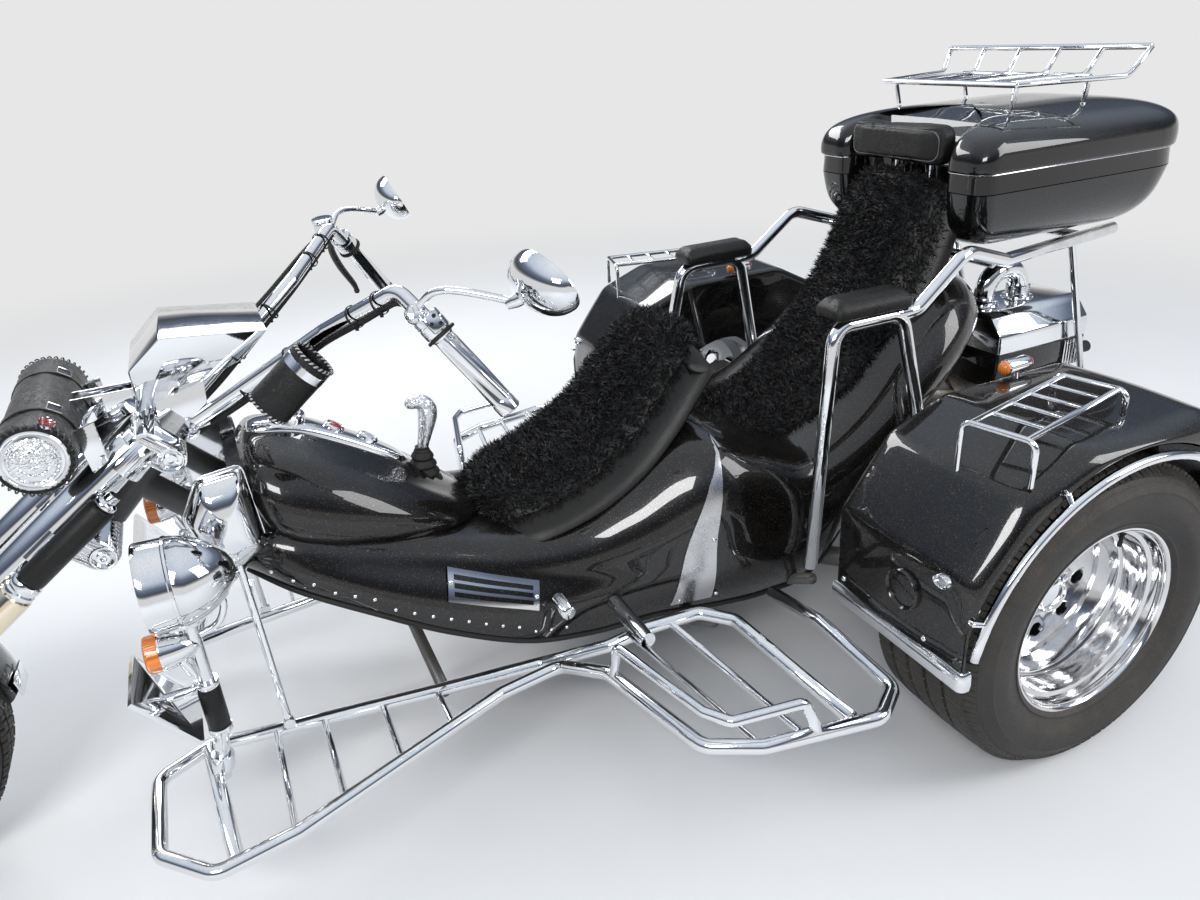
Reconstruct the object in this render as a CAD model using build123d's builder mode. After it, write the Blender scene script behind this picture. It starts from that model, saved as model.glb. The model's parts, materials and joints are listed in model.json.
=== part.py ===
from build123d import *
import math
import os

# Motorized trike with a long raked fork, two seats in line and a top case.
# Millimetres. +X points ahead, +Y to the rider's left, +Z up, and the ground is Z = 0.
# Places along X are written as distances ahead of the rear axle.
os.makedirs("parts", exist_ok=True)

# Driving dimensions of the chassis
rear_axle_x = -885
wheelbase = 2300
steering_angle = 44

# Rear wheels
rear_tyre_radius = 338
rear_tyre_width = 295
rear_rim_radius = 206
rear_rim_width = 255
rear_wheel_y = 722.5
rear_dish_depth = 135
stub_axle_radius = 24.95

# Front wheel
front_tyre_radius = 320
front_tyre_width = 130
front_rim_radius = 212
front_rim_width = 96
front_axle_radius = 9.95

# Clearances between moving and fixed metal
running_fit = 0.05

# Fork
leg_y = 105
leg_top_x = 1600
leg_top_z = 828
leg_cover_radius = 30
stem_radius = 15
head_x = 1556
head_z = 806
clamp_spacing = 218

# Bars and tubes
rail_radius = 20
board_tube_radius = 14
rung_radius = 7
armrest_tube_radius = 16
handlebar_radius = 14
rack_wire_radius = 6

# Shells
fender_wall = 5
case_wall = 4
front_fender_wall = 4


def spot(x, y, z):
    """Give the point that lies x ahead of the rear axle."""
    return (rear_axle_x + x, y, z)


def bar(points, radius, bend=0):
    """Add a round bar along straight runs, with arcs of the given radius at its corners."""
    with BuildLine() as route:
        if bend and len(points) > 2:
            FilletPolyline(*points, radius=bend)
        else:
            Polyline(*points)
    with BuildSketch(Plane(origin=route.line @ 0, z_dir=route.line % 0)) as section:
        Circle(radius)
    sweep(sections=section.sketch, path=route.line)


def flip(points):
    """Give the same points on the other side of the vehicle."""
    return [(x, -y, z) for x, y, z in points]


def bulge(start, end, share):
    """Give the middle of an arc from start to end that swells to the right of its chord."""
    run = end[0] - start[0]
    rise = end[1] - start[1]
    return ((start[0] + end[0]) / 2 + rise * share, (start[1] + end[1]) / 2 - run * share)


def hull_section(x, low_w, low_z, mid_w, mid_z, top_w, top_z, crown):
    """Draw one rounded cross-section of a body shell, with arcs for its sides and its top."""
    low = (low_w, low_z)
    mid = (mid_w, mid_z)
    top = (top_w, top_z)
    side = bulge(low, mid, 0.12)
    shoulder = bulge(mid, top, 0.16)
    across = Plane(origin=spot(x, 0, 0), x_dir=(0, 1, 0), z_dir=(1, 0, 0))
    with BuildSketch(across) as section:
        with BuildLine():
            Line((-low_w, low_z), low)
            ThreePointArc(low, side, mid)
            ThreePointArc(mid, shoulder, top)
            ThreePointArc(top, (0, top_z + crown), (-top_w, top_z))
            ThreePointArc((-top_w, top_z), (-shoulder[0], shoulder[1]), (-mid_w, mid_z))
            ThreePointArc((-mid_w, mid_z), (-side[0], side[1]), (-low_w, low_z))
        make_face()
    return section.sketch


def wheel_plane(x, y, z):
    """Give a plane through a wheel's axle, with its first axis along the axle."""
    return Plane(origin=spot(x, y, z), x_dir=(0, 1, 0), z_dir=(1, 0, 0))


def side_plane(y):
    """Give an upright plane along the vehicle, with its second axis up, facing left."""
    return Plane(origin=(rear_axle_x, y, 0), x_dir=(1, 0, 0), z_dir=(0, -1, 0))


# Directions of the steering axis and of the fork legs
lean = math.radians(steering_angle)
stem_down = (math.cos(lean), 0, -math.sin(lean))
ahead_of_stem = (math.sin(lean), 0, math.cos(lean))
leg_run = wheelbase - leg_top_x
leg_drop = leg_top_z - front_tyre_radius
leg_length = math.hypot(leg_run, leg_drop)
leg_down = (leg_run / leg_length, 0, -leg_drop / leg_length)


def on_stem(distance, ahead=0, y=0):
    """Give a point at a distance down the steering axis from its upper clamp."""
    x = head_x + distance * stem_down[0] + ahead * ahead_of_stem[0]
    z = head_z + distance * stem_down[2] + ahead * ahead_of_stem[2]
    return spot(x, y, z)


def on_leg(distance, y, drop=0):
    """Give a point at a distance down a fork leg, and a drop square below the leg."""
    x = leg_top_x + distance * leg_down[0] + drop * leg_down[2]
    z = leg_top_z + distance * leg_down[2] - drop * leg_down[0]
    return spot(x, y, z)


# Frame: steering neck, backbone, floor rails, rear rails and their cross tubes
neck_radius = 30
cross_tube_radius = 13
neck_length = clamp_spacing - 56
rail_z = 228
tail_rail_z = 490
neck_joint = (head_x + 108 * stem_down[0], 0, head_z + 108 * stem_down[2])
backbone = [
    spot(*neck_joint), spot(1480, 0, 570), spot(1260, 0, 430), spot(1100, 0, rail_z + 60),
    spot(900, 0, rail_z),
]
floor_rail = [
    spot(1110, 0, rail_z + 40), spot(1010, 110, rail_z), spot(-60, 110, rail_z),
    spot(-130, 200, rail_z + 40), spot(-150, 200, tail_rail_z), spot(-712, 200, tail_rail_z),
]
board_tubes = [
    # x ahead, half length, height of its ends
    (610, 420, 292),
    (335, 392, 292),
]
board_tube_dip = rail_z - 6

with BuildPart() as frame:
    with BuildSketch(Plane(origin=on_stem(28), z_dir=stem_down)):
        Circle(neck_radius)
    extrude(amount=neck_length)
    bar(backbone, 26, 60)
    bar(floor_rail, rail_radius, 55)
    bar(flip(floor_rail), rail_radius, 55)
    bar([spot(1170, -268, 220), spot(1170, 268, 220)], cross_tube_radius)
    bar([spot(1080, 0, rail_z + 60), spot(1120, 0, 214)], cross_tube_radius)
    bar([spot(1120, 0, 220), spot(1170, 0, 220)], cross_tube_radius)
    for x, reach, end_z in board_tubes:
        dip = reach - 120
        half_route = [spot(x, reach, end_z), spot(x, dip, board_tube_dip)]
        bar(half_route + flip(half_route)[::-1], cross_tube_radius, 40)
    bar([spot(-40, 110, rail_z), spot(-40, -110, rail_z)], rail_radius)
    bar([spot(-712, -214, tail_rail_z), spot(-712, 214, tail_rail_z)], cross_tube_radius - 1)
    for side in (1, -1):
        bar([spot(-300, side * 200, tail_rail_z), spot(-300, side * 511, tail_rail_z)], cross_tube_radius - 1)
    with BuildSketch(Plane(origin=on_stem(0), z_dir=stem_down)):
        Circle(stem_radius + running_fit)
    extrude(amount=clamp_spacing, mode=Mode.SUBTRACT)
frame.part.label = "frame"
export_step(frame.part, "parts/frame.step")

# Engine: flat four behind the axle, with gearbox ahead of it, finned cylinders and fan housing
fin_count = 7
intake_box_front_x = -400
intake_box_length = 310
intake_box_y = 60
intake_box_z = 590
intake_box_width = 240
intake_box_height = 150

with BuildPart() as engine:
    with BuildSketch(side_plane(150)):
        with BuildLine():
            Polyline((-560, 250), (-170, 230), (-170, 470), (-560, 470), close=True)
        make_face()
    extrude(amount=300)
    with BuildSketch(Plane(origin=spot(-170, 0, 345), z_dir=(1, 0, 0))) as bell:
        Circle(110)
    with BuildSketch(Plane(origin=spot(60, 0, 325), z_dir=(1, 0, 0))) as nose:
        Circle(60)
    loft(sections=[bell.sketch, nose.sketch])
    with Locations(spot(-365, 0, 395)):
        Box(270, 500, 96)
    for fin in range(fin_count):
        reach = 172 + fin * 12
        with Locations(spot(-365, reach, 395), spot(-365, -reach, 395)):
            Box(310, 5, 128)
    with Locations(spot(-365, 262, 395), spot(-365, -262, 395)):
        Box(300, 30, 116)
    with BuildSketch(Plane(origin=spot(-560, 0, 470), z_dir=(1, 0, 0))):
        Circle(150)
    extrude(amount=110)
    with BuildSketch(Plane(origin=spot(intake_box_front_x, intake_box_y, intake_box_z), z_dir=(-1, 0, 0))):
        RectangleRounded(intake_box_width, intake_box_height, 60)
    extrude(amount=intake_box_length)
    add(frame.part, mode=Mode.SUBTRACT)
engine.part.label = "engine"
export_step(engine.part, "parts/engine.step")

# Rear suspension arms, brake plates, drive shafts and stub axles
hub_face_y = 560
brake_plate_depth = 14
stub_end_y = rear_wheel_y + rear_rim_width / 2 - rear_dish_depth + 5

with BuildPart() as axle_arms:
    for side in (1, -1):
        bar([spot(300, side * 120, rail_z), spot(120, side * 330, 235), spot(0, side * 505, 338)], 24, 120)
        bar([spot(0, side * 82, 345), spot(0, side * 520, rear_tyre_radius)], 15)
        with BuildSketch(Plane(origin=spot(0, side * 490, rear_tyre_radius), z_dir=(0, side, 0))):
            Circle(62)
        extrude(amount=hub_face_y - 490)
        plate_y = side * (hub_face_y - brake_plate_depth)
        with BuildSketch(Plane(origin=spot(0, plate_y, rear_tyre_radius), z_dir=(0, side, 0))):
            Circle(125)
        extrude(amount=brake_plate_depth)
        with BuildSketch(Plane(origin=spot(0, side * hub_face_y, rear_tyre_radius), z_dir=(0, side, 0))):
            Circle(stub_axle_radius)
        extrude(amount=stub_end_y - hub_face_y)
    add(frame.part, mode=Mode.SUBTRACT)
    add(engine.part, mode=Mode.SUBTRACT)
axle_arms.part.label = "axle_arms"
export_step(axle_arms.part, "parts/axle_arms.step")

# Exhaust: a silencer on each side under the engine, with its header pipes, and the bright intake hoop above
silencer_radius = 48
silencer_y = 320
silencer_z = 245
hoop_radius = 27
hoop_route = [spot(-452, 60, 600), spot(-452, 60, 800), spot(-575, 60, 800), spot(-575, 60, 600)]

with BuildPart() as exhaust:
    for side in (1, -1):
        header = [
            spot(-300, side * 240, 340), spot(-300, side * 240, 275), spot(-340, side * 300, silencer_z),
            spot(-420, side * silencer_y, silencer_z),
        ]
        bar(header, 19, 26)
        with BuildSketch(Plane(origin=spot(-400, side * silencer_y, silencer_z), z_dir=(-1, 0, 0))):
            Circle(silencer_radius)
        extrude(amount=330)
        bar([spot(-720, side * silencer_y, silencer_z), spot(-790, side * silencer_y, silencer_z)], 24)
    bar(hoop_route, hoop_radius, 58)
    add(engine.part, mode=Mode.SUBTRACT)
exhaust.part.label = "exhaust"
export_step(exhaust.part, "parts/exhaust.step")

# Main body: one long shell that rises into the rider's backrest and the tail
body_table = [
    # x ahead, low half width, low z, middle half width, middle z, top half width, top z, crown
    (1480, 120, 545, 150, 580, 110, 618, 4),
    (1390, 200, 503, 200, 570, 140, 626, 6),
    (1280, 244, 446, 220, 538, 152, 590, 8),
    (1140, 272, 366, 230, 488, 164, 545, 8),
    (980, 282, 290, 244, 425, 180, 496, 8),
    (830, 288, 262, 268, 395, 190, 500, 10),
    (690, 298, 262, 308, 400, 205, 566, 12),
    (540, 314, 248, 340, 430, 252, 640, 12),
    (400, 314, 236, 342, 440, 262, 590, 12),
    (260, 298, 246, 334, 455, 236, 540, 12),
    (100, 268, 400, 320, 525, 200, 612, 14),
    (-40, 226, 505, 300, 620, 172, 745, 18),
    (-180, 165, 575, 272, 708, 130, 850, 20),
    (-290, 95, 655, 205, 745, 92, 838, 16),
    (-345, 45, 700, 105, 758, 48, 805, 8),
]

with BuildPart() as body_shell:
    loft(sections=[hull_section(*row) for row in body_table], ruled=True)
    add(frame.part, mode=Mode.SUBTRACT)
    add(engine.part, mode=Mode.SUBTRACT)
    add(axle_arms.part, mode=Mode.SUBTRACT)
body_shell.part.label = "body_shell"
export_step(body_shell.part, "parts/body_shell.step")

# Tank: a sloping teardrop on the front of the body
tank_table = [
    # x ahead, low half width, low z, middle half width, middle z, top half width, top z, crown
    (1445, 90, 650, 140, 705, 60, 752, 8),
    (1410, 160, 612, 186, 698, 95, 772, 14),
    (1330, 190, 585, 206, 665, 106, 752, 22),
    (1230, 188, 560, 198, 625, 100, 696, 22),
    (1140, 172, 540, 178, 582, 90, 634, 20),
    (1060, 138, 524, 140, 546, 70, 572, 12),
    (1010, 88, 512, 90, 524, 45, 536, 6),
]

with BuildPart() as tank:
    loft(sections=[hull_section(*row) for row in tank_table], ruled=True)
    add(body_shell.part, mode=Mode.SUBTRACT)
    add(frame.part, mode=Mode.SUBTRACT)
tank.part.label = "tank"
export_step(tank.part, "parts/tank.step")

# Dash strip along the top of the tank, with the filler cap and two round lamps
dash_slope = math.radians(28)
dash_along = (math.cos(dash_slope), 0, math.sin(dash_slope))
dash_up = (-math.sin(dash_slope), 0, math.cos(dash_slope))
dash_caps = [
    # x ahead, z of its foot, radius, height
    (1345, 762, 36, 30),
    (1262, 712, 22, 26),
    (1200, 679, 22, 26),
]

with BuildPart() as dash_strip:
    with BuildSketch(Plane(origin=spot(1275, 0, 712), x_dir=dash_along, z_dir=dash_up)):
        SlotOverall(320, 84)
    extrude(amount=22)
    for x, z, radius, height in dash_caps:
        with BuildSketch(Plane(origin=spot(x, 0, z), z_dir=dash_up)):
            Circle(radius)
        extrude(amount=height)
    add(tank.part, mode=Mode.SUBTRACT)
dash_strip.part.label = "dash_strip"
export_step(dash_strip.part, "parts/dash_strip.step")

# Rider's seat: fleece over the low saddle and up the front of the hump
with BuildPart() as rider_seat:
    with BuildSketch(side_plane(190)):
        with BuildLine():
            Polyline(
                (1040, 500), (1000, 545), (860, 590), (720, 660), (580, 800), (520, 845),
                (455, 840), (430, 780), (455, 640), (560, 560), (800, 490), close=True,
            )
        make_face()
    extrude(amount=380)
    add(body_shell.part, mode=Mode.SUBTRACT)
    add(tank.part, mode=Mode.SUBTRACT)
rider_seat.part.label = "rider_seat"
export_step(rider_seat.part, "parts/rider_seat.step")

# Passenger's seat: fleece from the foot of the hump up the long backrest
with BuildPart() as passenger_seat:
    with BuildSketch(side_plane(165)):
        with BuildLine():
            Polyline(
                (425, 600), (330, 585), (230, 590), (90, 680), (-40, 800), (-120, 930), (-158, 1095),
                (-205, 1095), (-205, 850), (-120, 700), (30, 560), (250, 480), (425, 540), close=True,
            )
        make_face()
    extrude(amount=330)
    add(body_shell.part, mode=Mode.SUBTRACT)
    add(rider_seat.part, mode=Mode.SUBTRACT)
passenger_seat.part.label = "passenger_seat"
export_step(passenger_seat.part, "parts/passenger_seat.step")

# Backrest pad on its own bracket in front of the top case
pad_front_x = -154
pad_thickness = 59.7
pad_half_width = 165

with BuildPart() as backrest_pad:
    with BuildSketch(Plane(origin=spot(pad_front_x, 0, 1155), x_dir=(0, -1, 0), z_dir=(-1, 0, 0))):
        RectangleRounded(pad_half_width * 2, 100, 40)
    extrude(amount=pad_thickness)
backrest_pad.part.label = "backrest_pad"
export_step(backrest_pad.part, "parts/backrest_pad.step")

# Chrome fins on the body sides behind the rider, and slotted vents ahead of them, as plates that hug the body
fin_outline = [(505, 655), (548, 470), (562, 288), (662, 288), (604, 470)]
vent_outline = [(1136, 434), (1120, 492), (934, 410), (950, 354)]
trim_thickness = 6
trim_outer_y = 400


def grown(row, amount):
    """Give a body section's row with its widths grown by an amount."""
    x, low_w, low_z, mid_w, mid_z, top_w, top_z, crown = row
    return (x, low_w + amount, low_z, mid_w + amount, mid_z, top_w + amount, top_z, crown)


with BuildPart() as trim_skin:
    loft(sections=[hull_section(*grown(row, trim_thickness)) for row in body_table], ruled=True)

with BuildPart() as side_trims:
    for side in (1, -1):
        for outline in (fin_outline, vent_outline):
            with BuildSketch(side_plane(side * 100)) as trim_face:
                with BuildLine():
                    Polyline(*outline, close=True)
                make_face()
            extrude(trim_face.sketch, amount=-side * (trim_outer_y - 100))
    add(trim_skin.part, mode=Mode.INTERSECT)
    add(body_shell.part, mode=Mode.SUBTRACT)
    add(frame.part, mode=Mode.SUBTRACT)
    add(rider_seat.part, mode=Mode.SUBTRACT)
side_trims.part.label = "side_trims"
export_step(side_trims.part, "parts/side_trims.step")

# Rear fenders: hollow boxes with rounded tops, broad front faces and open round arches
fender_inner_y = 511
fender_outer_y = 872
fender_top_z = 742
fender_foot_z = 334
arch_radius = 386
fender_outline = [
    (372, fender_foot_z), (372, 520), (260, 690), (130, fender_top_z), (-200, fender_top_z),
    (-360, 660), (-452, 500), (-470, 360), (-440, fender_foot_z),
]


def fender_face(y, inset):
    """Draw the fender's side outline on an upright plane, smaller by an inset."""
    with BuildSketch(side_plane(y)) as face:
        with BuildLine():
            Polyline(*fender_outline, close=True)
        make_face()
        fillet(face.vertices().filter_by_position(Axis.Y, 480, 800), 60)
        if inset:
            offset(amount=-inset)
    return face.sketch


fender_width = fender_outer_y - fender_inner_y

with BuildPart() as fender_blocks:
    for side in (1, -1):
        extrude(fender_face(side * fender_inner_y, 0), amount=-side * fender_width)

with BuildPart() as rear_fenders:
    add(fender_blocks.part)
    for side in (1, -1):
        middle_y = side * (fender_inner_y + fender_outer_y) / 2
        room = fender_face(side * (fender_inner_y + fender_wall), fender_wall)
        extrude(room, amount=-side * (fender_width - 2 * fender_wall), mode=Mode.SUBTRACT)
        with BuildSketch(side_plane(side * (fender_outer_y + 1))) as arch:
            with Locations((0, rear_tyre_radius)):
                Circle(arch_radius)
        extrude(arch.sketch, amount=side * 40, mode=Mode.SUBTRACT)
        with Locations(spot(-30, side * (fender_inner_y + 3), 270)):
            Box(620, 12, 330, mode=Mode.SUBTRACT)
        with Locations(spot(-49, middle_y, fender_foot_z)):
            Box(842 - 2 * fender_wall, fender_width - 2 * fender_wall, 40, mode=Mode.SUBTRACT)
rear_fenders.part.label = "rear_fenders"
export_step(rear_fenders.part, "parts/rear_fenders.step")

# Round bars inside the fender arches on short pins, and wire racks on the fender tops
arch_bar_radius = 9
arch_bar_y = fender_outer_y + arch_bar_radius + 0.3
arch_bar_reach = arch_radius - 20
arch_bar_start = 11
arch_bar_sweep = 158
arch_pin_radius = 5
arch_pin_reach = arch_radius + 13
arch_pin_angles = (22, 62, 118, 158)
fender_rack_z = fender_top_z + 40
fender_rack_middle = (97, 739)
fender_rack_length = 315
fender_rack_width = 136
fender_rack_turn = math.radians(13)
fender_rack_rungs = 4


def on_fender_rack(along, across, side, z):
    """Give a point of a fender rack, measured from its middle along and across it."""
    x = fender_rack_middle[0] + along * math.cos(fender_rack_turn) - across * math.sin(fender_rack_turn)
    y = fender_rack_middle[1] + along * math.sin(fender_rack_turn) + across * math.cos(fender_rack_turn)
    return spot(x, side * y, z)


with BuildPart() as fender_bars:
    for side in (1, -1):
        with BuildLine(side_plane(side * arch_bar_y)) as hoop:
            CenterArc((0, rear_tyre_radius), arch_bar_reach, arch_bar_start, arch_bar_sweep)
        with BuildSketch(Plane(origin=hoop.line @ 0, z_dir=hoop.line % 0)) as hoop_section:
            Circle(arch_bar_radius)
        sweep(sections=hoop_section.sketch, path=hoop.line)
        pin_y = side * (fender_outer_y + arch_pin_radius + 0.3)
        for angle in arch_pin_angles:
            ahead = math.cos(math.radians(angle))
            up = math.sin(math.radians(angle))
            pin_ends = [
                spot(reach * ahead, pin_y, rear_tyre_radius + reach * up) for reach in (arch_bar_reach, arch_pin_reach)
            ]
            bar(pin_ends, arch_pin_radius)
fender_bars.part.label = "fender_bars"
export_step(fender_bars.part, "parts/fender_bars.step")

with BuildPart() as fender_racks:
    for side in (1, -1):
        front = fender_rack_length / 2
        reach = fender_rack_width / 2
        for end, foot_z in ((front, fender_top_z - 70), (-front, fender_top_z - 8)):
            route = [
                on_fender_rack(end, -reach, side, foot_z), on_fender_rack(end, -reach, side, fender_rack_z),
                on_fender_rack(end, reach, side, fender_rack_z), on_fender_rack(end, reach, side, foot_z),
            ]
            bar(route, rack_wire_radius, 18)
        inner = reach - 16
        for across in (-inner, inner):
            ends = [on_fender_rack(along, across, side, fender_rack_z) for along in (front, -front)]
            bar(ends, rack_wire_radius)
        for rung in range(1, fender_rack_rungs + 1):
            along = front - rung * fender_rack_length / (fender_rack_rungs + 1)
            ends = [on_fender_rack(along, across, side, fender_rack_z) for across in (-inner, inner)]
            bar(ends, rack_wire_radius - 1.5)
    add(fender_blocks.part, mode=Mode.SUBTRACT)
fender_racks.part.label = "fender_racks"
export_step(fender_racks.part, "parts/fender_racks.step")

# Lamps on the fenders: a round cover in front, a small oval marker outside it and a tail lamp behind
fender_front_x = fender_outline[0][0]
fender_cover_y = 716
fender_cover_z = 469
fender_cover_radius = 40
marker_y = 820
marker_z = 500
tail_lamp_x = -466
tail_lamp_radius = 48

with BuildPart() as fender_lamps:
    for side in (1, -1):
        with BuildSketch(Plane(origin=spot(fender_front_x, side * fender_cover_y, fender_cover_z), z_dir=(1, 0, 0))):
            Circle(fender_cover_radius)
        extrude(amount=14)
        marker_plane = Plane(origin=spot(fender_front_x, side * marker_y, marker_z), x_dir=(0, 0, 1), z_dir=(1, 0, 0))
        with BuildSketch(marker_plane):
            Ellipse(20, 12)
        extrude(amount=8)
        with BuildSketch(Plane(origin=spot(tail_lamp_x, side * 690, 440), z_dir=(-1, 0, 0))):
            Circle(tail_lamp_radius)
        extrude(amount=24)
    add(rear_fenders.part, mode=Mode.SUBTRACT)
fender_lamps.part.label = "fender_lamps"
export_step(fender_lamps.part, "parts/fender_lamps.step")

# Armrests: inverted U of tube on each side, with a rear tube that runs on under the top case
pad_top_z = 908
arm_tube_z = 850
case_floor_z = 922
case_rail_z = case_floor_z - armrest_tube_radius - 0.3

with BuildPart() as armrest_tubes:
    for side in (1, -1):
        grab_rail = [
            spot(335, side * 384, 318), spot(250, side * 325, arm_tube_z), spot(70, side * 325, arm_tube_z),
            spot(-12, side * 350, 470),
        ]
        case_rail = [
            spot(90, side * 325, arm_tube_z), spot(30, side * 325, arm_tube_z), spot(-105, side * 318, 955),
            spot(-260, side * 285, case_rail_z), spot(-700, side * 215, case_rail_z),
        ]
        bar(grab_rail, armrest_tube_radius, 45)
        bar(case_rail, armrest_tube_radius, 50)
        bar([spot(-12, side * 300, 478), spot(-12, side * 511, 478)], 13)
    bar([spot(-574, -226, case_rail_z), spot(-574, 226, case_rail_z)], 12)
    bar([spot(-222, -288, case_rail_z), spot(-222, 288, case_rail_z)], 12)
    for y in (-60, 60):
        bar([spot(-222, y, case_rail_z), spot(-222, y, 1150)], 8)
    add(body_shell.part, mode=Mode.SUBTRACT)
armrest_tubes.part.label = "armrest_tubes"
export_step(armrest_tubes.part, "parts/armrest_tubes.step")

with BuildPart() as armrest_pads:
    for side in (1, -1):
        with Locations(spot(160, side * 309, (pad_top_z + arm_tube_z + armrest_tube_radius) / 2 + 0.2)):
            Box(210, 92, pad_top_z - arm_tube_z - armrest_tube_radius - 0.4)
    fillet(armrest_pads.edges().filter_by(Axis.Z), 22)
armrest_pads.part.label = "armrest_pads"
export_step(armrest_pads.part, "parts/armrest_pads.step")

# Upright struts between the rear frame and the top case rails
with BuildPart() as case_struts:
    for side in (1, -1):
        bar([spot(-704, side * 200, tail_rail_z), spot(-574, side * 200, case_rail_z)], 9)
    add(armrest_tubes.part, mode=Mode.SUBTRACT)
    add(frame.part, mode=Mode.SUBTRACT)
case_struts.part.label = "case_struts"
export_step(case_struts.part, "parts/case_struts.step")

# Footboards: one outer tube with a front loop, a rider's grill and a passenger's grill
rider_board_z = 220
passenger_board_z = 318
board_outer = [
    (1627, 193, rider_board_z), (1725, 245, rider_board_z), (1725, 440, rider_board_z),
    (1640, 525, rider_board_z), (1500, 500, rider_board_z), (1070, 340, rider_board_z + 8), (935, 335, 242), (886, 480, 306),
    (831, 750, passenger_board_z), (740, 800, passenger_board_z), (520, 840, passenger_board_z),
    (450, 790, passenger_board_z), (440, 560, passenger_board_z), (450, 400, 300),
]
board_inner = [
    (1640, 192, rider_board_z), (1190, 255, rider_board_z), (960, 290, rider_board_z + 8),
    (840, 385, 292), (760, 403, passenger_board_z), (640, 410, passenger_board_z), (588, 470, passenger_board_z),
    (567, 816, passenger_board_z),
]
raised_loop_z = passenger_board_z + 72
raised_loop_radius = 10
raised_loop = [
    (884, 500, passenger_board_z), (880, 516, raised_loop_z), (828, 746, raised_loop_z), (798, 790, raised_loop_z),
    (665, 810, raised_loop_z), (640, 820, passenger_board_z),
]
rider_rungs = [(1505, 214, 498), (1413, 226, 464), (1297, 242, 420), (1185, 258, 380)]
passenger_rungs = [
    # inner end and outer end, each as x ahead and y
    ((802, 400), (745, 794)),
    ((711, 408), (662, 812)),
]

with BuildPart() as footboards:
    for side in (1, -1):
        bar([spot(x, side * y, z) for x, y, z in board_outer], board_tube_radius, 36)
        bar([spot(x, side * y, z) for x, y, z in board_inner], board_tube_radius, 30)
        bar([spot(1632, side * 196, rider_board_z), spot(1605, side * 510, rider_board_z)], board_tube_radius)
        for x, near, far in rider_rungs:
            bar([spot(x, side * near, rider_board_z), spot(x, side * far, rider_board_z)], rung_radius)
        bar([spot(x, side * y, z) for x, y, z in raised_loop], raised_loop_radius, 16)
        for near, far in passenger_rungs:
            bar([spot(x, side * y, passenger_board_z) for x, y in (near, far)], rung_radius)
    add(frame.part, mode=Mode.SUBTRACT)
    add(armrest_tubes.part, mode=Mode.SUBTRACT)
footboards.part.label = "footboards"
export_step(footboards.part, "parts/footboards.step")

# Foot pegs that stand out of the body sides
peg_table = [
    # x ahead, inner end, outer end, z, radius
    (905, 240, 335, 365, 15),
    (785, 280, 455, 330, 17),
]

with BuildPart() as pegs:
    for x, near, far, z, radius in peg_table:
        for side in (1, -1):
            bar([spot(x, side * near, z), spot(x, side * far, z)], radius)
    add(body_shell.part, mode=Mode.SUBTRACT)
    add(footboards.part, mode=Mode.SUBTRACT)
pegs.part.label = "pegs"
export_step(pegs.part, "parts/pegs.step")

# Gear lever behind the tank, with its gaiter and hooked knob
with BuildPart() as gear_lever:
    with BuildSketch(Plane(origin=spot(1095, 0, 560), z_dir=(0, 0, 1))) as gaiter_foot:
        Circle(42)
    with BuildSketch(Plane(origin=spot(1090, 0, 640), z_dir=(0, 0, 1))) as gaiter_top:
        Circle(14)
    loft(sections=[gaiter_foot.sketch, gaiter_top.sketch])
    bar([spot(1090, 0, 630), spot(1075, -10, 740), spot(1050, -20, 775), spot(1085, -22, 795)], 11, 16)
    add(tank.part, mode=Mode.SUBTRACT)
    add(rider_seat.part, mode=Mode.SUBTRACT)
    add(body_shell.part, mode=Mode.SUBTRACT)
gear_lever.part.label = "gear_lever"
export_step(gear_lever.part, "parts/gear_lever.step")

# Bullet headlamps and indicators, with their posts on the front corners of the footboards
lamp_y = 300
post_x = 1590
post_radius = 14
lamp_table = [
    # x ahead, z, length, radius: the headlamp, then the indicator
    (1588, 668, 150, 62),
    (1668, 530, 90, 34),
]
stalk_radius = 9

with BuildPart() as side_lamps:
    for x, z, length, radius in lamp_table:
        for side in (1, -1):
            centre = spot(x, side * lamp_y, z)
            with BuildSketch(Plane(origin=centre, x_dir=(1, 0, 0), z_dir=(0, -1, 0))) as bullet:
                with BuildLine():
                    rear = -length / 2
                    Polyline((rear, stalk_radius), (rear, 0), (length / 2, 0), (length / 2, radius))
                    ThreePointArc((length / 2, radius), (-length * 0.1, radius * 0.8), (rear, stalk_radius))
                make_face()
            revolve(bullet.sketch, axis=Axis(centre, (1, 0, 0)))
side_lamps.part.label = "side_lamps"
export_step(side_lamps.part, "parts/side_lamps.step")

with BuildPart() as lamp_posts:
    for side in (1, -1):
        post_y = side * lamp_y
        post_foot = spot(post_x + 20, post_y, rider_board_z + 6)
        bar([post_foot, spot(post_x, post_y, 340), spot(post_x, post_y, 640)], post_radius, 60)
        bar([spot(post_x, post_y, 560), spot(1480, side * 140, 575), spot(1410, side * 90, 600)], 11, 30)
        bar([spot(post_x, post_y, 530), spot(1623, post_y, 530)], stalk_radius)
        with Locations(Location(spot(1660, post_y, 430), (0, 35, 0))):
            Box(8, 150, 150)
        bar([spot(1660, post_y, 432), spot(post_x, post_y, 432)], stalk_radius)
    add(side_lamps.part, mode=Mode.SUBTRACT)
    add(footboards.part, mode=Mode.SUBTRACT)
    add(body_shell.part, mode=Mode.SUBTRACT)
    add(tank.part, mode=Mode.SUBTRACT)
lamp_posts.part.label = "lamp_posts"
export_step(lamp_posts.part, "parts/lamp_posts.step")

# Domed covers on both sides of the tank's front, outside the clamps' swing
cover_inner_y = 142
cover_depth = 62
cover_outline = [(1548, 612), (1560, 690), (1522, 758), (1450, 766), (1440, 610), (1500, 575)]

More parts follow.
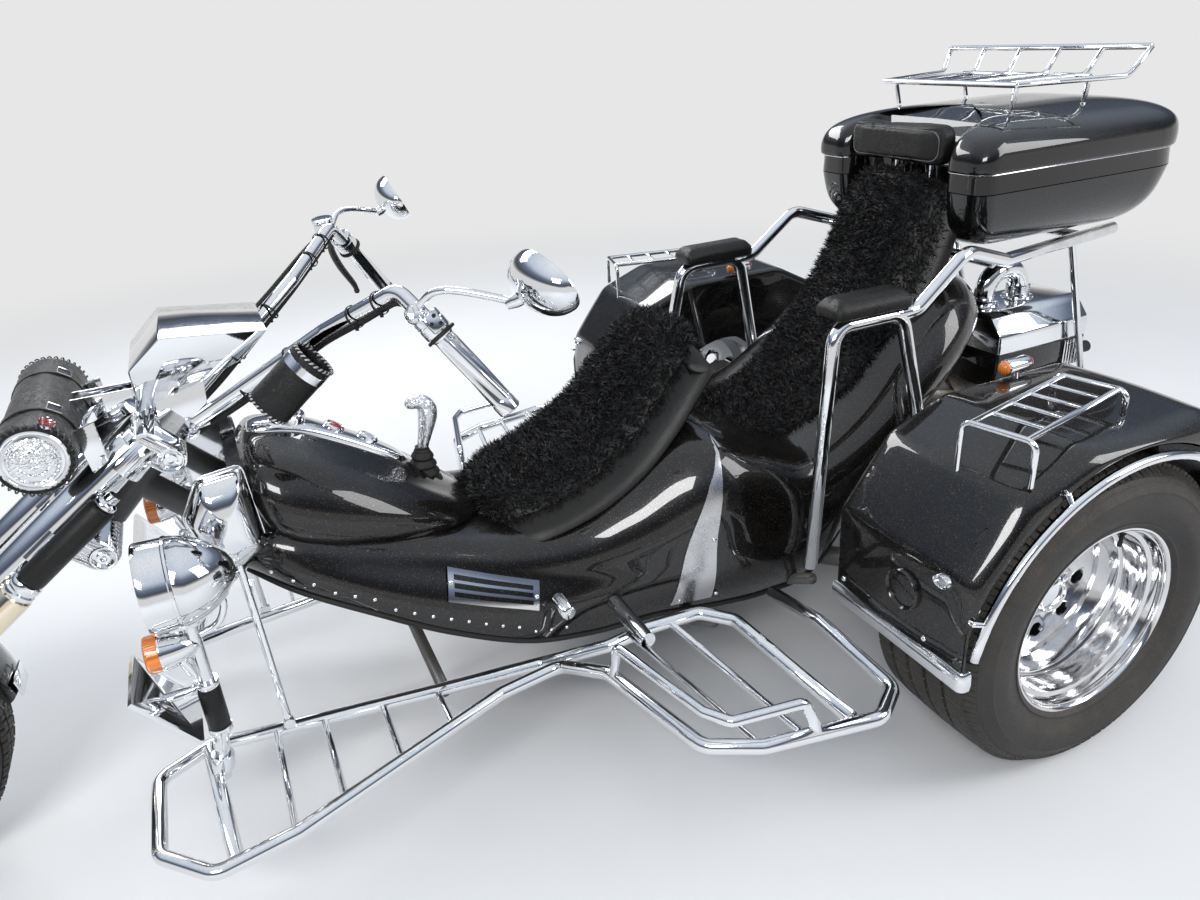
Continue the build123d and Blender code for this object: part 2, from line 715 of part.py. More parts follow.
with BuildPart() as front_covers:
    for side in (1, -1):
        with BuildSketch(side_plane(side * cover_inner_y)) as cover_face:
            with BuildLine():
                Polyline(*cover_outline, close=True)
            make_face()
            fillet(cover_face.vertices(), 20)
        extrude(cover_face.sketch, amount=-side * cover_depth, taper=10)
    add(tank.part, mode=Mode.SUBTRACT)
    add(body_shell.part, mode=Mode.SUBTRACT)
    add(lamp_posts.part, mode=Mode.SUBTRACT)
    add(frame.part, mode=Mode.SUBTRACT)
front_covers.part.label = "front_covers"
export_step(front_covers.part, "parts/front_covers.step")

# Top case: a hollow base and a hinged, crowned lid with a wire rack
seam_z = 1060
case_middle_x = -495
case_length = 680
case_width = 590
case_notch_x = -234
case_front_corner = 30
case_notch_half_width = 178
lid_top_z = 1220
hinge_x = case_middle_x - case_length / 2 - 14
hinge_pin_radius = 4
hinge_barrel_radius = 8
hinge_leaf_inner_x = case_middle_x - case_length / 2 + 7
base_barrel = (100, 130)
lid_barrel = (131, 151)
hinge_leaf = 11


def case_face(z, length, width, corner, inset=0):
    """Draw one level outline of the top case."""
    front = case_middle_x + length / 2
    rear = case_middle_x - length / 2
    notch = case_notch_half_width
    with BuildSketch(Plane(origin=(rear_axle_x, 0, z))) as face:
        with BuildLine():
            Polyline(
                (front, width / 2), (rear, width / 2), (rear, -width / 2), (front, -width / 2),
                (front, -notch), (case_notch_x - inset, -notch + 10),
                (case_notch_x - inset, notch - 10), (front, notch),
                close=True,
            )
        make_face()
        fillet(face.vertices().sort_by(Axis.X)[:2], corner)
        fillet(face.vertices().sort_by(Axis.X)[-4:].sort_by(Axis.Y)[0], case_front_corner)
        fillet(face.vertices().sort_by(Axis.X)[-4:].sort_by(Axis.Y)[-1], case_front_corner)
    return face.sketch


def hinge_cylinder(side, near, far, radius, mode=Mode.ADD):
    """Add or cut a cylinder on the lid's hinge line, between two distances from the middle."""
    with BuildSketch(Plane(origin=spot(hinge_x, side * near, seam_z), z_dir=(0, side, 0))) as round_face:
        Circle(radius)
    extrude(round_face.sketch, amount=far - near, mode=mode)


def hinge_leaf_box(side, barrel, z):
    """Add the leaf that joins a hinge barrel to a wall of the case."""
    near, far = barrel
    with Locations(spot((hinge_x + hinge_leaf_inner_x) / 2, side * (near + far) / 2, z)):
        Box(hinge_leaf_inner_x - hinge_x, far - near, hinge_leaf - 4)


base_levels = [
    # z, length, width, corner radius
    (case_floor_z, case_length - 150, case_width - 150, 90),
    (case_floor_z + 45, case_length - 50, case_width - 50, 105),
    (seam_z, case_length, case_width, 110),
]
lid_levels = [
    (seam_z + 0.5, case_length, case_width, 110),
    (seam_z + 55, case_length - 12, case_width - 12, 108),
    (seam_z + 100, case_length - 50, case_width - 60, 100),
    (lid_top_z, case_length - 110, case_width - 150, 80),
]


def inside(levels, last_rise):
    """Give the levels of the room inside a case part, one wall smaller."""
    walls = 2 * case_wall
    rows = [(z, length - walls, width - walls, corner - case_wall) for z, length, width, corner in levels]
    z, length, width, corner = rows[-1]
    return rows[:-1] + [(z + last_rise, length, width, corner)]


with BuildPart() as case_base:
    loft(sections=[case_face(*row) for row in base_levels], ruled=True)
    z, length, width, corner = inside(base_levels, 1)[0]
    room_levels = [(z + case_wall, length, width, corner)] + inside(base_levels, 1)[1:]
    loft(sections=[case_face(*row, case_wall) for row in room_levels], ruled=True, mode=Mode.SUBTRACT)
    for side in (1, -1):
        hinge_cylinder(side, *base_barrel, hinge_barrel_radius)
        hinge_cylinder(side, base_barrel[0], lid_barrel[1] + 4, hinge_pin_radius)
        hinge_leaf_box(side, base_barrel, seam_z - hinge_leaf / 2 - 1)
case_base.part.label = "case_base"
export_step(case_base.part, "parts/case_base.step")

with BuildPart() as case_lid:
    loft(sections=[case_face(*row) for row in lid_levels], ruled=True)
    z, length, width, corner = inside(lid_levels, -case_wall)[0]
    room_levels = [(z - 1, length, width, corner)] + inside(lid_levels, -case_wall)[1:]
    loft(sections=[case_face(*row, case_wall) for row in room_levels], ruled=True, mode=Mode.SUBTRACT)
    for side in (1, -1):
        hinge_cylinder(side, *lid_barrel, hinge_barrel_radius)
        hinge_leaf_box(side, lid_barrel, seam_z + hinge_leaf / 2 + 1)
        hinge_cylinder(side, lid_barrel[0], lid_barrel[1], hinge_pin_radius + running_fit, Mode.SUBTRACT)
case_lid.part.label = "case_lid"
export_step(case_lid.part, "parts/case_lid.step")

rack_front_x = -310
rack_bend_x = -575
rack_rear_x = -612
rack_z = 1276
rack_rear_z = 1334
rack_front_half = 215
rack_bend_half = 285
rack_rear_half = 302
rack_wires = 6
rack_feet = [(-330, 1170), (-560, 1170)]

with BuildPart() as case_rack:
    for x, half, z in ((rack_front_x, rack_front_half, rack_z), (rack_rear_x, rack_rear_half, rack_rear_z)):
        bar([spot(x, -half, z), spot(x, half, z)], rack_wire_radius + 1)
    for wire in range(rack_wires):
        share = wire / (rack_wires - 1) * 2 - 1
        route = [
            spot(rack_front_x, share * rack_front_half, rack_z),
            spot(rack_bend_x, share * rack_bend_half, rack_z),
            spot(rack_rear_x, share * rack_rear_half, rack_rear_z),
        ]
        bar(route, rack_wire_radius, 25)
    for x, foot_z in rack_feet:
        bar([spot(x, -196, rack_z), spot(x, 196, rack_z)], rack_wire_radius - 1)
        for side in (1, -1):
            bar([spot(x - 8, side * 176, foot_z), spot(x, side * 196, rack_z)], rack_wire_radius)
    add(case_lid.part, mode=Mode.SUBTRACT)
case_rack.part.label = "case_rack"
export_step(case_rack.part, "parts/case_rack.step")

# Fork: two long legs with covers above and sliders below, and the front axle between them
slider_start = 520

with BuildPart() as fork_legs:
    for side in (1, -1):
        bar([on_leg(0, side * leg_y), on_leg(400, side * leg_y)], leg_cover_radius)
        bar([on_leg(390, side * leg_y), on_leg(leg_length, side * leg_y)], 22)
        bar([on_leg(slider_start, side * leg_y), on_leg(leg_length + 25, side * leg_y)], 28)
    axle_ends = [spot(wheelbase, y, front_tyre_radius) for y in (-leg_y - 38, leg_y + 38)]
    bar(axle_ends, front_axle_radius)
fork_legs.part.label = "fork_legs"
export_step(fork_legs.part, "parts/fork_legs.step")

# Clamps that hold the legs to the steering stem
clamp_half_height = 27
clamp_half_width = 135
clamp_reach = [(0, 46), (clamp_spacing, 66)]

with BuildPart() as fork_clamps:
    with BuildSketch(Plane(origin=on_stem(-clamp_half_height), z_dir=stem_down)):
        Circle(stem_radius)
    extrude(amount=clamp_spacing + 2 * clamp_half_height)
    for distance, ahead in clamp_reach:
        clamp_plane = Plane(
            origin=on_stem(distance, ahead / 2, -clamp_half_width), x_dir=ahead_of_stem, z_dir=(0, 1, 0)
        )
        with BuildSketch(clamp_plane) as clamp_face:
            SlotOverall(ahead + 2 * clamp_half_height, 2 * clamp_half_height)
        extrude(clamp_face.sketch, amount=2 * clamp_half_width)
        for side in (1, -1):
            along = distance * (stem_down[0] * leg_down[0] + stem_down[2] * leg_down[2])
            bar([on_leg(along - 18, side * leg_y), on_leg(along + 46, side * leg_y)], leg_cover_radius + 8)
    add(fork_legs.part, mode=Mode.SUBTRACT)
fork_clamps.part.label = "fork_clamps"
export_step(fork_clamps.part, "parts/fork_clamps.step")

# Dampers beside the legs
with BuildPart() as dampers:
    for side in (1, -1):
        bar([on_leg(90, side * 150, 24), on_leg(270, side * 150, 24)], 19)
        bar([on_leg(100, side * 105, 24), on_leg(100, side * 150, 24)], 9)
        bar([on_leg(262, side * 105, 24), on_leg(262, side * 150, 24)], 9)
    add(fork_legs.part, mode=Mode.SUBTRACT)
    add(fork_clamps.part, mode=Mode.SUBTRACT)
dampers.part.label = "dampers"
export_step(dampers.part, "parts/dampers.step")

# Handlebar: pulled well back, with risers on the upper clamp
riser_radius = handlebar_radius + 6
riser_half_length = 76
bar_foot = on_stem(1 - clamp_half_height - riser_radius, -7)
bar_route = [(1258, 215, 1010), (1145, 330, 1088), (1105, 395, 1030), (1022, 450, 900)]

with BuildPart() as handlebar:
    for side in (1, -1):
        foot = (bar_foot[0], side * 62, bar_foot[2])
        bar([foot] + [spot(x, side * y, z) for x, y, z in bar_route], handlebar_radius, 30)
    riser_ends = [(bar_foot[0], y, bar_foot[2]) for y in (-riser_half_length, riser_half_length)]
    bar(riser_ends, riser_radius)
    add(fork_clamps.part, mode=Mode.SUBTRACT)
handlebar.part.label = "handlebar"
export_step(handlebar.part, "parts/handlebar.step")

# Grips, switch units and levers
with BuildPart() as controls:
    for side in (1, -1):
        bar([spot(1100, side * 398, 1022), spot(1020, side * 451, 897)], 18)
        bar([spot(1118, side * 386, 1048), spot(1096, side * 401, 1016)], 25)
        bar([spot(1118, side * 400, 1044), spot(1135, side * 440, 1000), spot(1080, side * 490, 905)], 7, 20)
    add(handlebar.part, mode=Mode.SUBTRACT)
controls.part.label = "controls"
export_step(controls.part, "parts/controls.step")

# Mirrors on curved stems, each a glass in a domed oval shell
mirror_back = Vector(0.86, 0, -0.5).normalized()
mirror_steps = [(0, 1), (18, 0.93), (32, 0.7), (40, 0.4)]

with BuildPart() as mirrors:
    for side in (1, -1):
        mirror_middle = Vector(*spot(958, side * 505, 1116))
        bar([spot(1125, side * 384, 1062), spot(1100, side * 420, 1105), spot(963, side * 505, 1113)], 6, 20)
        for depth, share in mirror_steps:
            middle = mirror_middle + mirror_back * depth
            with BuildSketch(Plane(origin=middle, x_dir=(0, 1, 0), z_dir=mirror_back)):
                Ellipse(88 * share, 52 * share)
        loft()
    add(controls.part, mode=Mode.SUBTRACT)
    add(handlebar.part, mode=Mode.SUBTRACT)
mirrors.part.label = "mirrors"
export_step(mirrors.part, "parts/mirrors.step")

# Instrument box above the upper clamp
box_outline = [(1590, 880), (1586, 990), (1520, 1050), (1350, 985), (1400, 950), (1560, 890)]

with BuildPart() as instrument_box:
    with BuildSketch(side_plane(110)):
        with BuildLine():
            Polyline(*box_outline, close=True)
        make_face()
    extrude(amount=220)
    bar([spot(1560, 0, 845), spot(1560, 0, 920)], 16)
    add(handlebar.part, mode=Mode.SUBTRACT)
    add(fork_clamps.part, mode=Mode.SUBTRACT)
instrument_box.part.label = "instrument_box"
export_step(instrument_box.part, "parts/instrument_box.step")

# Leather tool roll across the fork, on a bracket from the instrument box
roll_radius = 62
roll_half_length = 200

with BuildPart() as tool_roll:
    with BuildSketch(Plane(origin=spot(1745, -roll_half_length, 880), z_dir=(0, 1, 0))):
        Circle(roll_radius)
    extrude(amount=2 * roll_half_length)
    with Locations(spot(1650, 0, 905)):
        Box(140, 60, 20)
    add(fork_legs.part, mode=Mode.SUBTRACT)
    add(instrument_box.part, mode=Mode.SUBTRACT)
tool_roll.part.label = "tool_roll"
export_step(tool_roll.part, "parts/tool_roll.step")

# Cup holder on the left bar
cup_radius = 38
cup_length = 105
cup_foot = spot(1378, 235, 900)
cup_axis = Vector(-89, 15, 76).normalized()

with BuildPart() as cup_holder:
    with BuildSketch(Plane(origin=cup_foot, z_dir=cup_axis)):
        Circle(cup_radius)
    extrude(amount=cup_length)
    bar([spot(1301, 190, 981), spot(1305, 247, 962)], 9)
    with BuildSketch(Plane(origin=Vector(*cup_foot) + cup_axis * 5, z_dir=cup_axis)):
        Circle(cup_radius - 3)
    extrude(amount=cup_length, mode=Mode.SUBTRACT)
    add(handlebar.part, mode=Mode.SUBTRACT)
cup_holder.part.label = "cup_holder"
export_step(cup_holder.part, "parts/cup_holder.step")

# Front fender: a curved shell over the back of the wheel, carried by the sliders
front_fender_radius = 362
front_fender_half_width = 80

with BuildPart() as front_fender:
    flap_plane = Plane(origin=spot(wheelbase, 0, front_tyre_radius), x_dir=(0, 1, 0), z_dir=(0.82, 0, -0.57))
    with BuildSketch(flap_plane) as fender_wall_face:
        with BuildLine():
            Polyline(
                (-front_fender_half_width, front_fender_radius - 60),
                (-front_fender_half_width + 10, front_fender_radius - 14),
                (-30, front_fender_radius),
                (30, front_fender_radius),
                (front_fender_half_width - 10, front_fender_radius - 14),
                (front_fender_half_width, front_fender_radius - 60),
            )
            offset(amount=front_fender_wall, side=Side.RIGHT)
        make_face()
    fender_axis = Axis(spot(wheelbase, 0, front_tyre_radius), (0, 1, 0))
    revolve(fender_wall_face.sketch, axis=fender_axis, revolution_arc=-118)
    add(fork_legs.part, mode=Mode.SUBTRACT)
front_fender.part.label = "front_fender"
export_step(front_fender.part, "parts/front_fender.step")


def tyre_section(x, y, z, radius, width, bead_radius, bead_width):
    """Draw a tyre's section on a plane through the axle."""
    side_z = (radius + bead_radius) / 2
    tread = width * 0.42
    shoulder = radius - width * 0.06
    with BuildSketch(wheel_plane(x, y, z)) as section:
        with BuildLine():
            Line((-bead_width / 2, bead_radius), (bead_width / 2, bead_radius))
            ThreePointArc((bead_width / 2, bead_radius), (width / 2, side_z), (tread, shoulder))
            ThreePointArc((tread, shoulder), (0, radius), (-tread, shoulder))
            ThreePointArc((-tread, shoulder), (-width / 2, side_z), (-bead_width / 2, bead_radius))
        make_face()
    return section.sketch


# Rear wheels: wide tyres on deep-dished rims
bead_radius = 192
hub_length = 130
lip = rear_rim_width / 2
face = lip - rear_dish_depth
rear_rim_profile = [
    # distance outwards from the wheel's middle, radius
    (lip, rear_rim_radius), (lip - 7, rear_rim_radius), (lip - 7, bead_radius),
    (-lip + 7, bead_radius), (-lip + 7, rear_rim_radius), (-lip, rear_rim_radius),
    (-lip, bead_radius - 6), (face - 9, bead_radius - 12), (face - 9, 58),
    (face - hub_length, 50), (face - hub_length, 0), (face + 34, 0),
    (face + 34, 28), (face + 6, 46), (face, 60), (face, bead_radius - 12), (lip, bead_radius - 4),
]

for name, side in (("left", 1), ("right", -1)):
    wheel_y = side * rear_wheel_y
    axle = Axis(spot(0, wheel_y, rear_tyre_radius), (0, 1, 0))
    with BuildPart() as rear_rim:
        with BuildSketch(wheel_plane(0, wheel_y, rear_tyre_radius)) as barrel:
            with BuildLine():
                Polyline(*[(side * along, radius) for along, radius in rear_rim_profile], close=True)
            make_face()
        revolve(barrel.sketch, axis=axle)
        hole_plane = Plane(origin=spot(0, wheel_y + side * (face + 5), rear_tyre_radius), z_dir=(0, -side, 0))
        with BuildSketch(hole_plane) as holes:
            with PolarLocations(118, 8):
                Circle(17)
        extrude(holes.sketch, amount=20, mode=Mode.SUBTRACT)
        bore_start = spot(0, wheel_y + side * (face - hub_length), rear_tyre_radius)
        with BuildSketch(Plane(origin=bore_start, z_dir=(0, side, 0))) as bore:
            Circle(stub_axle_radius + running_fit)
        extrude(bore.sketch, amount=hub_length + 10, mode=Mode.SUBTRACT)
    rear_rim.part.label = name + "_rim"
    export_step(rear_rim.part, "parts/" + name + "_rim.step")
    with BuildPart() as rear_tyre:
        rear_section = tyre_section(
            0, wheel_y, rear_tyre_radius,
            rear_tyre_radius, rear_tyre_width, bead_radius, rear_rim_width - 14,
        )
        revolve(rear_section, axis=axle)
        add(rear_rim.part, mode=Mode.SUBTRACT)
    rear_tyre.part.label = name + "_tyre"
    export_step(rear_tyre.part, "parts/" + name + "_tyre.step")

# Front wheel
front_axle = Axis(spot(wheelbase, 0, front_tyre_radius), (0, 1, 0))
front_bead_radius = 203

front_half = front_rim_width / 2
front_hub_half = leg_y - 28 - 6
front_bore = front_axle_radius + running_fit

with BuildPart() as front_rim:
    with BuildSketch(wheel_plane(wheelbase, 0, front_tyre_radius)) as front_barrel:
        with BuildLine():
            Polyline(
                (front_half, front_rim_radius), (front_half - 5, front_rim_radius),
                (front_half - 5, front_bead_radius), (-front_half + 5, front_bead_radius),
                (-front_half + 5, front_rim_radius), (-front_half, front_rim_radius),
                (-front_half, front_bead_radius - 6), (-8, front_bead_radius - 14), (-8, 48),
                (-front_hub_half, 36), (-front_hub_half, front_bore), (front_hub_half, front_bore),
                (front_hub_half, 36), (8, 48), (8, front_bead_radius - 14),
                (front_half, front_bead_radius - 6), close=True,
            )
        make_face()
    revolve(front_barrel.sketch, axis=front_axle)
    with BuildSketch(Plane(origin=spot(wheelbase, 0, front_tyre_radius), z_dir=(0, 1, 0))) as windows:
        with PolarLocations(118, 6):
            Circle(38)
    extrude(windows.sketch, amount=30, both=True, mode=Mode.SUBTRACT)
front_rim.part.label = "front_rim"
export_step(front_rim.part, "parts/front_rim.step")

with BuildPart() as front_tyre:
    front_section = tyre_section(
        wheelbase, 0, front_tyre_radius,
        front_tyre_radius, front_tyre_width, front_bead_radius, front_rim_width - 10,
    )
    revolve(front_section, axis=front_axle)
    add(front_rim.part, mode=Mode.SUBTRACT)
front_tyre.part.label = "front_tyre"
export_step(front_tyre.part, "parts/front_tyre.step")
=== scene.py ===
# %% [markdown]
# A long-fork motor trike, dressed around its solid model. The solid model holds every size and every joint.
# This lesson adds what the eye wants: lacquer, chrome, fleece, stitched leather, tread and small fittings.
# Everything is in metres, +X ahead, +Y to the rider's left and +Z up, just as in the solid model.

import json
import math

import bmesh
import bpy
from mathutils import Matrix, Vector, geometry, noise
from mathutils.bvhtree import BVHTree


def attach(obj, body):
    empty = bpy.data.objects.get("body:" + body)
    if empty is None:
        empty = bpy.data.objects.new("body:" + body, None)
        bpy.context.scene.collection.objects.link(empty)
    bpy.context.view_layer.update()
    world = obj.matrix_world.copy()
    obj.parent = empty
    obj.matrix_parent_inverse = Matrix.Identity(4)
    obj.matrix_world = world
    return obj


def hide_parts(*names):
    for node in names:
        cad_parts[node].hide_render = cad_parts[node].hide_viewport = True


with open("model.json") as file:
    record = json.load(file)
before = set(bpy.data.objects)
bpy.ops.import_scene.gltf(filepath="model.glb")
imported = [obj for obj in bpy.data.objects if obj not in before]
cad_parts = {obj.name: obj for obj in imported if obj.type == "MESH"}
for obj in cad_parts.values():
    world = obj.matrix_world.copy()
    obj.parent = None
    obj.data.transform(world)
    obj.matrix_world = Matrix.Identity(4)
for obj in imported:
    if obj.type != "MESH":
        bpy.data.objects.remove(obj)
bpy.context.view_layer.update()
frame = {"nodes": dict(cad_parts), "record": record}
nodes = frame["nodes"]
record = frame["record"]
body_of = {node: body for body, members in record["behaviour"]["bodies"].items() for node in members}
slot_of = {row["node"]: row["material_slot"] for row in record["subparts"]}
scene = bpy.context.scene
rear_axle_x = -0.885
wheel_z, front_wheel_z = 0.338, 0.320  # the wheels stand on the ground, so these are their radii as well


def spot(x, y, z):
    """Give the point that lies x ahead of the rear axle, as the solid model's source does."""
    return Vector((rear_axle_x + x, y, z))


def spots(rows, side=1):
    """Give the points of (x, y, z) rows, on the left for side 1 and on the right for side -1."""
    return [spot(x, side * y, z) for x, y, z in rows]


def aside(y):
    """Give a step across the trike, to the left for a positive y."""
    return Vector((0, y, 0))


front_axle = spot(2.3, 0, front_wheel_z)

# %% [markdown]
# The photo was taken by someone standing beside the left rear wheel, with a wide lens, a little above seat height.
# A camera is a place, a direction and a lens. Its direction is given here by two vectors: where the picture's
# right-hand side points, and where its top points. The third one follows from the other two.

# %% The camera
camera_place = Vector((0.53936, 1.78744, 1.45679))
picture_right = Vector((-0.90627, 0.41760, -0.06542))
picture_up = Vector((-0.23238, -0.36294, 0.90237))

camera_data = bpy.data.cameras.new("photo_camera")
camera_data.lens = 27
camera_data.sensor_width = 36
camera_data.clip_end = 100
camera = bpy.data.objects.new("photo_camera", camera_data)
scene.collection.objects.link(camera)
camera_turn = Matrix((picture_right, picture_up, picture_right.cross(picture_up))).transposed()
camera.matrix_world = Matrix.Translation(camera_place) @ camera_turn.to_4x4()
scene.camera = camera
print("camera looks along", [round(v, 3) for v in -picture_right.cross(picture_up)])

# %% [markdown]
# Chrome and black lacquer show nothing but their surroundings. In a room of one pale grey they would look dull,
# so the world runs from a bright ceiling over a dark band to a pale horizon, and that gives each bar its bright
# line and its dark edge. Three large soft lamps add the long clean highlights. Camera and mirror rays see the
# same world at full strength, so the background that shows behind the trike is the one its chrome reflects.
# The world is a small node tree, so the helpers that add nodes come first.

# %% World and lamps


def add_node(tree, kind, inputs=None, **settings):
    """Add a node with its settings, and set or link its inputs."""
    made = tree.nodes.new(kind)
    for key, value in settings.items():
        setattr(made, key, value)
    for key, value in (inputs or {}).items():
        if isinstance(value, bpy.types.NodeSocket):
            tree.links.new(value, made.inputs[key])
        else:
            made.inputs[key].default_value = value
    return made


def math_node(tree, operation, first, second, clamp=False):
    """Add a Math node on two values or sockets, and give its output."""
    return add_node(tree, "ShaderNodeMath", {0: first, 1: second}, operation=operation, use_clamp=clamp).outputs[0]


def straight_rays(tree):
    """Give 1 for camera, mirror and see-through rays, and 0 for the rays that light other things."""
    path = add_node(tree, "ShaderNodeLightPath")
    seen = math_node(tree, "MAXIMUM", path.outputs["Is Camera Ray"], path.outputs["Is Glossy Ray"])
    return math_node(tree, "MAXIMUM", seen, path.outputs["Is Transmission Ray"])


scene.view_settings.view_transform = "Standard"
world = bpy.data.worlds.new("studio")
scene.world = world
world.use_nodes = True
sky = world.node_tree
sky.nodes.clear()
sky_place = add_node(sky, "ShaderNodeTexCoord")
sky_split = add_node(sky, "ShaderNodeSeparateXYZ", {0: sky_place.outputs["Generated"]})
sky_lift = add_node(sky, "ShaderNodeMapRange", {"Value": sky_split.outputs["Z"], "From Min": -1, "From Max": 1})
sky_ramp = add_node(sky, "ShaderNodeValToRGB", {"Fac": sky_lift.outputs[0]})
sky_bands = [
    # height from nadir 0 to zenith 1, colour
    (0.00, (0.80, 0.80, 0.80)),
    (0.540, (0.80, 0.80, 0.80)),
    (0.562, (0.32, 0.32, 0.34)),
    (0.60, (0.07, 0.075, 0.09)),
    (0.70, (0.16, 0.20, 0.28)),
    (0.80, (0.60, 0.68, 0.80)),
    (1.00, (0.92, 0.96, 1.00)),
]
stops = sky_ramp.color_ramp.elements
while len(stops) < len(sky_bands):
    stops.new(0.5)
for stop, (height, colour) in zip(stops, sky_bands):
    stop.position = height
    stop.color = (*colour, 1)
sky_light = add_node(sky, "ShaderNodeBackground", {"Color": sky_ramp.outputs["Color"], "Strength": 0.85})
sky_seen = add_node(sky, "ShaderNodeBackground", {"Color": sky_ramp.outputs["Color"]})
sky_mix = add_node(
    sky, "ShaderNodeMixShader", {"Fac": straight_rays(sky), 1: sky_light.outputs[0], 2: sky_seen.outputs[0]}
)
add_node(sky, "ShaderNodeOutputWorld", {"Surface": sky_mix.outputs[0]})

lamp_table = [
    # name, place, aim, width, height, watts
    ("key", (2.6, 3.4, 3.6), (0.0, 0.0, 0.5), 2.4, 1.2, 150),
    ("fill", (-3.2, 2.6, 2.8), (-0.6, 0.0, 0.6), 1.6, 2.2, 75),
    ("back", (0.2, -3.4, 3.2), (0.0, 0.0, 0.6), 3.6, 1.0, 110),
]
for name, place, aim, width, height, watts in lamp_table:
    lamp_data = bpy.data.lights.new(name, "AREA")
    lamp_data.shape = "RECTANGLE"
    lamp_data.size = width
    lamp_data.size_y = height
    lamp_data.energy = watts
    lamp = bpy.data.objects.new(name, lamp_data)
    scene.collection.objects.link(lamp)
    lamp.location = place
    lamp.rotation_euler = (Vector(aim) - Vector(place)).to_track_quat("-Z", "Y").to_euler()
print("lamps:", len(lamp_table))

# %% [markdown]
# A mesh is points and the faces between them. Most shapes here are skins: rings of points in a row, joined by
# four-sided faces. Four-sided faces in even rows bend light smoothly, which black lacquer needs above all.

# %% Helpers that make meshes
both_sides = ((1, "left"), (-1, "right"))


def circle(count, whole=0):
    """Give the angles of a full turn in even steps; the last one closes the turn where whole is 1."""
    return [2 * math.pi * at / count for at in range(count + whole)]


def quarter(count, first=1):
    """Give the angles of a quarter turn in even steps, from the first step on."""
    return [math.pi / 2 * at / count for at in range(first, count + 1)]


def ray_at(angle):
    """Give the direction that stands at an angle above straight ahead."""
    return Vector((math.cos(angle), 0, math.sin(angle)))


def tangent_at(angle):
    """Give the direction square to the ray at an angle."""
    return Vector((-math.sin(angle), 0, math.cos(angle)))


def mesh_from(name, points, faces):
    """Make an object from points and faces, with its faces turned outwards."""
    mesh = bpy.data.meshes.new(name)
    mesh.from_pydata([tuple(p) for p in points], [], faces)
    shape = bmesh.new()
    shape.from_mesh(mesh)
    bmesh.ops.remove_doubles(shape, verts=shape.verts, dist=1e-5)
    bmesh.ops.recalc_face_normals(shape, faces=shape.faces)
    shape.to_mesh(mesh)
    shape.free()
    made = bpy.data.objects.new(name, mesh)
    scene.collection.objects.link(made)
    return made


def smooth(thing, crease=35):
    """Shade an object smoothly, and keep edges sharper than the crease angle in degrees."""
    mesh = thing.data
    mesh.polygons.foreach_set("use_smooth", [True] * len(mesh.polygons))
    mesh.set_sharp_from_angle(angle=math.radians(crease))
    return thing


def apply_modifiers(thing):
    """Turn an object and its modifiers into a plain mesh."""
    done = bpy.data.meshes.new_from_object(thing.evaluated_get(bpy.context.evaluated_depsgraph_get()))
    thing.modifiers.clear()
    thing.data = done
    return thing


def dress(thing, finish, body, slot, *stands_for):
    """Give a finished piece its material, its body and the nodes that it stands for; the slot is not used."""
    thing.data.materials.clear()
    thing.data.materials.append(finish)
    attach(thing, body)
    if stands_for:
        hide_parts(*stands_for)
    return thing


def dress_joined(name, pieces, crease, finish, body, slot, *stands_for):
    """Join pieces into one, shade it smoothly and dress it."""
    return dress(smooth(join(name, pieces), crease), finish, body, slot, *stands_for)


def dress_turned(name, profile, centre, axis, count, crease, finish, body, slot, *stands_for, closed=False):
    """Turn a profile round an axis, shade it smoothly and dress it."""
    turned = lathe(name, profile, centre, axis, count=count, closed=closed)
    return dress(smooth(turned, crease), finish, body, slot, *stands_for)


def net(rows, count, closed=True, start=0):
    """Give the four-sided faces of a net of points. A closed row's last point meets its first."""
    faces = []
    for row in range(rows - 1):
        first, second = start + row * count, start + (row + 1) * count
        for at in range(count if closed else count - 1):
            after = (at + 1) % count
            faces.append((first + at, first + after, second + after, second + at))
    return faces


def skin(name, rings, closed=True, caps=True):
    """Join rings of points, each with the same count, into a skin. A closed ring's last point meets its first."""
    count = len(rings[0])
    points = [p for ring in rings for p in ring]
    faces = net(len(rings), count, closed)
    if caps and closed:
        for ring_at in (0, len(rings) - 1):
            middle = sum((Vector(p) for p in rings[ring_at]), Vector()) / count
            points.append(middle)
            hub = len(points) - 1
            faces.extend((ring_at * count + at, ring_at * count + (at + 1) % count, hub) for at in range(count))
    return mesh_from(name, points, faces)


def flow(keys, steps):
    """Give a smooth run of values through the key rows, with a number of steps between each two."""
    rows = []
    last = len(keys) - 1
    for at in range(last):
        before, start, end, after = keys[max(at - 1, 0)], keys[at], keys[at + 1], keys[min(at + 2, last)]
        for step in range(steps):
            t = step / steps
            rows.append([
                0.5 * (2 * b + (c - a) * t + (2 * a - 5 * b + 4 * c - d) * t * t + (3 * b - 3 * c + d - a) * t ** 3)
                for a, b, c, d in zip(before, start, end, after)
            ])
    rows.append(list(keys[-1]))
    return rows


def lathe(name, profile, centre, axis, count=96, closed=False):
    """Turn a profile of (radius, distance along the axis) points round an axis."""
    axis = Vector(axis).normalized()
    side = axis.orthogonal().normalized()
    other = axis.cross(side)
    rings = []
    for angle in circle(count):
        out = side * math.cos(angle) + other * math.sin(angle)
        rings.append([Vector(centre) + out * radius + axis * along for radius, along in profile])
    rings.append(rings[0])
    return skin(name, rings, closed=closed, caps=False)


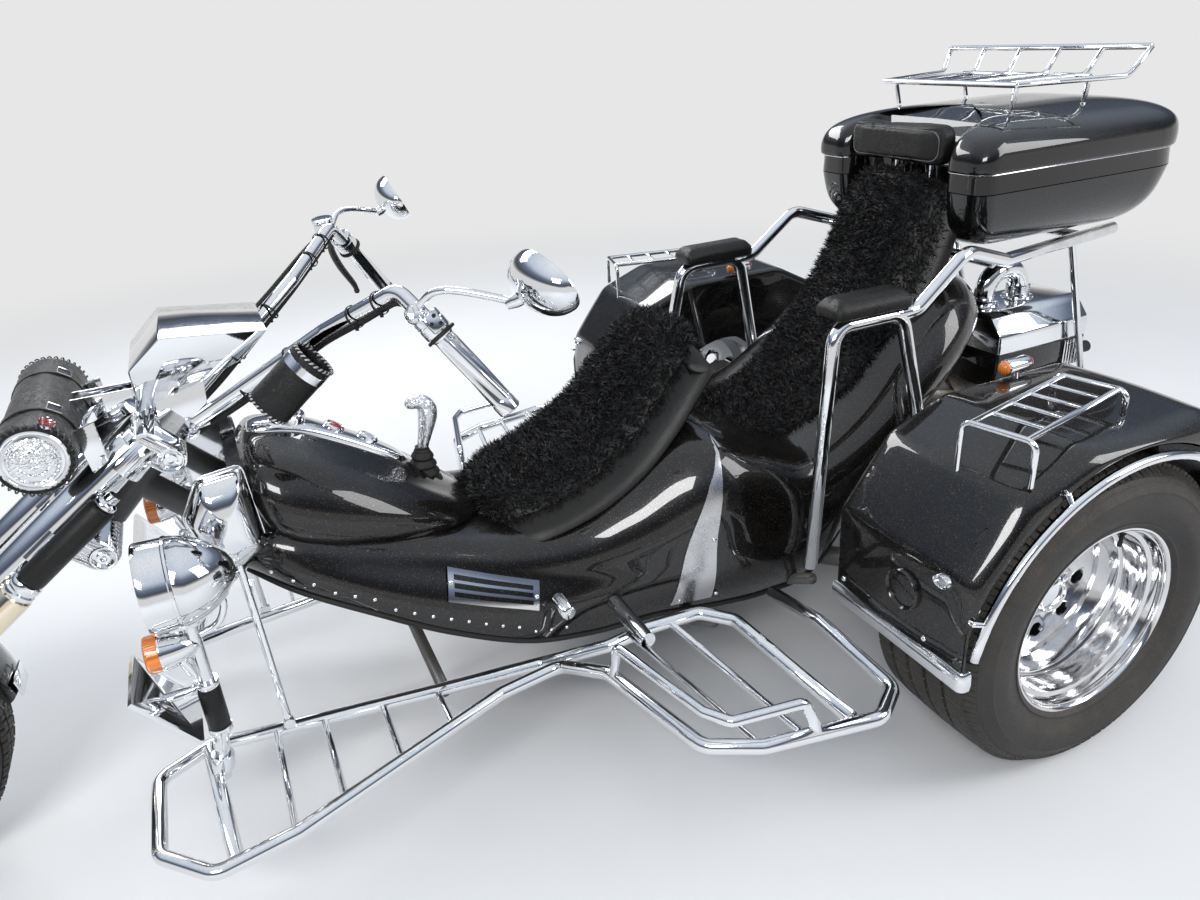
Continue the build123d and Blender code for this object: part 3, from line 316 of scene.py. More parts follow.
def rounded(corners, steps=6):
    """Round the corners of a closed flat outline: (first, second, radius) rows in, a list of points out."""
    points = []
    count = len(corners)
    for at, (u, v, radius) in enumerate(corners):
        here = Vector((u, v))
        back = (Vector(corners[at - 1][:2]) - here).normalized()
        on = (Vector(corners[(at + 1) % count][:2]) - here).normalized()
        half = back.angle(on) / 2
        cut = radius / math.tan(half)
        start, end = here + back * cut, here + on * cut
        for step in range(steps + 1):
            t = step / steps
            points.append(start.lerp(here, t).lerp(here.lerp(end, t), t) if radius else here)
    return points


def rounded_box(low, high, corner, steps):
    """Give the rounded outline of a rectangle between two of its corners."""
    (left, bottom), (right, top) = low, high
    return rounded(
        [(left, bottom, corner), (right, bottom, corner), (right, top, corner), (left, top, corner)], steps
    )


def tube(name, points, radius, steps=12, sides=20):
    """Make a round tube whose middle line runs smoothly through the points."""
    line = [Vector(p) for p in flow([tuple(p) for p in points], steps)]
    return pipe(name, line, [radius] * len(line), sides)


def pipe(name, line, radii, sides=20, ends=True):
    """Make a round pipe along a fine line, with its own radius at each point."""
    rings = []
    up = None
    for at, here in enumerate(line):
        along = (line[min(at + 1, len(line) - 1)] - line[max(at - 1, 0)]).normalized()
        if up is None:
            up = along.orthogonal().normalized()
        up = (up - along * up.dot(along)).normalized()
        other = along.cross(up)
        rings.append([here + (up * math.cos(t) + other * math.sin(t)) * radii[at] for t in circle(sides)])
    return skin(name, rings, closed=True, caps=ends)


def join(name, pieces):
    """Join finished plain meshes into one object."""
    merged = bmesh.new()
    for piece in pieces:
        merged.from_mesh(piece.data)
    mesh = bpy.data.meshes.new(name)
    merged.to_mesh(mesh)
    merged.free()
    for piece in pieces:
        bpy.data.objects.remove(piece)
    made = bpy.data.objects.new(name, mesh)
    scene.collection.objects.link(made)
    return made


# %% [markdown]
# Geometry Nodes make what repeats: blades of fleece, tread blocks, studs, stitches and screws. Each tree is built
# from its own nodes here, has named inputs, and ends in Realize Instances and Set Material, so that the result
# is a plain mesh. A tree works on a host object. Afterwards the host and the little pattern piece are deleted.

# %% Helpers that build node trees


def geometry_tree(name, inputs):
    """Start a Geometry Nodes tree with named inputs, and give the tree and its input node."""
    tree = bpy.data.node_groups.new(name, "GeometryNodeTree")
    tree.interface.new_socket("Geometry", in_out="INPUT", socket_type="NodeSocketGeometry")
    for label, kind in inputs:
        tree.interface.new_socket(label, in_out="INPUT", socket_type="NodeSocket" + kind)
    tree.interface.new_socket("Geometry", in_out="OUTPUT", socket_type="NodeSocketGeometry")
    return tree, tree.nodes.new("NodeGroupInput")


def close_tree(tree, given, geometry):
    """End a tree in Realize Instances and Set Material."""
    real = add_node(tree, "GeometryNodeRealizeInstances", {"Geometry": geometry})
    painted = add_node(
        tree, "GeometryNodeSetMaterial", {"Geometry": real.outputs[0], "Material": given.outputs["Finish"]}
    )
    end = tree.nodes.new("NodeGroupOutput")
    tree.links.new(painted.outputs[0], end.inputs[0])
    return tree


def grow(name, host, tree, values):
    """Run a tree on a host object and keep the result as a plain mesh object."""
    modifier = host.modifiers.new("grow", "NODES")
    modifier.node_group = tree
    for label, value in values.items():
        modifier[tree.interface.items_tree[label].identifier] = value
    host.update_tag()
    bpy.context.view_layer.update()
    mesh = bpy.data.meshes.new_from_object(host.evaluated_get(bpy.context.evaluated_depsgraph_get()))
    bpy.data.objects.remove(host)
    for pattern in (v for v in values.values() if isinstance(v, bpy.types.Object)):
        bpy.data.objects.remove(pattern)
    mesh.name = name
    made = bpy.data.objects.new(name, mesh)
    scene.collection.objects.link(made)
    print(name, "has", len(mesh.polygons), "faces")
    return made


# %% [markdown]
# Screws, studs and stitches all ask for the same thing: put this small piece at these points, turned this way.
# The host is a cloud of points, and each point carries two directions: "along" for the piece's first axis and
# "out" for its third. The tree reads both and turns each copy to them.

# %% The tree that sets small pieces on points
setting_tree, given = geometry_tree(
    "set_on_points", [("Pattern", "Object"), ("Size", "Float"), ("Finish", "Material")]
)
along = add_node(setting_tree, "GeometryNodeInputNamedAttribute", {"Name": "along"}, data_type="FLOAT_VECTOR")
out = add_node(setting_tree, "GeometryNodeInputNamedAttribute", {"Name": "out"}, data_type="FLOAT_VECTOR")
first = add_node(setting_tree, "FunctionNodeAlignRotationToVector", {"Vector": along.outputs[0]}, axis="X")
turned = add_node(
    setting_tree, "FunctionNodeAlignRotationToVector",
    {"Rotation": first.outputs[0], "Vector": out.outputs[0]}, axis="Z", pivot_axis="X",
)
pattern_piece = add_node(setting_tree, "GeometryNodeObjectInfo", {"Object": given.outputs["Pattern"]})
placed = add_node(setting_tree, "GeometryNodeInstanceOnPoints", {
    "Points": given.outputs["Geometry"], "Instance": pattern_piece.outputs["Geometry"],
    "Rotation": turned.outputs[0], "Scale": given.outputs["Size"],
})
close_tree(setting_tree, given, placed.outputs[0])


def set_on_points(name, pattern, rows, finish, size=1.0):
    """Set a copy of the pattern at each (place, along, out) row."""
    host = bpy.data.meshes.new(name + "_host")
    host.from_pydata([tuple(place) for place, _, _ in rows], [], [])
    for label, column in (("along", 1), ("out", 2)):
        values = host.attributes.new(label, "FLOAT_VECTOR", "POINT")
        values.data.foreach_set("vector", [v for row in rows for v in row[column]])
    host_object = bpy.data.objects.new(name + "_host", host)
    scene.collection.objects.link(host_object)
    return grow(name, host_object, setting_tree, {"Pattern": pattern, "Size": size, "Finish": finish})


# %% [markdown]
# The floor is one large pale sheet. It isn't part of the trike.

# %% The floor
floor_reach = 14
floor = mesh_from("floor", [
    (-floor_reach, -floor_reach, 0), (floor_reach, -floor_reach, 0), (floor_reach, floor_reach, 0),
    (-floor_reach, floor_reach, 0),
], [(0, 1, 2, 3)])

# %% [markdown]
# Real surfaces are never one flat value. Three effects are shared by many finishes here, so each is built once
# as a shader node group: a film of dust that settles on what faces up, fine wear that breaks up the gloss,
# and a grain of small cells for leather and vinyl. A group puts out only masks and normals.

# %% Shader node groups


def shader_group(name, inputs, outputs):
    """Start a shader node group with named inputs and outputs."""
    tree = bpy.data.node_groups.new(name, "ShaderNodeTree")
    for label, value in inputs:
        socket = tree.interface.new_socket(label, in_out="INPUT", socket_type="NodeSocketFloat")
        socket.default_value = value
    for label, kind in outputs:
        tree.interface.new_socket(label, in_out="OUTPUT", socket_type="NodeSocket" + kind)
    return tree, tree.nodes.new("NodeGroupInput"), tree.nodes.new("NodeGroupOutput")


def texture(tree, kind, settings=None, **inputs):
    """Add a texture that is fixed to the piece, with its own settings and inputs."""
    place = add_node(tree, "ShaderNodeTexCoord")
    return add_node(tree, "ShaderNodeTex" + kind, {"Vector": place.outputs["Object"], **inputs}, **(settings or {}))


dust_film, inside, outside = shader_group("dust_film", [("Scale", 14.0), ("Amount", 0.5)], [("Mask", "Float")])
facing = add_node(dust_film, "ShaderNodeNewGeometry")
upward = add_node(dust_film, "ShaderNodeSeparateXYZ", {0: facing.outputs["Normal"]})
cloud = texture(dust_film, "Noise", Scale=inside.outputs["Scale"], Detail=6.0, Roughness=0.65)
speck = texture(dust_film, "Noise", Scale=420.0, Detail=2.0)
level = add_node(dust_film, "ShaderNodeMapRange", {"Value": upward.outputs["Z"], "From Min": -0.2, "From Max": 1.0})
patches = math_node(dust_film, "MULTIPLY", cloud.outputs[0], speck.outputs[0])
spread = add_node(dust_film, "ShaderNodeMapRange", {"Value": patches, "From Min": 0.12, "From Max": 0.42})
film = math_node(dust_film, "MULTIPLY", level.outputs[0], spread.outputs[0])
dust_film.links.new(
    math_node(dust_film, "MULTIPLY", film, inside.outputs["Amount"], clamp=True), outside.inputs["Mask"]
)

fine_wear, inside, outside = shader_group(
    "fine_wear", [("Scale", 30.0), ("Low", 0.03), ("High", 0.12)], [("Roughness", "Float"), ("Height", "Float")]
)
broad = texture(fine_wear, "Noise", Scale=inside.outputs["Scale"], Detail=7.0, Roughness=0.7)
swirl = texture(fine_wear, "Noise", Scale=260.0, Detail=3.0, Distortion=1.5)
blend = math_node(fine_wear, "MULTIPLY", broad.outputs[0], swirl.outputs[0])
worn = add_node(fine_wear, "ShaderNodeMapRange", {
    "Value": blend, "From Min": 0.15, "From Max": 0.40,
    "To Min": inside.outputs["Low"], "To Max": inside.outputs["High"],
})
fine_wear.links.new(worn.outputs[0], outside.inputs["Roughness"])
fine_wear.links.new(broad.outputs[0], outside.inputs["Height"])

cell_grain, inside, outside = shader_group(
    "cell_grain", [("Scale", 500.0), ("Depth", 0.4)], [("Normal", "Vector"), ("Mask", "Float")]
)
cells = texture(cell_grain, "Voronoi", {"feature": "DISTANCE_TO_EDGE"}, Scale=inside.outputs["Scale"])
folds = texture(cell_grain, "Noise", Scale=60.0, Detail=5.0)
ridge = add_node(cell_grain, "ShaderNodeMapRange", {"Value": cells.outputs[0], "From Min": 0.0, "From Max": 0.18})
relief = math_node(
    cell_grain, "ADD", math_node(cell_grain, "MULTIPLY", ridge.outputs[0], 0.5),
    math_node(cell_grain, "MULTIPLY", folds.outputs[0], 0.9),
)
grain_bump = add_node(
    cell_grain, "ShaderNodeBump", {"Height": relief, "Strength": inside.outputs["Depth"], "Distance": 0.0008}
)
cell_grain.links.new(grain_bump.outputs[0], outside.inputs["Normal"])
cell_grain.links.new(ridge.outputs[0], outside.inputs["Mask"])
print("groups:", [group.name for group in bpy.data.node_groups])

# %% [markdown]
# A real finish is a base colour under wear and dust, never one value. Each material here starts as one shader with
# its plain values. Small helpers mix its colours by the groups' masks and link them to its sockets, so every finish
# below takes only a few lines, and all of them age in the same way.

# %% Helpers that make materials


def new_material(name, **sockets):
    """Make a material and set its shader's own sockets, written with underscores for spaces."""
    made = bpy.data.materials.new(name)
    made.use_nodes = True
    shader = made.node_tree.nodes["Principled BSDF"]
    for socket, value in sockets.items():
        shader.inputs[socket.replace("_", " ")].default_value = value
    return made, made.node_tree, shader


def shade(level, warm=0.0):
    """Give a grey of one level, a little warmer or cooler."""
    return (level * (1 + warm), level, level * (1 - warm), 1)


def use_group(tree, group, **values):
    """Place a node group in a material with its own values."""
    made = tree.nodes.new("ShaderNodeGroup")
    made.node_tree = group
    for label, value in values.items():
        made.inputs[label].default_value = value
    return made


def mix_colour(tree, mask, under, over):
    """Mix two colours or colour sockets by a mask."""
    made = tree.nodes.new("ShaderNodeMix")
    made.data_type = "RGBA"
    for socket, value in ((made.inputs[6], under), (made.inputs[7], over)):
        if isinstance(value, bpy.types.NodeSocket):
            tree.links.new(value, socket)
        else:
            socket.default_value = value
    tree.links.new(mask, made.inputs[0])
    return made.outputs[2]


def wire(tree, shader, **sources):
    """Link sources to the shader's own sockets, written with underscores for spaces."""
    for socket, source in sources.items():
        tree.links.new(source, shader.inputs[socket.replace("_", " ")])


def ripple(tree, shader, scale, strength, distance=0.001):
    """Give a surface the faint waviness of paint or plating."""
    waves = texture(tree, "Noise", Scale=scale, Detail=2.0)
    bump = add_node(tree, "ShaderNodeBump", {"Height": waves.outputs[0], "Strength": strength, "Distance": distance})
    wire(tree, shader, Normal=bump.outputs[0])


# %% [markdown]
# The lacquer is black with a fine bronze flake that sparkles in the sun, under a clear coat. Tiny random cells pick
# the flakes: most cells stay black, and a few are bronze and metallic. The clear coat on top stays smooth, so the
# flake lies under the gloss as in the real paint. The top case has plain black lacquer.

# %% Lacquers


def lacquer(name, flake_share, dust):
    """Make a black lacquer with a share of its cells as bronze flake."""
    made, tree, shader = new_material(
        name, Coat_Weight=1.0, Coat_Roughness=0.012, Coat_IOR=1.5, Specular_IOR_Level=0.12
    )
    flakes = texture(tree, "Voronoi", Scale=1100.0)
    pick = add_node(tree, "ShaderNodeSeparateColor", {0: flakes.outputs["Color"]})
    chosen = math_node(tree, "LESS_THAN", pick.outputs[0], flake_share)
    glint = add_node(tree, "ShaderNodeMapRange", {"Value": pick.outputs[1], "To Min": 0.1, "To Max": 0.9})
    flake = math_node(tree, "MULTIPLY", chosen, glint.outputs[0])
    film = use_group(tree, dust_film, Scale=9.0, Amount=dust)
    wear = use_group(tree, fine_wear, Scale=12.0, Low=0.22, High=0.42)
    base = mix_colour(tree, flake, shade(0.0028), (0.22, 0.15, 0.09, 1))
    colour = mix_colour(tree, film.outputs["Mask"], base, (0.16, 0.14, 0.12, 1))
    shine = math_node(tree, "MULTIPLY", flake, 0.9)
    wire(tree, shader, Base_Color=colour, Metallic=shine, Roughness=wear.outputs["Roughness"])
    ripple(tree, shader, 7.0, 0.05, 0.003)
    return made


black_paint = lacquer("black_paint", 0.04, 0.030)
case_paint = lacquer("case_paint", 0.0, 0.020)

# %% [markdown]
# Plating reflects almost all light with hardly any blur. What tells it from a mirror is a faint waviness from the
# tube under it, a few dull patches, and dust. The wheels carry a brown film of brake dust as well, and the fork's
# dampers have a warm golden tint. Cast plating is the same chrome with hammered cells as a bump.

# %% Plating


def plating(name, colour, low, high, dust, dust_colour=(0.20, 0.17, 0.13, 1), waves=0.10):
    """Make a polished plating with its roughness range and its dust."""
    made, tree, shader = new_material(name, Metallic=1.0)
    wear = use_group(tree, fine_wear, Scale=18.0, Low=low, High=high)
    film = use_group(tree, dust_film, Scale=22.0, Amount=dust)
    rough = math_node(tree, "ADD", wear.outputs["Roughness"], math_node(tree, "MULTIPLY", film.outputs["Mask"], 0.25))
    wire(tree, shader, Base_Color=mix_colour(tree, film.outputs["Mask"], colour, dust_colour), Roughness=rough)
    ripple(tree, shader, 16.0, waves, 0.0015)
    return made


chrome = plating("chrome", (0.82, 0.83, 0.85, 1), 0.02, 0.09, 0.22)
chrome_trim = plating("chrome_trim", (0.80, 0.81, 0.83, 1), 0.03, 0.12, 0.18)
wheel_chrome = plating("wheel_chrome", (0.78, 0.78, 0.79, 1), 0.03, 0.14, 0.40, (0.12, 0.08, 0.05, 1))
tinted_chrome = plating("tinted_chrome", (0.86, 0.76, 0.58, 1), 0.05, 0.14, 0.20)
brushed_metal = plating("brushed_metal", (0.58, 0.58, 0.59, 1), 0.18, 0.34, 0.30)
lamp_mirror = plating("lamp_mirror", (0.85, 0.86, 0.88, 1), 0.02, 0.06, 0.0, waves=0.0)
cast_chrome = chrome.copy()
cast_chrome.name = "cast_chrome"
tree = cast_chrome.node_tree
hammered = use_group(tree, cell_grain, Scale=210.0, Depth=0.9)
wire(tree, tree.nodes["Principled BSDF"], Normal=hammered.outputs["Normal"])

# %% [markdown]
# Below the lacquer the trike is plain metal: satin grey frame tubes with road dust, and a cast engine with an
# oily, sooty skin. Castings have a coarse bump and a patchy colour, which two scales of noise give.

# %% Frame paint and castings
grey_metal, tree, shader = new_material("grey_metal", Coat_Weight=0.25, Coat_Roughness=0.3)
film = use_group(tree, dust_film, Scale=16.0, Amount=0.35)
wear = use_group(tree, fine_wear, Scale=24.0, Low=0.32, High=0.62)
dusty = mix_colour(tree, film.outputs["Mask"], shade(0.055), (0.24, 0.20, 0.15, 1))
wire(tree, shader, Base_Color=dusty, Roughness=wear.outputs["Roughness"])
ripple(tree, shader, 420.0, 0.12)


def casting(name, colour, grime, low, high, metallic):
    """Make a cast metal with a patchy skin."""
    made, tree, shader = new_material(name, Metallic=metallic)
    wear = use_group(tree, fine_wear, Scale=20.0, Low=low, High=high)
    film = use_group(tree, dust_film, Scale=12.0, Amount=0.8)
    patchy = add_node(
        tree, "ShaderNodeMapRange", {"Value": wear.outputs["Height"], "From Min": 0.38, "From Max": 0.62}
    )
    base = mix_colour(tree, patchy.outputs[0], colour, grime)
    dusty = mix_colour(tree, film.outputs["Mask"], base, (0.22, 0.18, 0.13, 1))
    wire(tree, shader, Base_Color=dusty, Roughness=wear.outputs["Roughness"])
    ripple(tree, shader, 700.0, 0.35, 0.0006)
    return made


engine_metal = casting("engine_metal", shade(0.34), shade(0.10, 0.1), 0.40, 0.65, 0.75)
dark_casting = casting("dark_casting", shade(0.020), shade(0.035, 0.15), 0.35, 0.60, 0.0)

# %% [markdown]
# Soft finishes: black fleece, whose blades each have their own shade; soft leather with a creased grain; smooth vinyl
# on the armrests; and rubber. Grain is a bump that shows where light rakes over it, and its grooves are also painted
# darker as painted shade.

# %% Soft finishes


def hide(name, level, scale, depth, low, high):
    """Make a black leather or vinyl with a cell grain."""
    made, tree, shader = new_material(name, IOR=1.5, Specular_IOR_Level=0.30)
    grain = use_group(tree, cell_grain, Scale=scale, Depth=depth)
    wear = use_group(tree, fine_wear, Scale=9.0, Low=low, High=high)
    film = use_group(tree, dust_film, Scale=11.0, Amount=0.06)
    # Painted shade: the colour is halved in the grooves between the grain's cells, where the bump sinks.
    base = mix_colour(tree, grain.outputs["Mask"], shade(level * 0.5), shade(level, 0.05))
    dusty = mix_colour(tree, film.outputs["Mask"], base, (0.20, 0.18, 0.15, 1))
    wire(tree, shader, Base_Color=dusty, Roughness=wear.outputs["Roughness"], Normal=grain.outputs["Normal"])
    return made


leather = hide("leather", 0.007, 420.0, 0.65, 0.24, 0.44)
pad_vinyl = hide("pad_vinyl", 0.010, 800.0, 0.35, 0.24, 0.40)
seat_vinyl = hide("seat_vinyl", 0.008, 900.0, 0.20, 0.26, 0.44)
rubber = hide("rubber", 0.014, 1200.0, 0.25, 0.45, 0.70)

fleece, tree, shader = new_material(
    "fleece", Roughness=0.46, Specular_IOR_Level=0.30, Sheen_Weight=0.12, Sheen_Roughness=0.35,
    Sheen_Tint=(0.55, 0.6, 0.75, 1),
)
blade_tone = add_node(tree, "ShaderNodeAttribute", attribute_name="tone")
tone = add_node(tree, "ShaderNodeMapRange", {"Value": blade_tone.outputs["Fac"], "To Min": 0.0, "To Max": 1.0})
wire(tree, shader, Base_Color=mix_colour(tree, tone.outputs[0], shade(0.0025), shade(0.016, 0.10)))

stitch_thread, tree, shader = new_material("stitch_thread", Roughness=0.6, Sheen_Weight=0.2)
fibre = use_group(tree, fine_wear, Scale=300.0, Low=0.45, High=0.70)
colour = mix_colour(tree, fibre.outputs["Height"], shade(0.012), shade(0.05))
wire(tree, shader, Base_Color=colour, Roughness=fibre.outputs["Roughness"])

# %% [markdown]
# Tyre rubber is dark grey, never black, and its tread and shoulder hold pale road dust. The mask for the dust comes
# from the dust film and from noise, so it stays in broad patches with a speckle inside.

# %% Tyre rubber
tyre_rubber, tree, shader = new_material("tyre_rubber", IOR=1.45)
film = use_group(tree, dust_film, Scale=7.0, Amount=1.0)
wear = use_group(tree, fine_wear, Scale=15.0, Low=0.50, High=0.78)
scuff = add_node(
    tree, "ShaderNodeMapRange",
    {"Value": wear.outputs["Height"], "From Min": 0.35, "From Max": 0.68, "To Min": 0.0, "To Max": 0.35},
)
grubby = mix_colour(tree, scuff.outputs[0], shade(0.014), (0.075, 0.062, 0.050, 1))
dusty = mix_colour(tree, film.outputs["Mask"], grubby, (0.13, 0.11, 0.09, 1))
wire(tree, shader, Base_Color=dusty, Roughness=wear.outputs["Roughness"])
ripple(tree, shader, 900.0, 0.25, 0.0005)

# %% [markdown]
# Lenses are coloured clear plastic with moulded ribs. They stay opaque: a deep colour under a clear gloss reads as a
# lens and needs no glass shader. The ribs are bands of bump along one direction, with painted shade in their grooves.

# %% Lenses and mirror glass


def lens(name, colour, direction, scale, depth):
    """Make a ribbed lens whose ribs run across a direction."""
    made, tree, shader = new_material(name, Roughness=0.18, Coat_Weight=1.0, Coat_Roughness=0.02)
    ribs = texture(tree, "Wave", {"bands_direction": direction}, Scale=scale)
    # Painted shade: the colour drops to 55% in the grooves between the ribs, where the bump sinks.
    groove_shaded_colour = mix_colour(tree, ribs.outputs["Fac"], [c * 0.55 for c in colour[:3]] + [1], colour)
    bump = add_node(tree, "ShaderNodeBump", {"Height": ribs.outputs["Fac"], "Strength": depth, "Distance": 0.001})
    wire(tree, shader, Base_Color=groove_shaded_colour, Normal=bump.outputs[0])
    return made


amber_lens = lens("amber_lens", (0.85, 0.22, 0.01, 1), "Y", 90.0, 0.5)
red_lens = lens("red_lens", (0.42, 0.008, 0.006, 1), "Z", 90.0, 0.5)
clear_lens = lens("clear_lens", (0.62, 0.66, 0.70, 1), "Y", 60.0, 0.6)
finish_of_slot = {
    "black_paint": black_paint, "case_paint": case_paint, "chrome": chrome, "chrome_trim": chrome_trim,
    "grey_metal": grey_metal, "engine_metal": engine_metal, "fleece": fleece, "leather": leather,
    "pad_vinyl": pad_vinyl, "rubber": rubber, "tyre": tyre_rubber, "wheel_chrome": wheel_chrome,
    "lamp_chrome": chrome, "red_lens": red_lens,
}
for name, node in nodes.items():
    node.data.materials.clear()
    node.data.materials.append(finish_of_slot[slot_of[name]])
print("materials:", len(bpy.data.materials))

# %% [markdown]
# A solid model's mesh is loose triangles, so its round bars would show facets. A copy with its doubles merged can
# be shaded smoothly, with its real edges kept sharp, and it then stands for the node.

# %% Smooth copies of the rigid nodes


def smooth_copy(node):
    """Copy a node's mesh, merge its points, shade it smoothly and let it stand for the node."""
    mesh = nodes[node].data.copy()
    shape = bmesh.new()
    shape.from_mesh(mesh)
    bmesh.ops.remove_doubles(shape, verts=shape.verts, dist=1e-5)
    shape.to_mesh(mesh)
    shape.free()
    made = bpy.data.objects.new(node + "_smooth", mesh)
    scene.collection.objects.link(made)
    smooth(made, 32)
    return dress(made, finish_of_slot[slot_of[node]], body_of[node], slot_of[node], node)


rigid_nodes = [
    "frame", "engine", "axle_arms", "exhaust", "fender_bars", "fender_racks", "armrest_tubes", "case_struts",
    "footboards", "pegs", "lamp_posts", "case_rack", "fork_clamps", "handlebar",
]
for node in rigid_nodes:
    smooth_copy(node)
print("smooth copies:", len(rigid_nodes))

# %% [markdown]
# The floor takes the trike's shadow near by. Far away it fades, for camera and mirror rays alone, into the same pale
# tone as the world's horizon, so no line shows where the sheet ends. Distance from the middle drives the fade.

# %% The floor's finish
floor_paint, tree, shader = new_material("floor_paint", Roughness=0.8, Specular_IOR_Level=0.2)
mottle = use_group(tree, fine_wear, Scale=3.0, Low=0.70, High=0.90)
colour = mix_colour(tree, mottle.outputs["Height"], shade(0.74), shade(0.79))
wire(tree, shader, Base_Color=colour, Roughness=mottle.outputs["Roughness"])
far_tone = add_node(tree, "ShaderNodeEmission", {"Color": shade(0.80), "Strength": 1.0})
floor_place = add_node(tree, "ShaderNodeTexCoord")
distance = add_node(tree, "ShaderNodeVectorMath", {0: floor_place.outputs["Object"]}, operation="LENGTH")
fade = add_node(
    tree, "ShaderNodeMapRange", {"Value": distance.outputs["Value"], "From Min": 2.2, "From Max": 6.0},
    interpolation_type="SMOOTHSTEP",
)
faded = math_node(tree, "MULTIPLY", fade.outputs[0], straight_rays(tree))
blend = add_node(tree, "ShaderNodeMixShader", {0: faded, 1: shader.outputs[0], 2: far_tone.outputs[0]})
tree.links.new(blend.outputs[0], tree.nodes["Material Output"].inputs["Surface"])
floor.data.materials.append(floor_paint)


# %% [markdown]
# The body is one long lacquered shell that runs from under the tank to the round tail, and the tank is a smaller
# shell of the same kind. Both follow a rule: a handful of cross-sections, each given by the widths and heights of
# its lower edge, its widest line and its top. The rows between them are worked out with a smooth curve, so
# a reflection runs along the side without a kink.

# %% Shells from cross-sections


def arc_points(start, end, swell, count):
    """Give points on an arc from start to end that swells to the right of its chord, without the last point."""
    run, rise = end[0] - start[0], end[1] - start[1]
    middle = Vector(((start[0] + end[0]) / 2 + rise * swell, (start[1] + end[1]) / 2 - run * swell))
    pull = middle * 2 - (Vector(start) + Vector(end)) / 2
    return [
        Vector(start).lerp(pull, t).lerp(pull.lerp(Vector(end), t), t) for t in (at / count for at in range(count))
    ]


def shell_ring(x, low_w, low_z, mid_w, mid_z, top_w, top_z, crown):
    """Give one ring of a shell, in metres, from its row in millimetres."""
    low, mid, top = Vector((low_w, low_z)), Vector((mid_w, mid_z)), Vector((top_w, top_z))
    right = arc_points(low, mid, 0.12, 10) + arc_points(mid, top, 0.16, 12)
    roof = [Vector((top_w * (1 - 2 * t), top_z + crown * 4 * t * (1 - t))) for t in (at / 12 for at in range(13))]
    upper = right + roof + [Vector((-p.x, p.y)) for p in reversed(right)]
    for _ in range(3):
        softened = [(before + here * 2 + after) / 4 for before, here, after in zip(upper, upper[1:], upper[2:])]
        upper = [upper[0]] + softened + [upper[-1]]
    floor_line = [
        Vector((-low_w * (1 - 2 * t), low_z - 6 * math.sin(math.pi * t))) for t in (at / 8 for at in range(1, 8))
    ]
    return [spot(x / 1000, p.x / 1000, p.y / 1000) for p in upper + floor_line]


def shell(name, table, steps=6):
    """Make a shell from its table of cross-sections."""
    return smooth(skin(name, [shell_ring(*row) for row in flow(table, steps)]), 40)


body_table = [
    # x ahead, low half width, low z, middle half width, middle z, top half width, top z, crown
    (1480, 120, 545, 150, 580, 110, 618, 4),
    (1400, 195, 508, 198, 575, 140, 630, 6),
    (1280, 244, 446, 220, 538, 152, 590, 8),
    (1140, 272, 366, 230, 488, 164, 545, 8),
    (980, 282, 290, 244, 425, 180, 496, 8),
    (830, 288, 262, 268, 395, 190, 500, 10),
    (690, 298, 262, 308, 400, 205, 566, 12),
    (540, 314, 248, 340, 430, 252, 640, 12),
    (400, 314, 236, 342, 440, 262, 590, 12),
    (260, 298, 246, 334, 455, 236, 540, 12),
    (100, 268, 400, 320, 525, 200, 612, 14),
    (-40, 226, 505, 300, 620, 172, 745, 18),
    (-180, 165, 575, 272, 708, 130, 850, 20),
    (-290, 95, 655, 205, 745, 92, 838, 16),
    (-345, 45, 700, 105, 758, 48, 805, 8),
]
body_skin = dress(shell("body_skin", body_table), black_paint, "chassis", "black_paint", "body_shell")

tank_table = [
    # x ahead, low half width, low z, middle half width, middle z, top half width, top z, crown
    (1445, 90, 650, 140, 705, 60, 752, 8),
    (1410, 160, 612, 186, 698, 95, 772, 14),
    (1330, 190, 585, 206, 665, 106, 752, 22),
    (1230, 188, 560, 198, 625, 100, 696, 22),
    (1140, 172, 540, 178, 582, 90, 634, 20),
    (1060, 138, 524, 140, 546, 70, 572, 12),
    (1010, 88, 512, 90, 524, 45, 536, 6),
]
tank_skin = dress(shell("tank_skin", tank_table, 8), black_paint, "chassis", "black_paint", "tank")
print("body and tank faces:", len(body_skin.data.polygons), len(tank_skin.data.polygons))

# %% [markdown]
# Trim has to lie on the shells. A ray fired from the side at a given place along and up finds the skin there, and the
# way it faces. The studs, the fins and the vents all use it.

# %% Finding the skin
bpy.context.view_layer.update()
body_tree = BVHTree.FromObject(body_skin, bpy.context.evaluated_depsgraph_get())
tank_tree = BVHTree.FromObject(tank_skin, bpy.context.evaluated_depsgraph_get())


def on_side(tree, x, z, side=1, lift=0.0):
    """Give the point of a skin at a place along and up, and the way that it faces there."""
    hit, facing, _, _ = tree.ray_cast(spot(x, side * 1.0, z), aside(-side))
    if hit is None:
        hit, facing, _, _ = tree.find_nearest(spot(x, side * 0.3, z))
    if facing.y * side < 0:
        facing = -facing
    return hit + facing * lift, facing


def on_top(tree, x, y, lift=0.0):
    """Give the point of a skin below a place, and the way that it faces there."""
    hit, facing, _, _ = tree.ray_cast(spot(x, y, 2.0), Vector((0, 0, -1)))
    return hit + facing * lift, facing


# %% [markdown]
# A rubber bead closes the body's lower edge, and a row of small chrome studs holds the skirt above it.

# %% Bead and studs
bead_radius = 0.0055
edge_line = flow([(x / 1000, low_w / 1000, low_z / 1000) for x, low_w, low_z, *_ in body_table[:11]], 5)
beads = []
for side in (1, -1):
    bead_line = [spot(x, side * (y + 0.001), z - 0.001) for x, y, z in edge_line]
    beads.append(tube("bead", bead_line, bead_radius, steps=2, sides=10))
dress(smooth(join("edge_bead", beads)), rubber, "chassis", "rubber")


def dome(name, radius, height, sides=10):
    """Make a small low dome that stands on its own origin."""
    profile = [(radius * math.cos(t), height * math.sin(t)) for t in quarter(4, 0)]
    return smooth(lathe(name, [(radius, -height)] + profile, (0, 0, 0), (0, 0, 1), count=sides), 60)


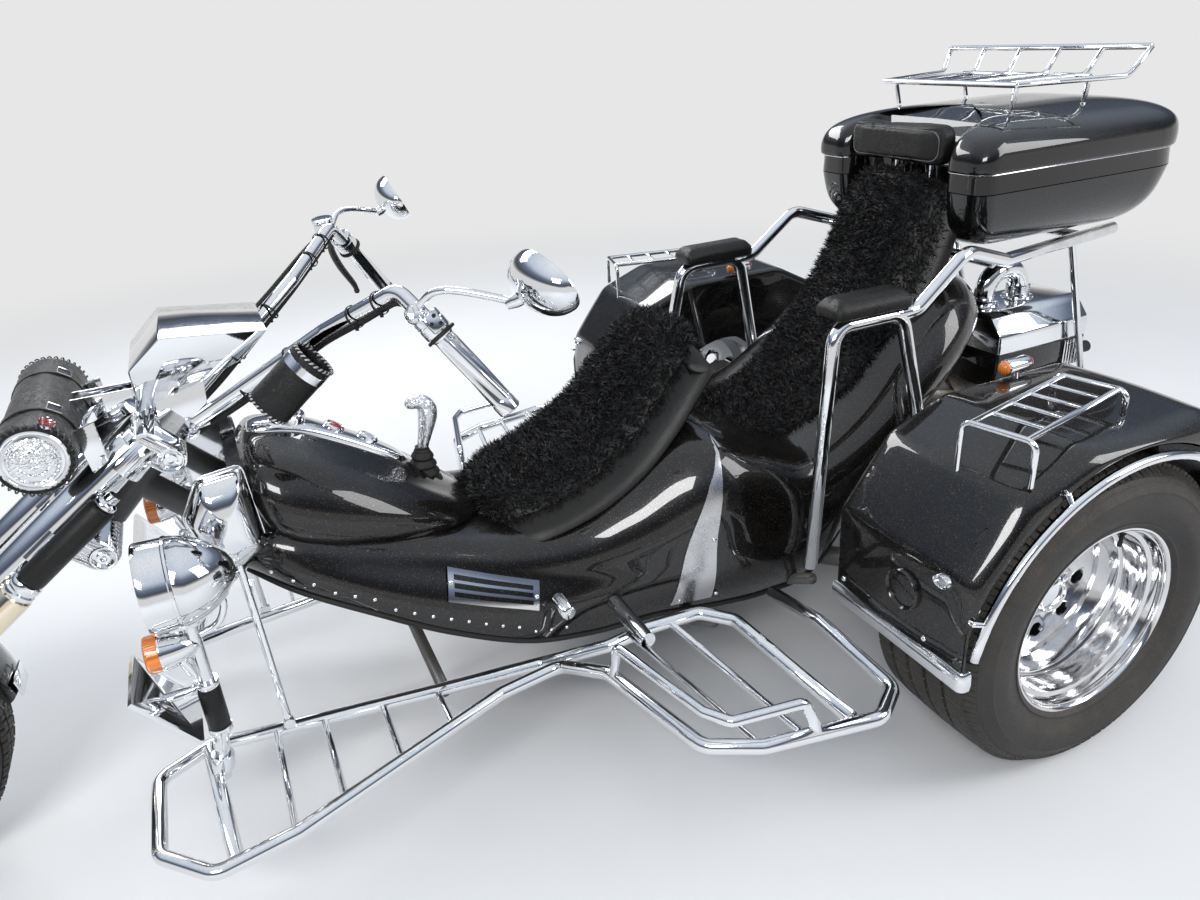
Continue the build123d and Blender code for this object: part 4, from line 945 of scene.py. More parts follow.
stud_rows = []
stud_spacing = 0.034
for side in (1, -1):
    for at in range(17):
        x = 1.44 - at * stud_spacing
        edge = min(edge_line, key=lambda row: abs(row[0] - x))
        place, facing = on_side(body_tree, x, edge[2] + 0.028, side)
        stud_rows.append((place, Vector((1, 0, 0)), facing))
studs = set_on_points("skirt_studs", dome("stud", 0.0042, 0.003), stud_rows, chrome_trim)
dress(smooth(studs, 60), chrome_trim, "chassis", "chrome_trim")

# %% [markdown]
# Behind the rider's knee a tapering bright fin hugs the body, and a plate with three slots sits in the skirt ahead.
# Each is a grid laid over its outline, lifted off the skin by its thickness, with its edge turned down.

# %% Fins and vents


def hugging_plate(name, left_edge, right_edge, tree, side, lift, rows=14, columns=6):
    """Make a plate between two edge lines of (x, z) points, laid on a skin and lifted off it."""
    left = flow(left_edge, rows // max(len(left_edge) - 1, 1))
    right = flow(right_edge, rows // max(len(right_edge) - 1, 1))
    points = []
    for start, end in zip(left, right):
        for column in range(-1, columns + 2):
            share = min(max(column / columns, 0), 1)
            x, z = (start[k] + (end[k] - start[k]) * share for k in (0, 1))
            edge = column < 0 or column > columns
            points.append(on_side(tree, x, z, side, -0.002 if edge else lift)[0])
    return mesh_from(name, points, net(len(left), columns + 3, closed=False))


fin_back = [(0.503, 0.650), (0.548, 0.470), (0.565, 0.288)]
fin_front = [(0.497, 0.650), (0.602, 0.470), (0.660, 0.288)]
fins = [hugging_plate("fin", fin_back, fin_front, body_tree, side, 0.004) for side in (1, -1)]
dress_joined("side_fins", fins, 50, brushed_metal, "chassis", "chrome_trim", "side_trims")

plates, slots = [], []
for side in (1, -1):
    low_line = [(0.952, 0.356), (1.043, 0.392), (1.134, 0.432)]
    high_line = [(0.936, 0.410), (1.030, 0.448), (1.118, 0.490)]
    plates.append(hugging_plate("vent", low_line, high_line, body_tree, side, 0.006, rows=20, columns=10))
    for slot_at in range(3):
        low_share = 0.17 + slot_at * 0.24
        high_share = low_share + 0.15
        inner = [
            [tuple(a[k] + (b[k] - a[k]) * share for k in (0, 1)) for a, b in zip(low_line, high_line)]
            for share in (low_share, high_share)
        ]
        trimmed = [flow(line, 10)[2:-2] for line in inner]
        slots.append(hugging_plate("slot", *trimmed, body_tree, side, 0.0075, rows=len(trimmed[0]), columns=3))
dress_joined("vent_plates", plates, 50, chrome_trim, "chassis", "chrome_trim")
dress_joined("vent_slots", slots, 50, black_paint, "chassis", "black_paint")
screw_rows = []
for side in (1, -1):
    for x, z in ((0.950, 0.383), (1.120, 0.462), (0.556, 0.300), (0.640, 0.300), (0.560, 0.440)):
        place, facing = on_side(body_tree, x, z, side, 0.006)
        screw_rows.append((place, Vector((1, 0, 0)), facing))
trim_screws = set_on_points("trim_screws", dome("screw", 0.005, 0.0025, 12), screw_rows, chrome_trim)
dress(smooth(trim_screws, 60), chrome_trim, "chassis", "chrome_trim")

# %% [markdown]
# Along the crest of the tank lies a long domed chrome dash with a filler cap, a round lamp and a red warning lens.
# It is a slot-shaped plate laid on the tank with its rim turned down, and turned caps stand on it.

# %% The dash on the tank
dash_rows = []
for at in range(25):
    share = at / 24
    x = 1.425 - share * 0.305
    half = 0.046 * math.sqrt(max(1 - (2 * share - 1) ** 6, 0)) * (1 - 0.35 * share)
    row = []
    for step in range(-1, 14):
        across = min(max(step / 12, 0), 1) * 2 - 1
        swell = 0.009 * math.sqrt(max(1 - abs(across) ** 4, 0)) * min(1, half / 0.03)
        lift = -0.003 if step in (-1, 13) else 0.003 + swell
        row.append(on_top(tank_tree, x, half * across, lift)[0])
    dash_rows.append(row)
dress(smooth(skin("dash_plate", dash_rows, closed=False), 50), chrome_trim, "chassis", "chrome_trim", "dash_strip")


def cap_on_tank(name, x, profile):
    """Turn a cap that stands square on the tank's crest."""
    place, facing = on_top(tank_tree, x, 0.0, 0.008)
    return smooth(lathe(name, profile, place, facing, count=48), 30)


cap_profile = [
    (0.036, 0.0), (0.036, 0.012), (0.033, 0.016), (0.026, 0.017), (0.023, 0.021), (0.012, 0.024), (0.0, 0.0245)
]
lamp_profile = [(0.022, 0.0), (0.022, 0.008), (0.019, 0.011), (0.0165, 0.0095)]
glass_profile = [(0.0165, 0.009), (0.012, 0.012), (0.006, 0.0135), (0.0, 0.014)]
red_x, clear_x = 1.262, 1.200
dash_caps = [cap_on_tank("cap", 1.345, cap_profile)] + [
    cap_on_tank("ring", x, lamp_profile) for x in (red_x, clear_x)
]
dress_joined("dash_caps", dash_caps, 30, chrome_trim, "chassis", "chrome_trim")
dress(cap_on_tank("dash_lens_red", red_x, glass_profile), red_lens, "chassis", "red_lens")
dress(cap_on_tank("dash_lens_clear", clear_x, glass_profile), clear_lens, "chassis", "chrome_trim")

# %% [markdown]
# Soft pieces come next. A stuffed piece is never a block: air or foam pushes its faces out and its seams hold them
# back. Cloth simulation does just that. The form is remeshed into even small faces, gets a pressure inside and no
# gravity, and swells for twenty frames. A cap on how far each point may move keeps it in its place.

# %% A helper that swells a soft form


def puffed(thing, voxel, swell, softer=1):
    """Swell a closed form by cloth pressure, no further than a cap, and subdivide it."""
    frames, pressure = 20, 4
    remesh = thing.modifiers.new("remesh", "REMESH")
    remesh.mode = "VOXEL"
    remesh.voxel_size = voxel
    apply_modifiers(thing)
    before = [point.co.copy() for point in thing.data.vertices]
    cloth = thing.modifiers.new("cloth", "CLOTH")
    cloth.settings.use_pressure = True
    cloth.settings.uniform_pressure_force = pressure
    cloth.settings.effector_weights.gravity = 0
    cloth.point_cache.frame_end = frames
    for step in range(1, frames + 1):
        scene.frame_set(step)
    apply_modifiers(thing)
    for point, start in zip(thing.data.vertices, before):
        move = point.co - start
        if move.length > swell:
            point.co = start + move * (swell / move.length)
    scene.frame_set(1)
    if softer:
        subdivide = thing.modifiers.new("softer", "SUBSURF")
        subdivide.levels = subdivide.render_levels = softer
        apply_modifiers(thing)
    print(thing.name, "soft faces:", len(thing.data.polygons))
    return smooth(thing, 60)


# %% [markdown]
# Both seats wear a long black fleece. The form under it follows the seat's line: across it the section is a broad
# soft oval, and the row of ovals climbs from the saddle up the hump. A smooth satin base shows below the fleece.

# %% The forms under the fleece
seat_lines = {
    # each row: x ahead, z, half width of the fleece, thickness
    "rider": [
        (1052, 492, 60, 26), (1030, 520, 122, 44), (990, 548, 160, 62), (930, 572, 182, 74), (860, 592, 192, 80),
        (790, 620, 196, 84), (715, 664, 194, 88), (650, 724, 188, 90), (590, 792, 180, 88), (535, 842, 172, 82),
        (484, 862, 166, 74), (448, 838, 160, 66), (430, 790, 152, 56), (424, 740, 140, 40),
    ],
    "passenger": [
        (430, 610, 120, 34), (396, 604, 158, 56), (330, 596, 178, 72), (245, 602, 188, 82), (168, 638, 192, 90),
        (104, 696, 194, 92), (40, 762, 194, 90), (-14, 830, 194, 88), (-56, 900, 192, 84), (-86, 968, 190, 78),
        (-112, 1032, 182, 70), (-134, 1080, 166, 56), (-150, 1106, 136, 34),
    ],
}


def seat_rings(rows, sink, wider, thinner):
    """Give oval rings square to a seat's line, sunk below it, and wider or thinner than the table says."""
    oval_across, oval_up, drape_depth = 0.72, 0.8, 34
    fine = flow(rows, 4)
    rings = []
    for at, (x, z, half, thick) in enumerate(fine):
        before, after = fine[max(at - 1, 0)], fine[min(at + 1, len(fine) - 1)]
        along = Vector((after[0] - before[0], after[1] - before[1])).normalized()
        out = Vector((along.y, -along.x)) if along.x < 0 else Vector((-along.y, along.x))
        out = out if out.y > 0 or out.x > 0 else -out
        deep = thick * thinner
        middle = Vector((x, z)) - out * (sink + deep / 2)
        ring = []
        for turn in circle(28):
            across = math.copysign(abs(math.cos(turn)) ** oval_across, math.cos(turn)) * (half + wider)
            lift = math.copysign(abs(math.sin(turn)) ** oval_up, math.sin(turn)) * deep / 2
            lift -= drape_depth * (abs(across) / (half + wider)) ** 3
            ring.append(spot((middle.x + out.x * lift) / 1000, across / 1000, (middle.y + out.y * lift) / 1000))
        rings.append(ring)
    return rings


satin_bases = [
    # seat, how far below the fleece's top, added half width, share of its thickness
    ("rider", 44, 36, 0.55),
    ("passenger", 40, 12, 0.7),
]
for seat, sink, wider, thinner in satin_bases:
    under = smooth(skin(seat + "_seat_base", seat_rings(seat_lines[seat], sink, wider, thinner)), 50)
    dress(under, seat_vinyl, "chassis", "pad_vinyl")
print("seat bases:", len(satin_bases))

# %% [markdown]
# The fleece is thousands of curved locks. Geometry Nodes scatter them over the swollen form with a fixed seed. Each
# lock stands along the surface's normal, and a noise field leans its neighbours the same way, which is what makes
# wool clump. Every lock also gets a tone, and the fleece's material turns that into a lighter or darker strand.

# %% The tree that grows fleece
fleece_tree, given = geometry_tree("grow_fleece", [
    ("Lock", "Object"), ("Density", "Float"), ("Clump", "Float"), ("Hang", "Float"), ("Seed", "Int"),
    ("Finish", "Material"),
])
scatter = add_node(fleece_tree, "GeometryNodeDistributePointsOnFaces", {
    "Mesh": given.outputs["Geometry"], "Density": given.outputs["Density"], "Seed": given.outputs["Seed"],
})
where = add_node(fleece_tree, "GeometryNodeInputPosition")
clump_noise = add_node(fleece_tree, "ShaderNodeTexNoise", {"Vector": where.outputs[0], "Scale": 34.0, "Detail": 1.0})
centred = add_node(
    fleece_tree, "ShaderNodeVectorMath", {0: clump_noise.outputs["Color"], 1: (0.5, 0.5, 0.5)}, operation="SUBTRACT"
)
leaning = add_node(
    fleece_tree, "ShaderNodeVectorMath", {0: centred.outputs[0], "Scale": given.outputs["Clump"]}, operation="SCALE"
)
stray = add_node(
    fleece_tree, "FunctionNodeRandomValue", {0: (-0.5, -0.5, -0.5), 1: (0.5, 0.5, 0.5), "Seed": 5},
    data_type="FLOAT_VECTOR",
)
down = add_node(fleece_tree, "ShaderNodeCombineXYZ", {"Z": given.outputs["Hang"]})
lean_stray = add_node(
    fleece_tree, "ShaderNodeVectorMath", {0: leaning.outputs[0], 1: stray.outputs[0]}, operation="ADD"
)
lean_down = add_node(
    fleece_tree, "ShaderNodeVectorMath", {0: lean_stray.outputs[0], 1: down.outputs[0]}, operation="ADD"
)
aim = add_node(
    fleece_tree, "ShaderNodeVectorMath", {0: scatter.outputs["Normal"], 1: lean_down.outputs[0]}, operation="ADD"
)
stand = add_node(fleece_tree, "FunctionNodeAlignRotationToVector", {"Vector": aim.outputs[0]}, axis="Z")
any_turn = add_node(fleece_tree, "FunctionNodeRandomValue", {2: 0.0, 3: 2 * math.pi, "Seed": 11}, data_type="FLOAT")
spin = add_node(fleece_tree, "FunctionNodeAxisAngleToRotation", {"Axis": (0, 0, 1), "Angle": any_turn.outputs[1]})
turned = add_node(
    fleece_tree, "FunctionNodeRotateRotation", {"Rotation": stand.outputs[0], "Rotate By": spin.outputs[0]},
    rotation_space="LOCAL",
)
reach = add_node(
    fleece_tree, "FunctionNodeRandomValue", {0: (0.8, 0.8, 0.65), 1: (1.3, 1.3, 1.25), "Seed": 17},
    data_type="FLOAT_VECTOR",
)
locks = add_node(fleece_tree, "GeometryNodeObjectInfo", {"Object": given.outputs["Lock"]})
stood = add_node(fleece_tree, "GeometryNodeInstanceOnPoints", {
    "Points": scatter.outputs["Points"], "Instance": locks.outputs["Geometry"], "Rotation": turned.outputs[0],
    "Scale": reach.outputs[0],
})
tone_each = add_node(fleece_tree, "FunctionNodeRandomValue", {2: 0.0, 3: 0.6, "Seed": 23}, data_type="FLOAT")
toned = add_node(fleece_tree, "GeometryNodeStoreNamedAttribute", {
    "Geometry": stood.outputs[0], "Name": "tone", "Value": tone_each.outputs[1],
}, domain="INSTANCE", data_type="FLOAT")
both = add_node(fleece_tree, "GeometryNodeJoinGeometry")
fleece_tree.links.new(given.outputs["Geometry"], both.inputs[0])
fleece_tree.links.new(toned.outputs[0], both.inputs[0])
close_tree(fleece_tree, given, both.outputs[0])


def wool_lock():
    """Make one curved lock of wool as a thin tapering strip."""
    rows = [(0.0, 0.0, 1.0), (0.0012, 0.008, 1.2), (0.0046, 0.0155, 0.85)]
    points = [(bend, side * width * 0.0010, rise) for bend, rise, width in rows for side in (-1, 1)]
    points.append((0.0108, 0, 0.0205))
    return mesh_from("lock", points, [(0, 1, 3, 2), (2, 3, 5, 4), (4, 5, 6)])


fleece_table = [
    # seat, locks on each square metre, seed
    ("rider", 56000, 3),
    ("passenger", 47000, 4),
]
for seat, density, seed in fleece_table:
    form = puffed(skin(seat + "_form", seat_rings(seat_lines[seat], 14, -10, 1.0)), 0.011, 0.008, 0)
    wool = grow(seat + "_fleece", form, fleece_tree, {
        "Lock": wool_lock(), "Density": density, "Clump": 2.6, "Hang": -0.35, "Seed": seed, "Finish": fleece,
    })
    smooth(wool, 180)
    dress(wool, fleece, "chassis", "fleece", seat + "_seat")

# %% [markdown]
# The passenger's leather pad is swollen as one smooth form. A sewn border runs round its front face: the points
# under it are pressed in a little, and a row of pale stitches is laid along it.

# %% The leather backrest pad
pad_front, pad_back = -0.158, -0.210
pad_half, pad_low, pad_high = 0.160, 1.110, 1.200
pad_seam = 0.012


def pad_outline(inset, corner):
    """Give the pad's rounded outline, drawn in from its edge, as (y, z) points."""
    half = pad_half - inset
    return rounded_box((-half, pad_low + inset), (half, pad_high - inset), corner, 8)


pad_centre = Vector((0, (pad_low + pad_high) / 2))
pad_rings = []
for x, share in (
    (pad_back, 0.93), (pad_back + 0.008, 1.0), (pad_front - 0.012, 1.0), (pad_front - 0.002, 0.93), (pad_front, 0.80)
):
    pad_rings.append([spot(x, *(pad_centre + (point - pad_centre) * share)) for point in pad_outline(0, 0.036)])
backrest = puffed(skin("backrest_leather", pad_rings), 0.0058, 0.006)
front_face = rear_axle_x + (pad_front + pad_back) / 2
for point in backrest.data.vertices:
    if point.co.x > front_face:
        edge = max(abs(point.co.y) - pad_half, abs(point.co.z - pad_centre.y) - (pad_high - pad_low) / 2) + pad_seam
        point.co.x -= 0.0020 * max(0.0, 1 - abs(edge) / 0.005)
dress(backrest, leather, "chassis", "leather", "backrest_pad")


def stitch_mark():
    """Make one stitch: a short thread with sunken ends."""
    length, radius = 0.0052, 0.0006
    line = [
        Vector((length * (t - 0.5), 0, 0.0011 * math.sin(math.pi * t) - 0.0004)) for t in (at / 4 for at in range(5))
    ]
    return pipe("stitch", line, [radius * 0.5, radius, radius, radius, radius * 0.5], sides=6)


pad_tree = BVHTree.FromPolygons(
    [v.co for v in backrest.data.vertices], [tuple(p.vertices) for p in backrest.data.polygons]
)
stitches = []
border = pad_outline(pad_seam, 0.026)
pitch = 0.0072
for start, end in zip(border, border[1:] + border[:1]):
    run = (end - start).length
    for at in range(max(1, round(run / pitch))):
        place = start + (end - start) * ((at + 0.5) / max(1, round(run / pitch)))
        hit, normal, _, _ = pad_tree.ray_cast(spot(0.1, place.x, place.y), Vector((-1, 0, 0)))
        if hit is not None and hit.x > front_face - 0.01:
            along = Vector((0, end.x - start.x, end.y - start.y)).normalized()
            stitches.append((hit, along, normal))
pale_thread = new_material("pale_thread", Roughness=0.75, Specular_IOR_Level=0.3, Base_Color=shade(0.38))[0]
sewn = set_on_points("backrest_stitches", stitch_mark(), stitches, pale_thread)
dress(sewn, pale_thread, "chassis", "leather")
print("stitches:", len(stitches))

# %% [markdown]
# The armrest pads are moulded vinyl: upright sides, a broad bevel all round and a slightly crowned top.

# %% The armrest pads
arm_middle, arm_side, arm_low, arm_high = 0.160, 0.309, 0.8665, 0.9065
for side, name in both_sides:
    rings = []
    for z, shrink in (
        (arm_low, 0.003), (arm_low + 0.003, 0.0), (arm_low + 0.020, 0.0), (arm_low + 0.024, 0.002),
        (arm_high - 0.004, 0.013), (arm_high - 0.001, 0.017), (arm_high, 0.024),
    ):
        length, width = 0.103 - shrink, 0.044 - shrink
        turned_corner = max(0.020 - shrink * 0.5, 0.006)
        face = rounded_box((-length, -width), (length, width), turned_corner, 6)
        rings.append([spot(arm_middle + p.x, side * (arm_side + p.y), z) for p in face])
    pad = puffed(skin(name + "_arm_pad", rings), 0.0052, 0.0015)
    dress(pad, pad_vinyl, "chassis", "pad_vinyl", "armrest_pads")
print("armrest pads: 2")


# %% [markdown]
# The top case is a lacquered bowl with a lid. Both are skins through level outlines. Every outline has eight rounded
# corners, four of them round the notch that the passenger's backrest sits in. The wall is real: the rings run up
# the outside, over the rim and down the inside, so the open lid shows a hollow case.

# %% Outlines of the top case
seam_z = 1.060
notch_half, notch_x, notch_slant = 0.178, -0.234, 0.012
horn_width = 0.055  # the least width left beside the notch


def case_outline(z, front, rear, half, rear_corner, front_corner, sink=0.0, steps=9):
    """Give one level outline of the case; the notch is cut deeper by the sink."""
    notch = min(notch_x, front) - sink
    side = min(notch_half, half - horn_width)
    step = max((front - notch) * 0.42, 0.0005)
    corners = [
        (front, half, front_corner), (rear, half, rear_corner), (rear, -half, rear_corner),
        (front, -half, front_corner), (front, -side, step), (notch, notch_slant - side, step),
        (notch, side - notch_slant, step), (front, side, step),
    ]
    return [spot(p.x, p.y, z) for p in rounded(corners, steps)]


def case_shell(name, levels):
    """Make a hollow shell from its levels, open at the last one."""
    wall = 0.004
    outer = [case_outline(*row) for row in flow(levels, 4)]
    hub = sum((Vector(p) for p in outer[-1]), Vector()) / len(outer[-1])
    inner = []
    for ring in reversed(outer):
        middle = Vector((hub.x, hub.y, ring[0].z))
        inner.append([p + (middle - p).normalized() * wall for p in ring])
    shift = wall if levels[0][0] < levels[-1][0] else -wall
    inner[-1] = [p + Vector((0, 0, shift)) for p in inner[-1]]
    return smooth(skin(name, outer + inner), 38)


base_levels = [
    # z, front x, rear x, half width, rear corner, front corner
    (0.9235, -0.300, -0.665, 0.165, 0.08, 0.05), (0.926, -0.262, -0.700, 0.205, 0.09, 0.05),
    (0.937, -0.222, -0.742, 0.240, 0.10, 0.05), (0.962, -0.188, -0.780, 0.266, 0.11, 0.05),
    (1.000, -0.168, -0.812, 0.282, 0.12, 0.05), (1.0595, -0.158, -0.831, 0.2915, 0.12, 0.05),
]
lid_levels = [
    (1.2195, -0.420, -0.620, 0.045, 0.04, 0.03, 0.02), (1.2190, -0.365, -0.680, 0.100, 0.08, 0.05, 0.03),
    (1.2155, -0.320, -0.730, 0.160, 0.10, 0.05, 0.04), (1.2070, -0.270, -0.776, 0.215, 0.11, 0.05, 0.05),
    (1.1950, -0.222, -0.808, 0.253, 0.12, 0.05, 0.045), (1.1790, -0.186, -0.827, 0.278, 0.12, 0.05, 0.036),
    (1.1600, -0.165, -0.835, 0.2915, 0.12, 0.05, 0.024), (1.1350, -0.154, -0.8360, 0.2972, 0.12, 0.05, 0.014),
    (1.1120, -0.152, -0.8355, 0.2965, 0.12, 0.05, 0.008), (1.1060, -0.154, -0.8335, 0.2945, 0.12, 0.05, 0.004),
    (1.1045, -0.158, -0.8300, 0.2905, 0.12, 0.05, 0.002), (1.1000, -0.159, -0.8290, 0.2895, 0.12, 0.05, 0.0),
    (1.0615, -0.158, -0.8310, 0.2915, 0.12, 0.05, 0.0),
]
case_bowl = dress(case_shell("case_bowl", base_levels), case_paint, "chassis", "case_paint", "case_base")
case_cover = dress(case_shell("case_cover", lid_levels), case_paint, "lid", "case_paint", "case_lid")
print("case faces:", len(case_bowl.data.polygons), len(case_cover.data.polygons))

# %% [markdown]
# A thin bright line lies in the crease under the lid's broad edge roll. The lid itself parts from the bowl lower
# down. The hinge at the back is two pairs of barrels on pins, with a leaf to each wall. The lid's barrels turn with
# it.

# %% Crease line and hinge
crease_line = case_outline(1.1035, -0.1575, -0.8305, 0.2912, 0.12, 0.05)
strip = pipe("case_strip", crease_line + crease_line[:1], [0.0016] * (len(crease_line) + 1), sides=8, ends=False)
dress(smooth(strip), chrome_trim, "lid", "chrome_trim")


def slab(name, low, high):
    """Make a small plate between two corners with rounded edges."""
    corners = [(x, y, z) for x in (low[0], high[0]) for y in (low[1], high[1]) for z in (low[2], high[2])]
    made = mesh_from(
        name, corners, [(0, 1, 3, 2), (4, 6, 7, 5), (0, 4, 5, 1), (2, 3, 7, 6), (0, 2, 6, 4), (1, 5, 7, 3)]
    )
    edge = made.modifiers.new("edge", "BEVEL")
    edge.width = 0.001
    edge.segments = 2
    return smooth(apply_modifiers(made), 30)


hinge_line = spot(-0.849, 0, seam_z)
barrels = {"chassis": (0.100, 0.130, -0.0145, -0.0075), "lid": (0.131, 0.151, 0.0075, 0.0145)}
for body, (near, far, low, high) in barrels.items():
    pieces = []
    for side in (1, -1):
        turned = [
            (0.0, near), (0.0072, near), (0.008, near + 0.0008), (0.008, far - 0.0008), (0.0072, far), (0.0, far)
        ]
        pieces.append(lathe("barrel", turned, hinge_line, (0, side, 0), count=32))
        if body == "chassis":
            pin = [(0.0, far), (0.0039, far), (0.0039, 0.1545), (0.003, 0.1555), (0.0, 0.1555)]
            pieces.append(lathe("pin", pin, hinge_line, (0, side, 0), count=24))
        ends = sorted((side * near, side * far))
        leaf_low, leaf_high = (hinge_line.x, ends[0], seam_z + low), (hinge_line.x + 0.017, ends[1], seam_z + high)
        pieces.append(slab("leaf", leaf_low, leaf_high))
    dress_joined(body + "_hinge", pieces, 40, chrome_trim, body, "chrome_trim")
print("hinge barrels: 4")


# %% [markdown]
# A rear fender is swept round the wheel. At every angle its section is the same rule: up the inner wall, over
# a softly crowned top, round a broad outer shoulder and down to the arch, then back inside as a thin wall. Only the
# distance of the top from the axle changes with the angle, and a side outline of straight runs and round corners
# gives it. That keeps the steep front face, its crease, the slanted top and the long tail in one clean skin.

# %% The fender skins
fender_outline = rounded([
    (0.372, 0.336, 0), (0.372, 0.545, 0.035), (0.262, 0.690, 0.05), (0.120, 0.742, 0.09), (-0.200, 0.742, 0.10),
    (-0.365, 0.655, 0.10), (-0.455, 0.500, 0.09), (-0.470, 0.366, 0.03), (-0.440, 0.336, 0),
], 24)
arch_radius = 0.386
fender_inner, fender_outer = 0.512, 0.8715
inner_foot, inner_round, shoulder_round = 0.215, 0.020, 0.058


def outline_reach(angle):
    """Give how far the side outline lies from the axle at an angle above the front."""
    ray = Vector((math.cos(angle), math.sin(angle)))
    best = 0.0
    for start, end in zip(fender_outline, fender_outline[1:]):
        hit = geometry.intersect_line_line_2d(
            Vector((0, 0)), ray * 2, start - Vector((0, wheel_z)), end - Vector((0, wheel_z))
        )
        if hit is not None:
            best = max(best, hit.length)
    return best


def fender_ring(angle, side):
    """Give the fender's closed section at an angle, as (radius, y) points turned into place."""
    top = outline_reach(angle)
    low = min(arch_radius, top - 0.004)
    shoulder = min(shoulder_round, top - low)
    wall, crown, lip = 0.004, 0.004, 0.010
    width = fender_outer - fender_inner - inner_round - shoulder_round
    outer = [(inner_foot, fender_inner), (top - inner_round, fender_inner)]
    outer += [
        (top - inner_round * (1 - math.sin(t)), fender_inner + inner_round * (1 - math.cos(t))) for t in quarter(5)
    ]
    outer += [
        (top + crown * math.sin(math.pi * t), fender_inner + inner_round + width * t)
        for t in (at / 8 for at in range(1, 9))
    ]
    outer += [
        (top - shoulder * (1 - math.cos(t)), fender_outer - shoulder_round * (1 - math.sin(t))) for t in quarter(10)
    ]
    outer += [(low + 0.002, fender_outer), (low, fender_outer - 0.002), (low, fender_outer - lip)]
    inner = [(low + wall, fender_outer - lip), (low + wall, fender_outer - wall)]
    inner += [
        (min(radius, top) - wall, min(max(y, fender_inner + wall), fender_outer - wall))
        for radius, y in reversed(outer[1:-3])
    ]
    inner += [(inner_foot, fender_inner + wall)]
    ray = ray_at(angle)
    return [spot(0, side * y, wheel_z) + ray * radius for radius, y in outer + inner]


def thin_skin(name, rings, outer_count):
    """Make a thin-walled skin whose rings run out and back, and close each end across the wall alone."""
    def shut(ring):
        outer = ring[:outer_count]
        return outer + [min(outer, key=lambda p: (p - q).length) for q in ring[outer_count:]]

    return skin(name, [shut(rings[0])] + rings + [shut(rings[-1])], caps=False)


fender_angles = [math.radians(-0.25 + 180.45 * at / 130) for at in range(131)]
for side, name in both_sides:
    guard = smooth(thin_skin(name + "_fender_skin", [fender_ring(angle, side) for angle in fender_angles], 28), 32)
    dress(guard, black_paint, "chassis", "black_paint", "rear_fenders")
print("fender faces:", len(guard.data.polygons))

# %% [markdown]
# Each fender carries a bright plate along the foot of its front face that wraps round the outer corner, with two
# screws, a round black cover and a small oval marker above it. A red lamp stands at the back.

# %% Plates, lamps and screws on the fenders


def screw_head():
    """Make a domed cross-slot screw head, with its first ring on the surface."""
    radius, height = 0.005, 0.0022
    profile = [
        (radius, -0.0006), (radius, height * 0.3), (radius * 0.86, height * 0.8), (radius * 0.42, height),
        (radius * 0.38, height * 0.45), (0.0, height * 0.4),
    ]
    return smooth(lathe("screw", profile, (0, 0, 0), (0, 0, 1), count=16), 50)


def ringed_lens(name, centre, axis, radius, bulge, glass, body, glass_slot, squash=1.0, bezel=None):
    """Make a lens with its bezel ring. The lens may be an oval, squashed along Z."""
    ring = [(0.86, 0.002), (0.90, 0.008), (0.96, 0.0105), (1.0, 0.008), (1.02, 0.0), (1.02, -0.004)]
    ring = [(radius * share, along) for share, along in ring]
    cap = [(radius * 0.9 * math.sin(t), 0.003 + (bulge - 0.003) * math.cos(t)) for t in quarter(10)]
    for part, profile, finish, slot in (
        ("_bezel", ring, bezel or chrome_trim, glass_slot if bezel else "chrome_trim"),
        ("_glass", [(0.0, bulge)] + cap, glass, glass_slot),
    ):
        made = smooth(lathe(name + part, profile, (0, 0, 0), axis, count=64), 40)
        for point in made.data.vertices:
            point.co.z *= squash
            point.co += Vector(centre)
        dress(made, finish, body, slot)


screws = []
for side, name in both_sides:
    front_x, corner_y, corner_round = 0.3725, 0.862, 0.010
    line = [(front_x, y, 1, 0) for y in (0.516, 0.60, 0.72, corner_y)]
    line += [
        (front_x - corner_round * (1 - math.cos(t)), corner_y + corner_round * math.sin(t), math.cos(t), math.sin(t))
        for t in quarter(6)
    ]
    line += [(front_x - 0.018, 0.872, 0, 1)]
    foot_rows = [(0.3345, 0.0), (0.3345, 0.0035), (0.350, 0.006), (0.371, 0.004), (0.375, 0.0)]
    rings = [
        [spot(x + out * ahead, side * (y + out * across), z) for z, out in foot_rows] for x, y, ahead, across in line
    ]
    foot_plate = smooth(skin(name + "_fender_plate", rings), 40)
    dress(foot_plate, chrome_trim, "chassis", "chrome_trim")
    ringed_lens(
        name + "_round_cover", spot(0.3735, side * 0.716, 0.4690), (1, 0, 0), 0.041, 0.0075, black_paint, "chassis",
        "black_paint", bezel=black_paint,
    )
    ringed_lens(
        name + "_oval_marker", spot(0.3705, side * 0.806, 0.536), (1, 0, 0), 0.019, 0.006, brushed_metal, "chassis",
        "chrome_trim", 0.62,
    )
    ringed_lens(
        name + "_tail_lens", spot(-0.468, side * 0.690, 0.440), (-1, 0, 0), 0.047, 0.022, red_lens, "chassis",
        "red_lens",
    )
    for y in (0.545, 0.775):
        screws.append((spot(front_x + 0.001, side * y, 0.392), Vector((0, 0, 1)), Vector((1, 0, 0))))
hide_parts("fender_lamps")
screwed = set_on_points("fender_screws", screw_head(), screws, chrome_trim, 1.2)
dress(screwed, chrome_trim, "chassis", "chrome_trim")

# %% [markdown]
# The bright arch tube stands off the fender's edge on small pins, and ends in closed rounded ends. Pins and tube are
# in the solid model; here each pin gets its screw.

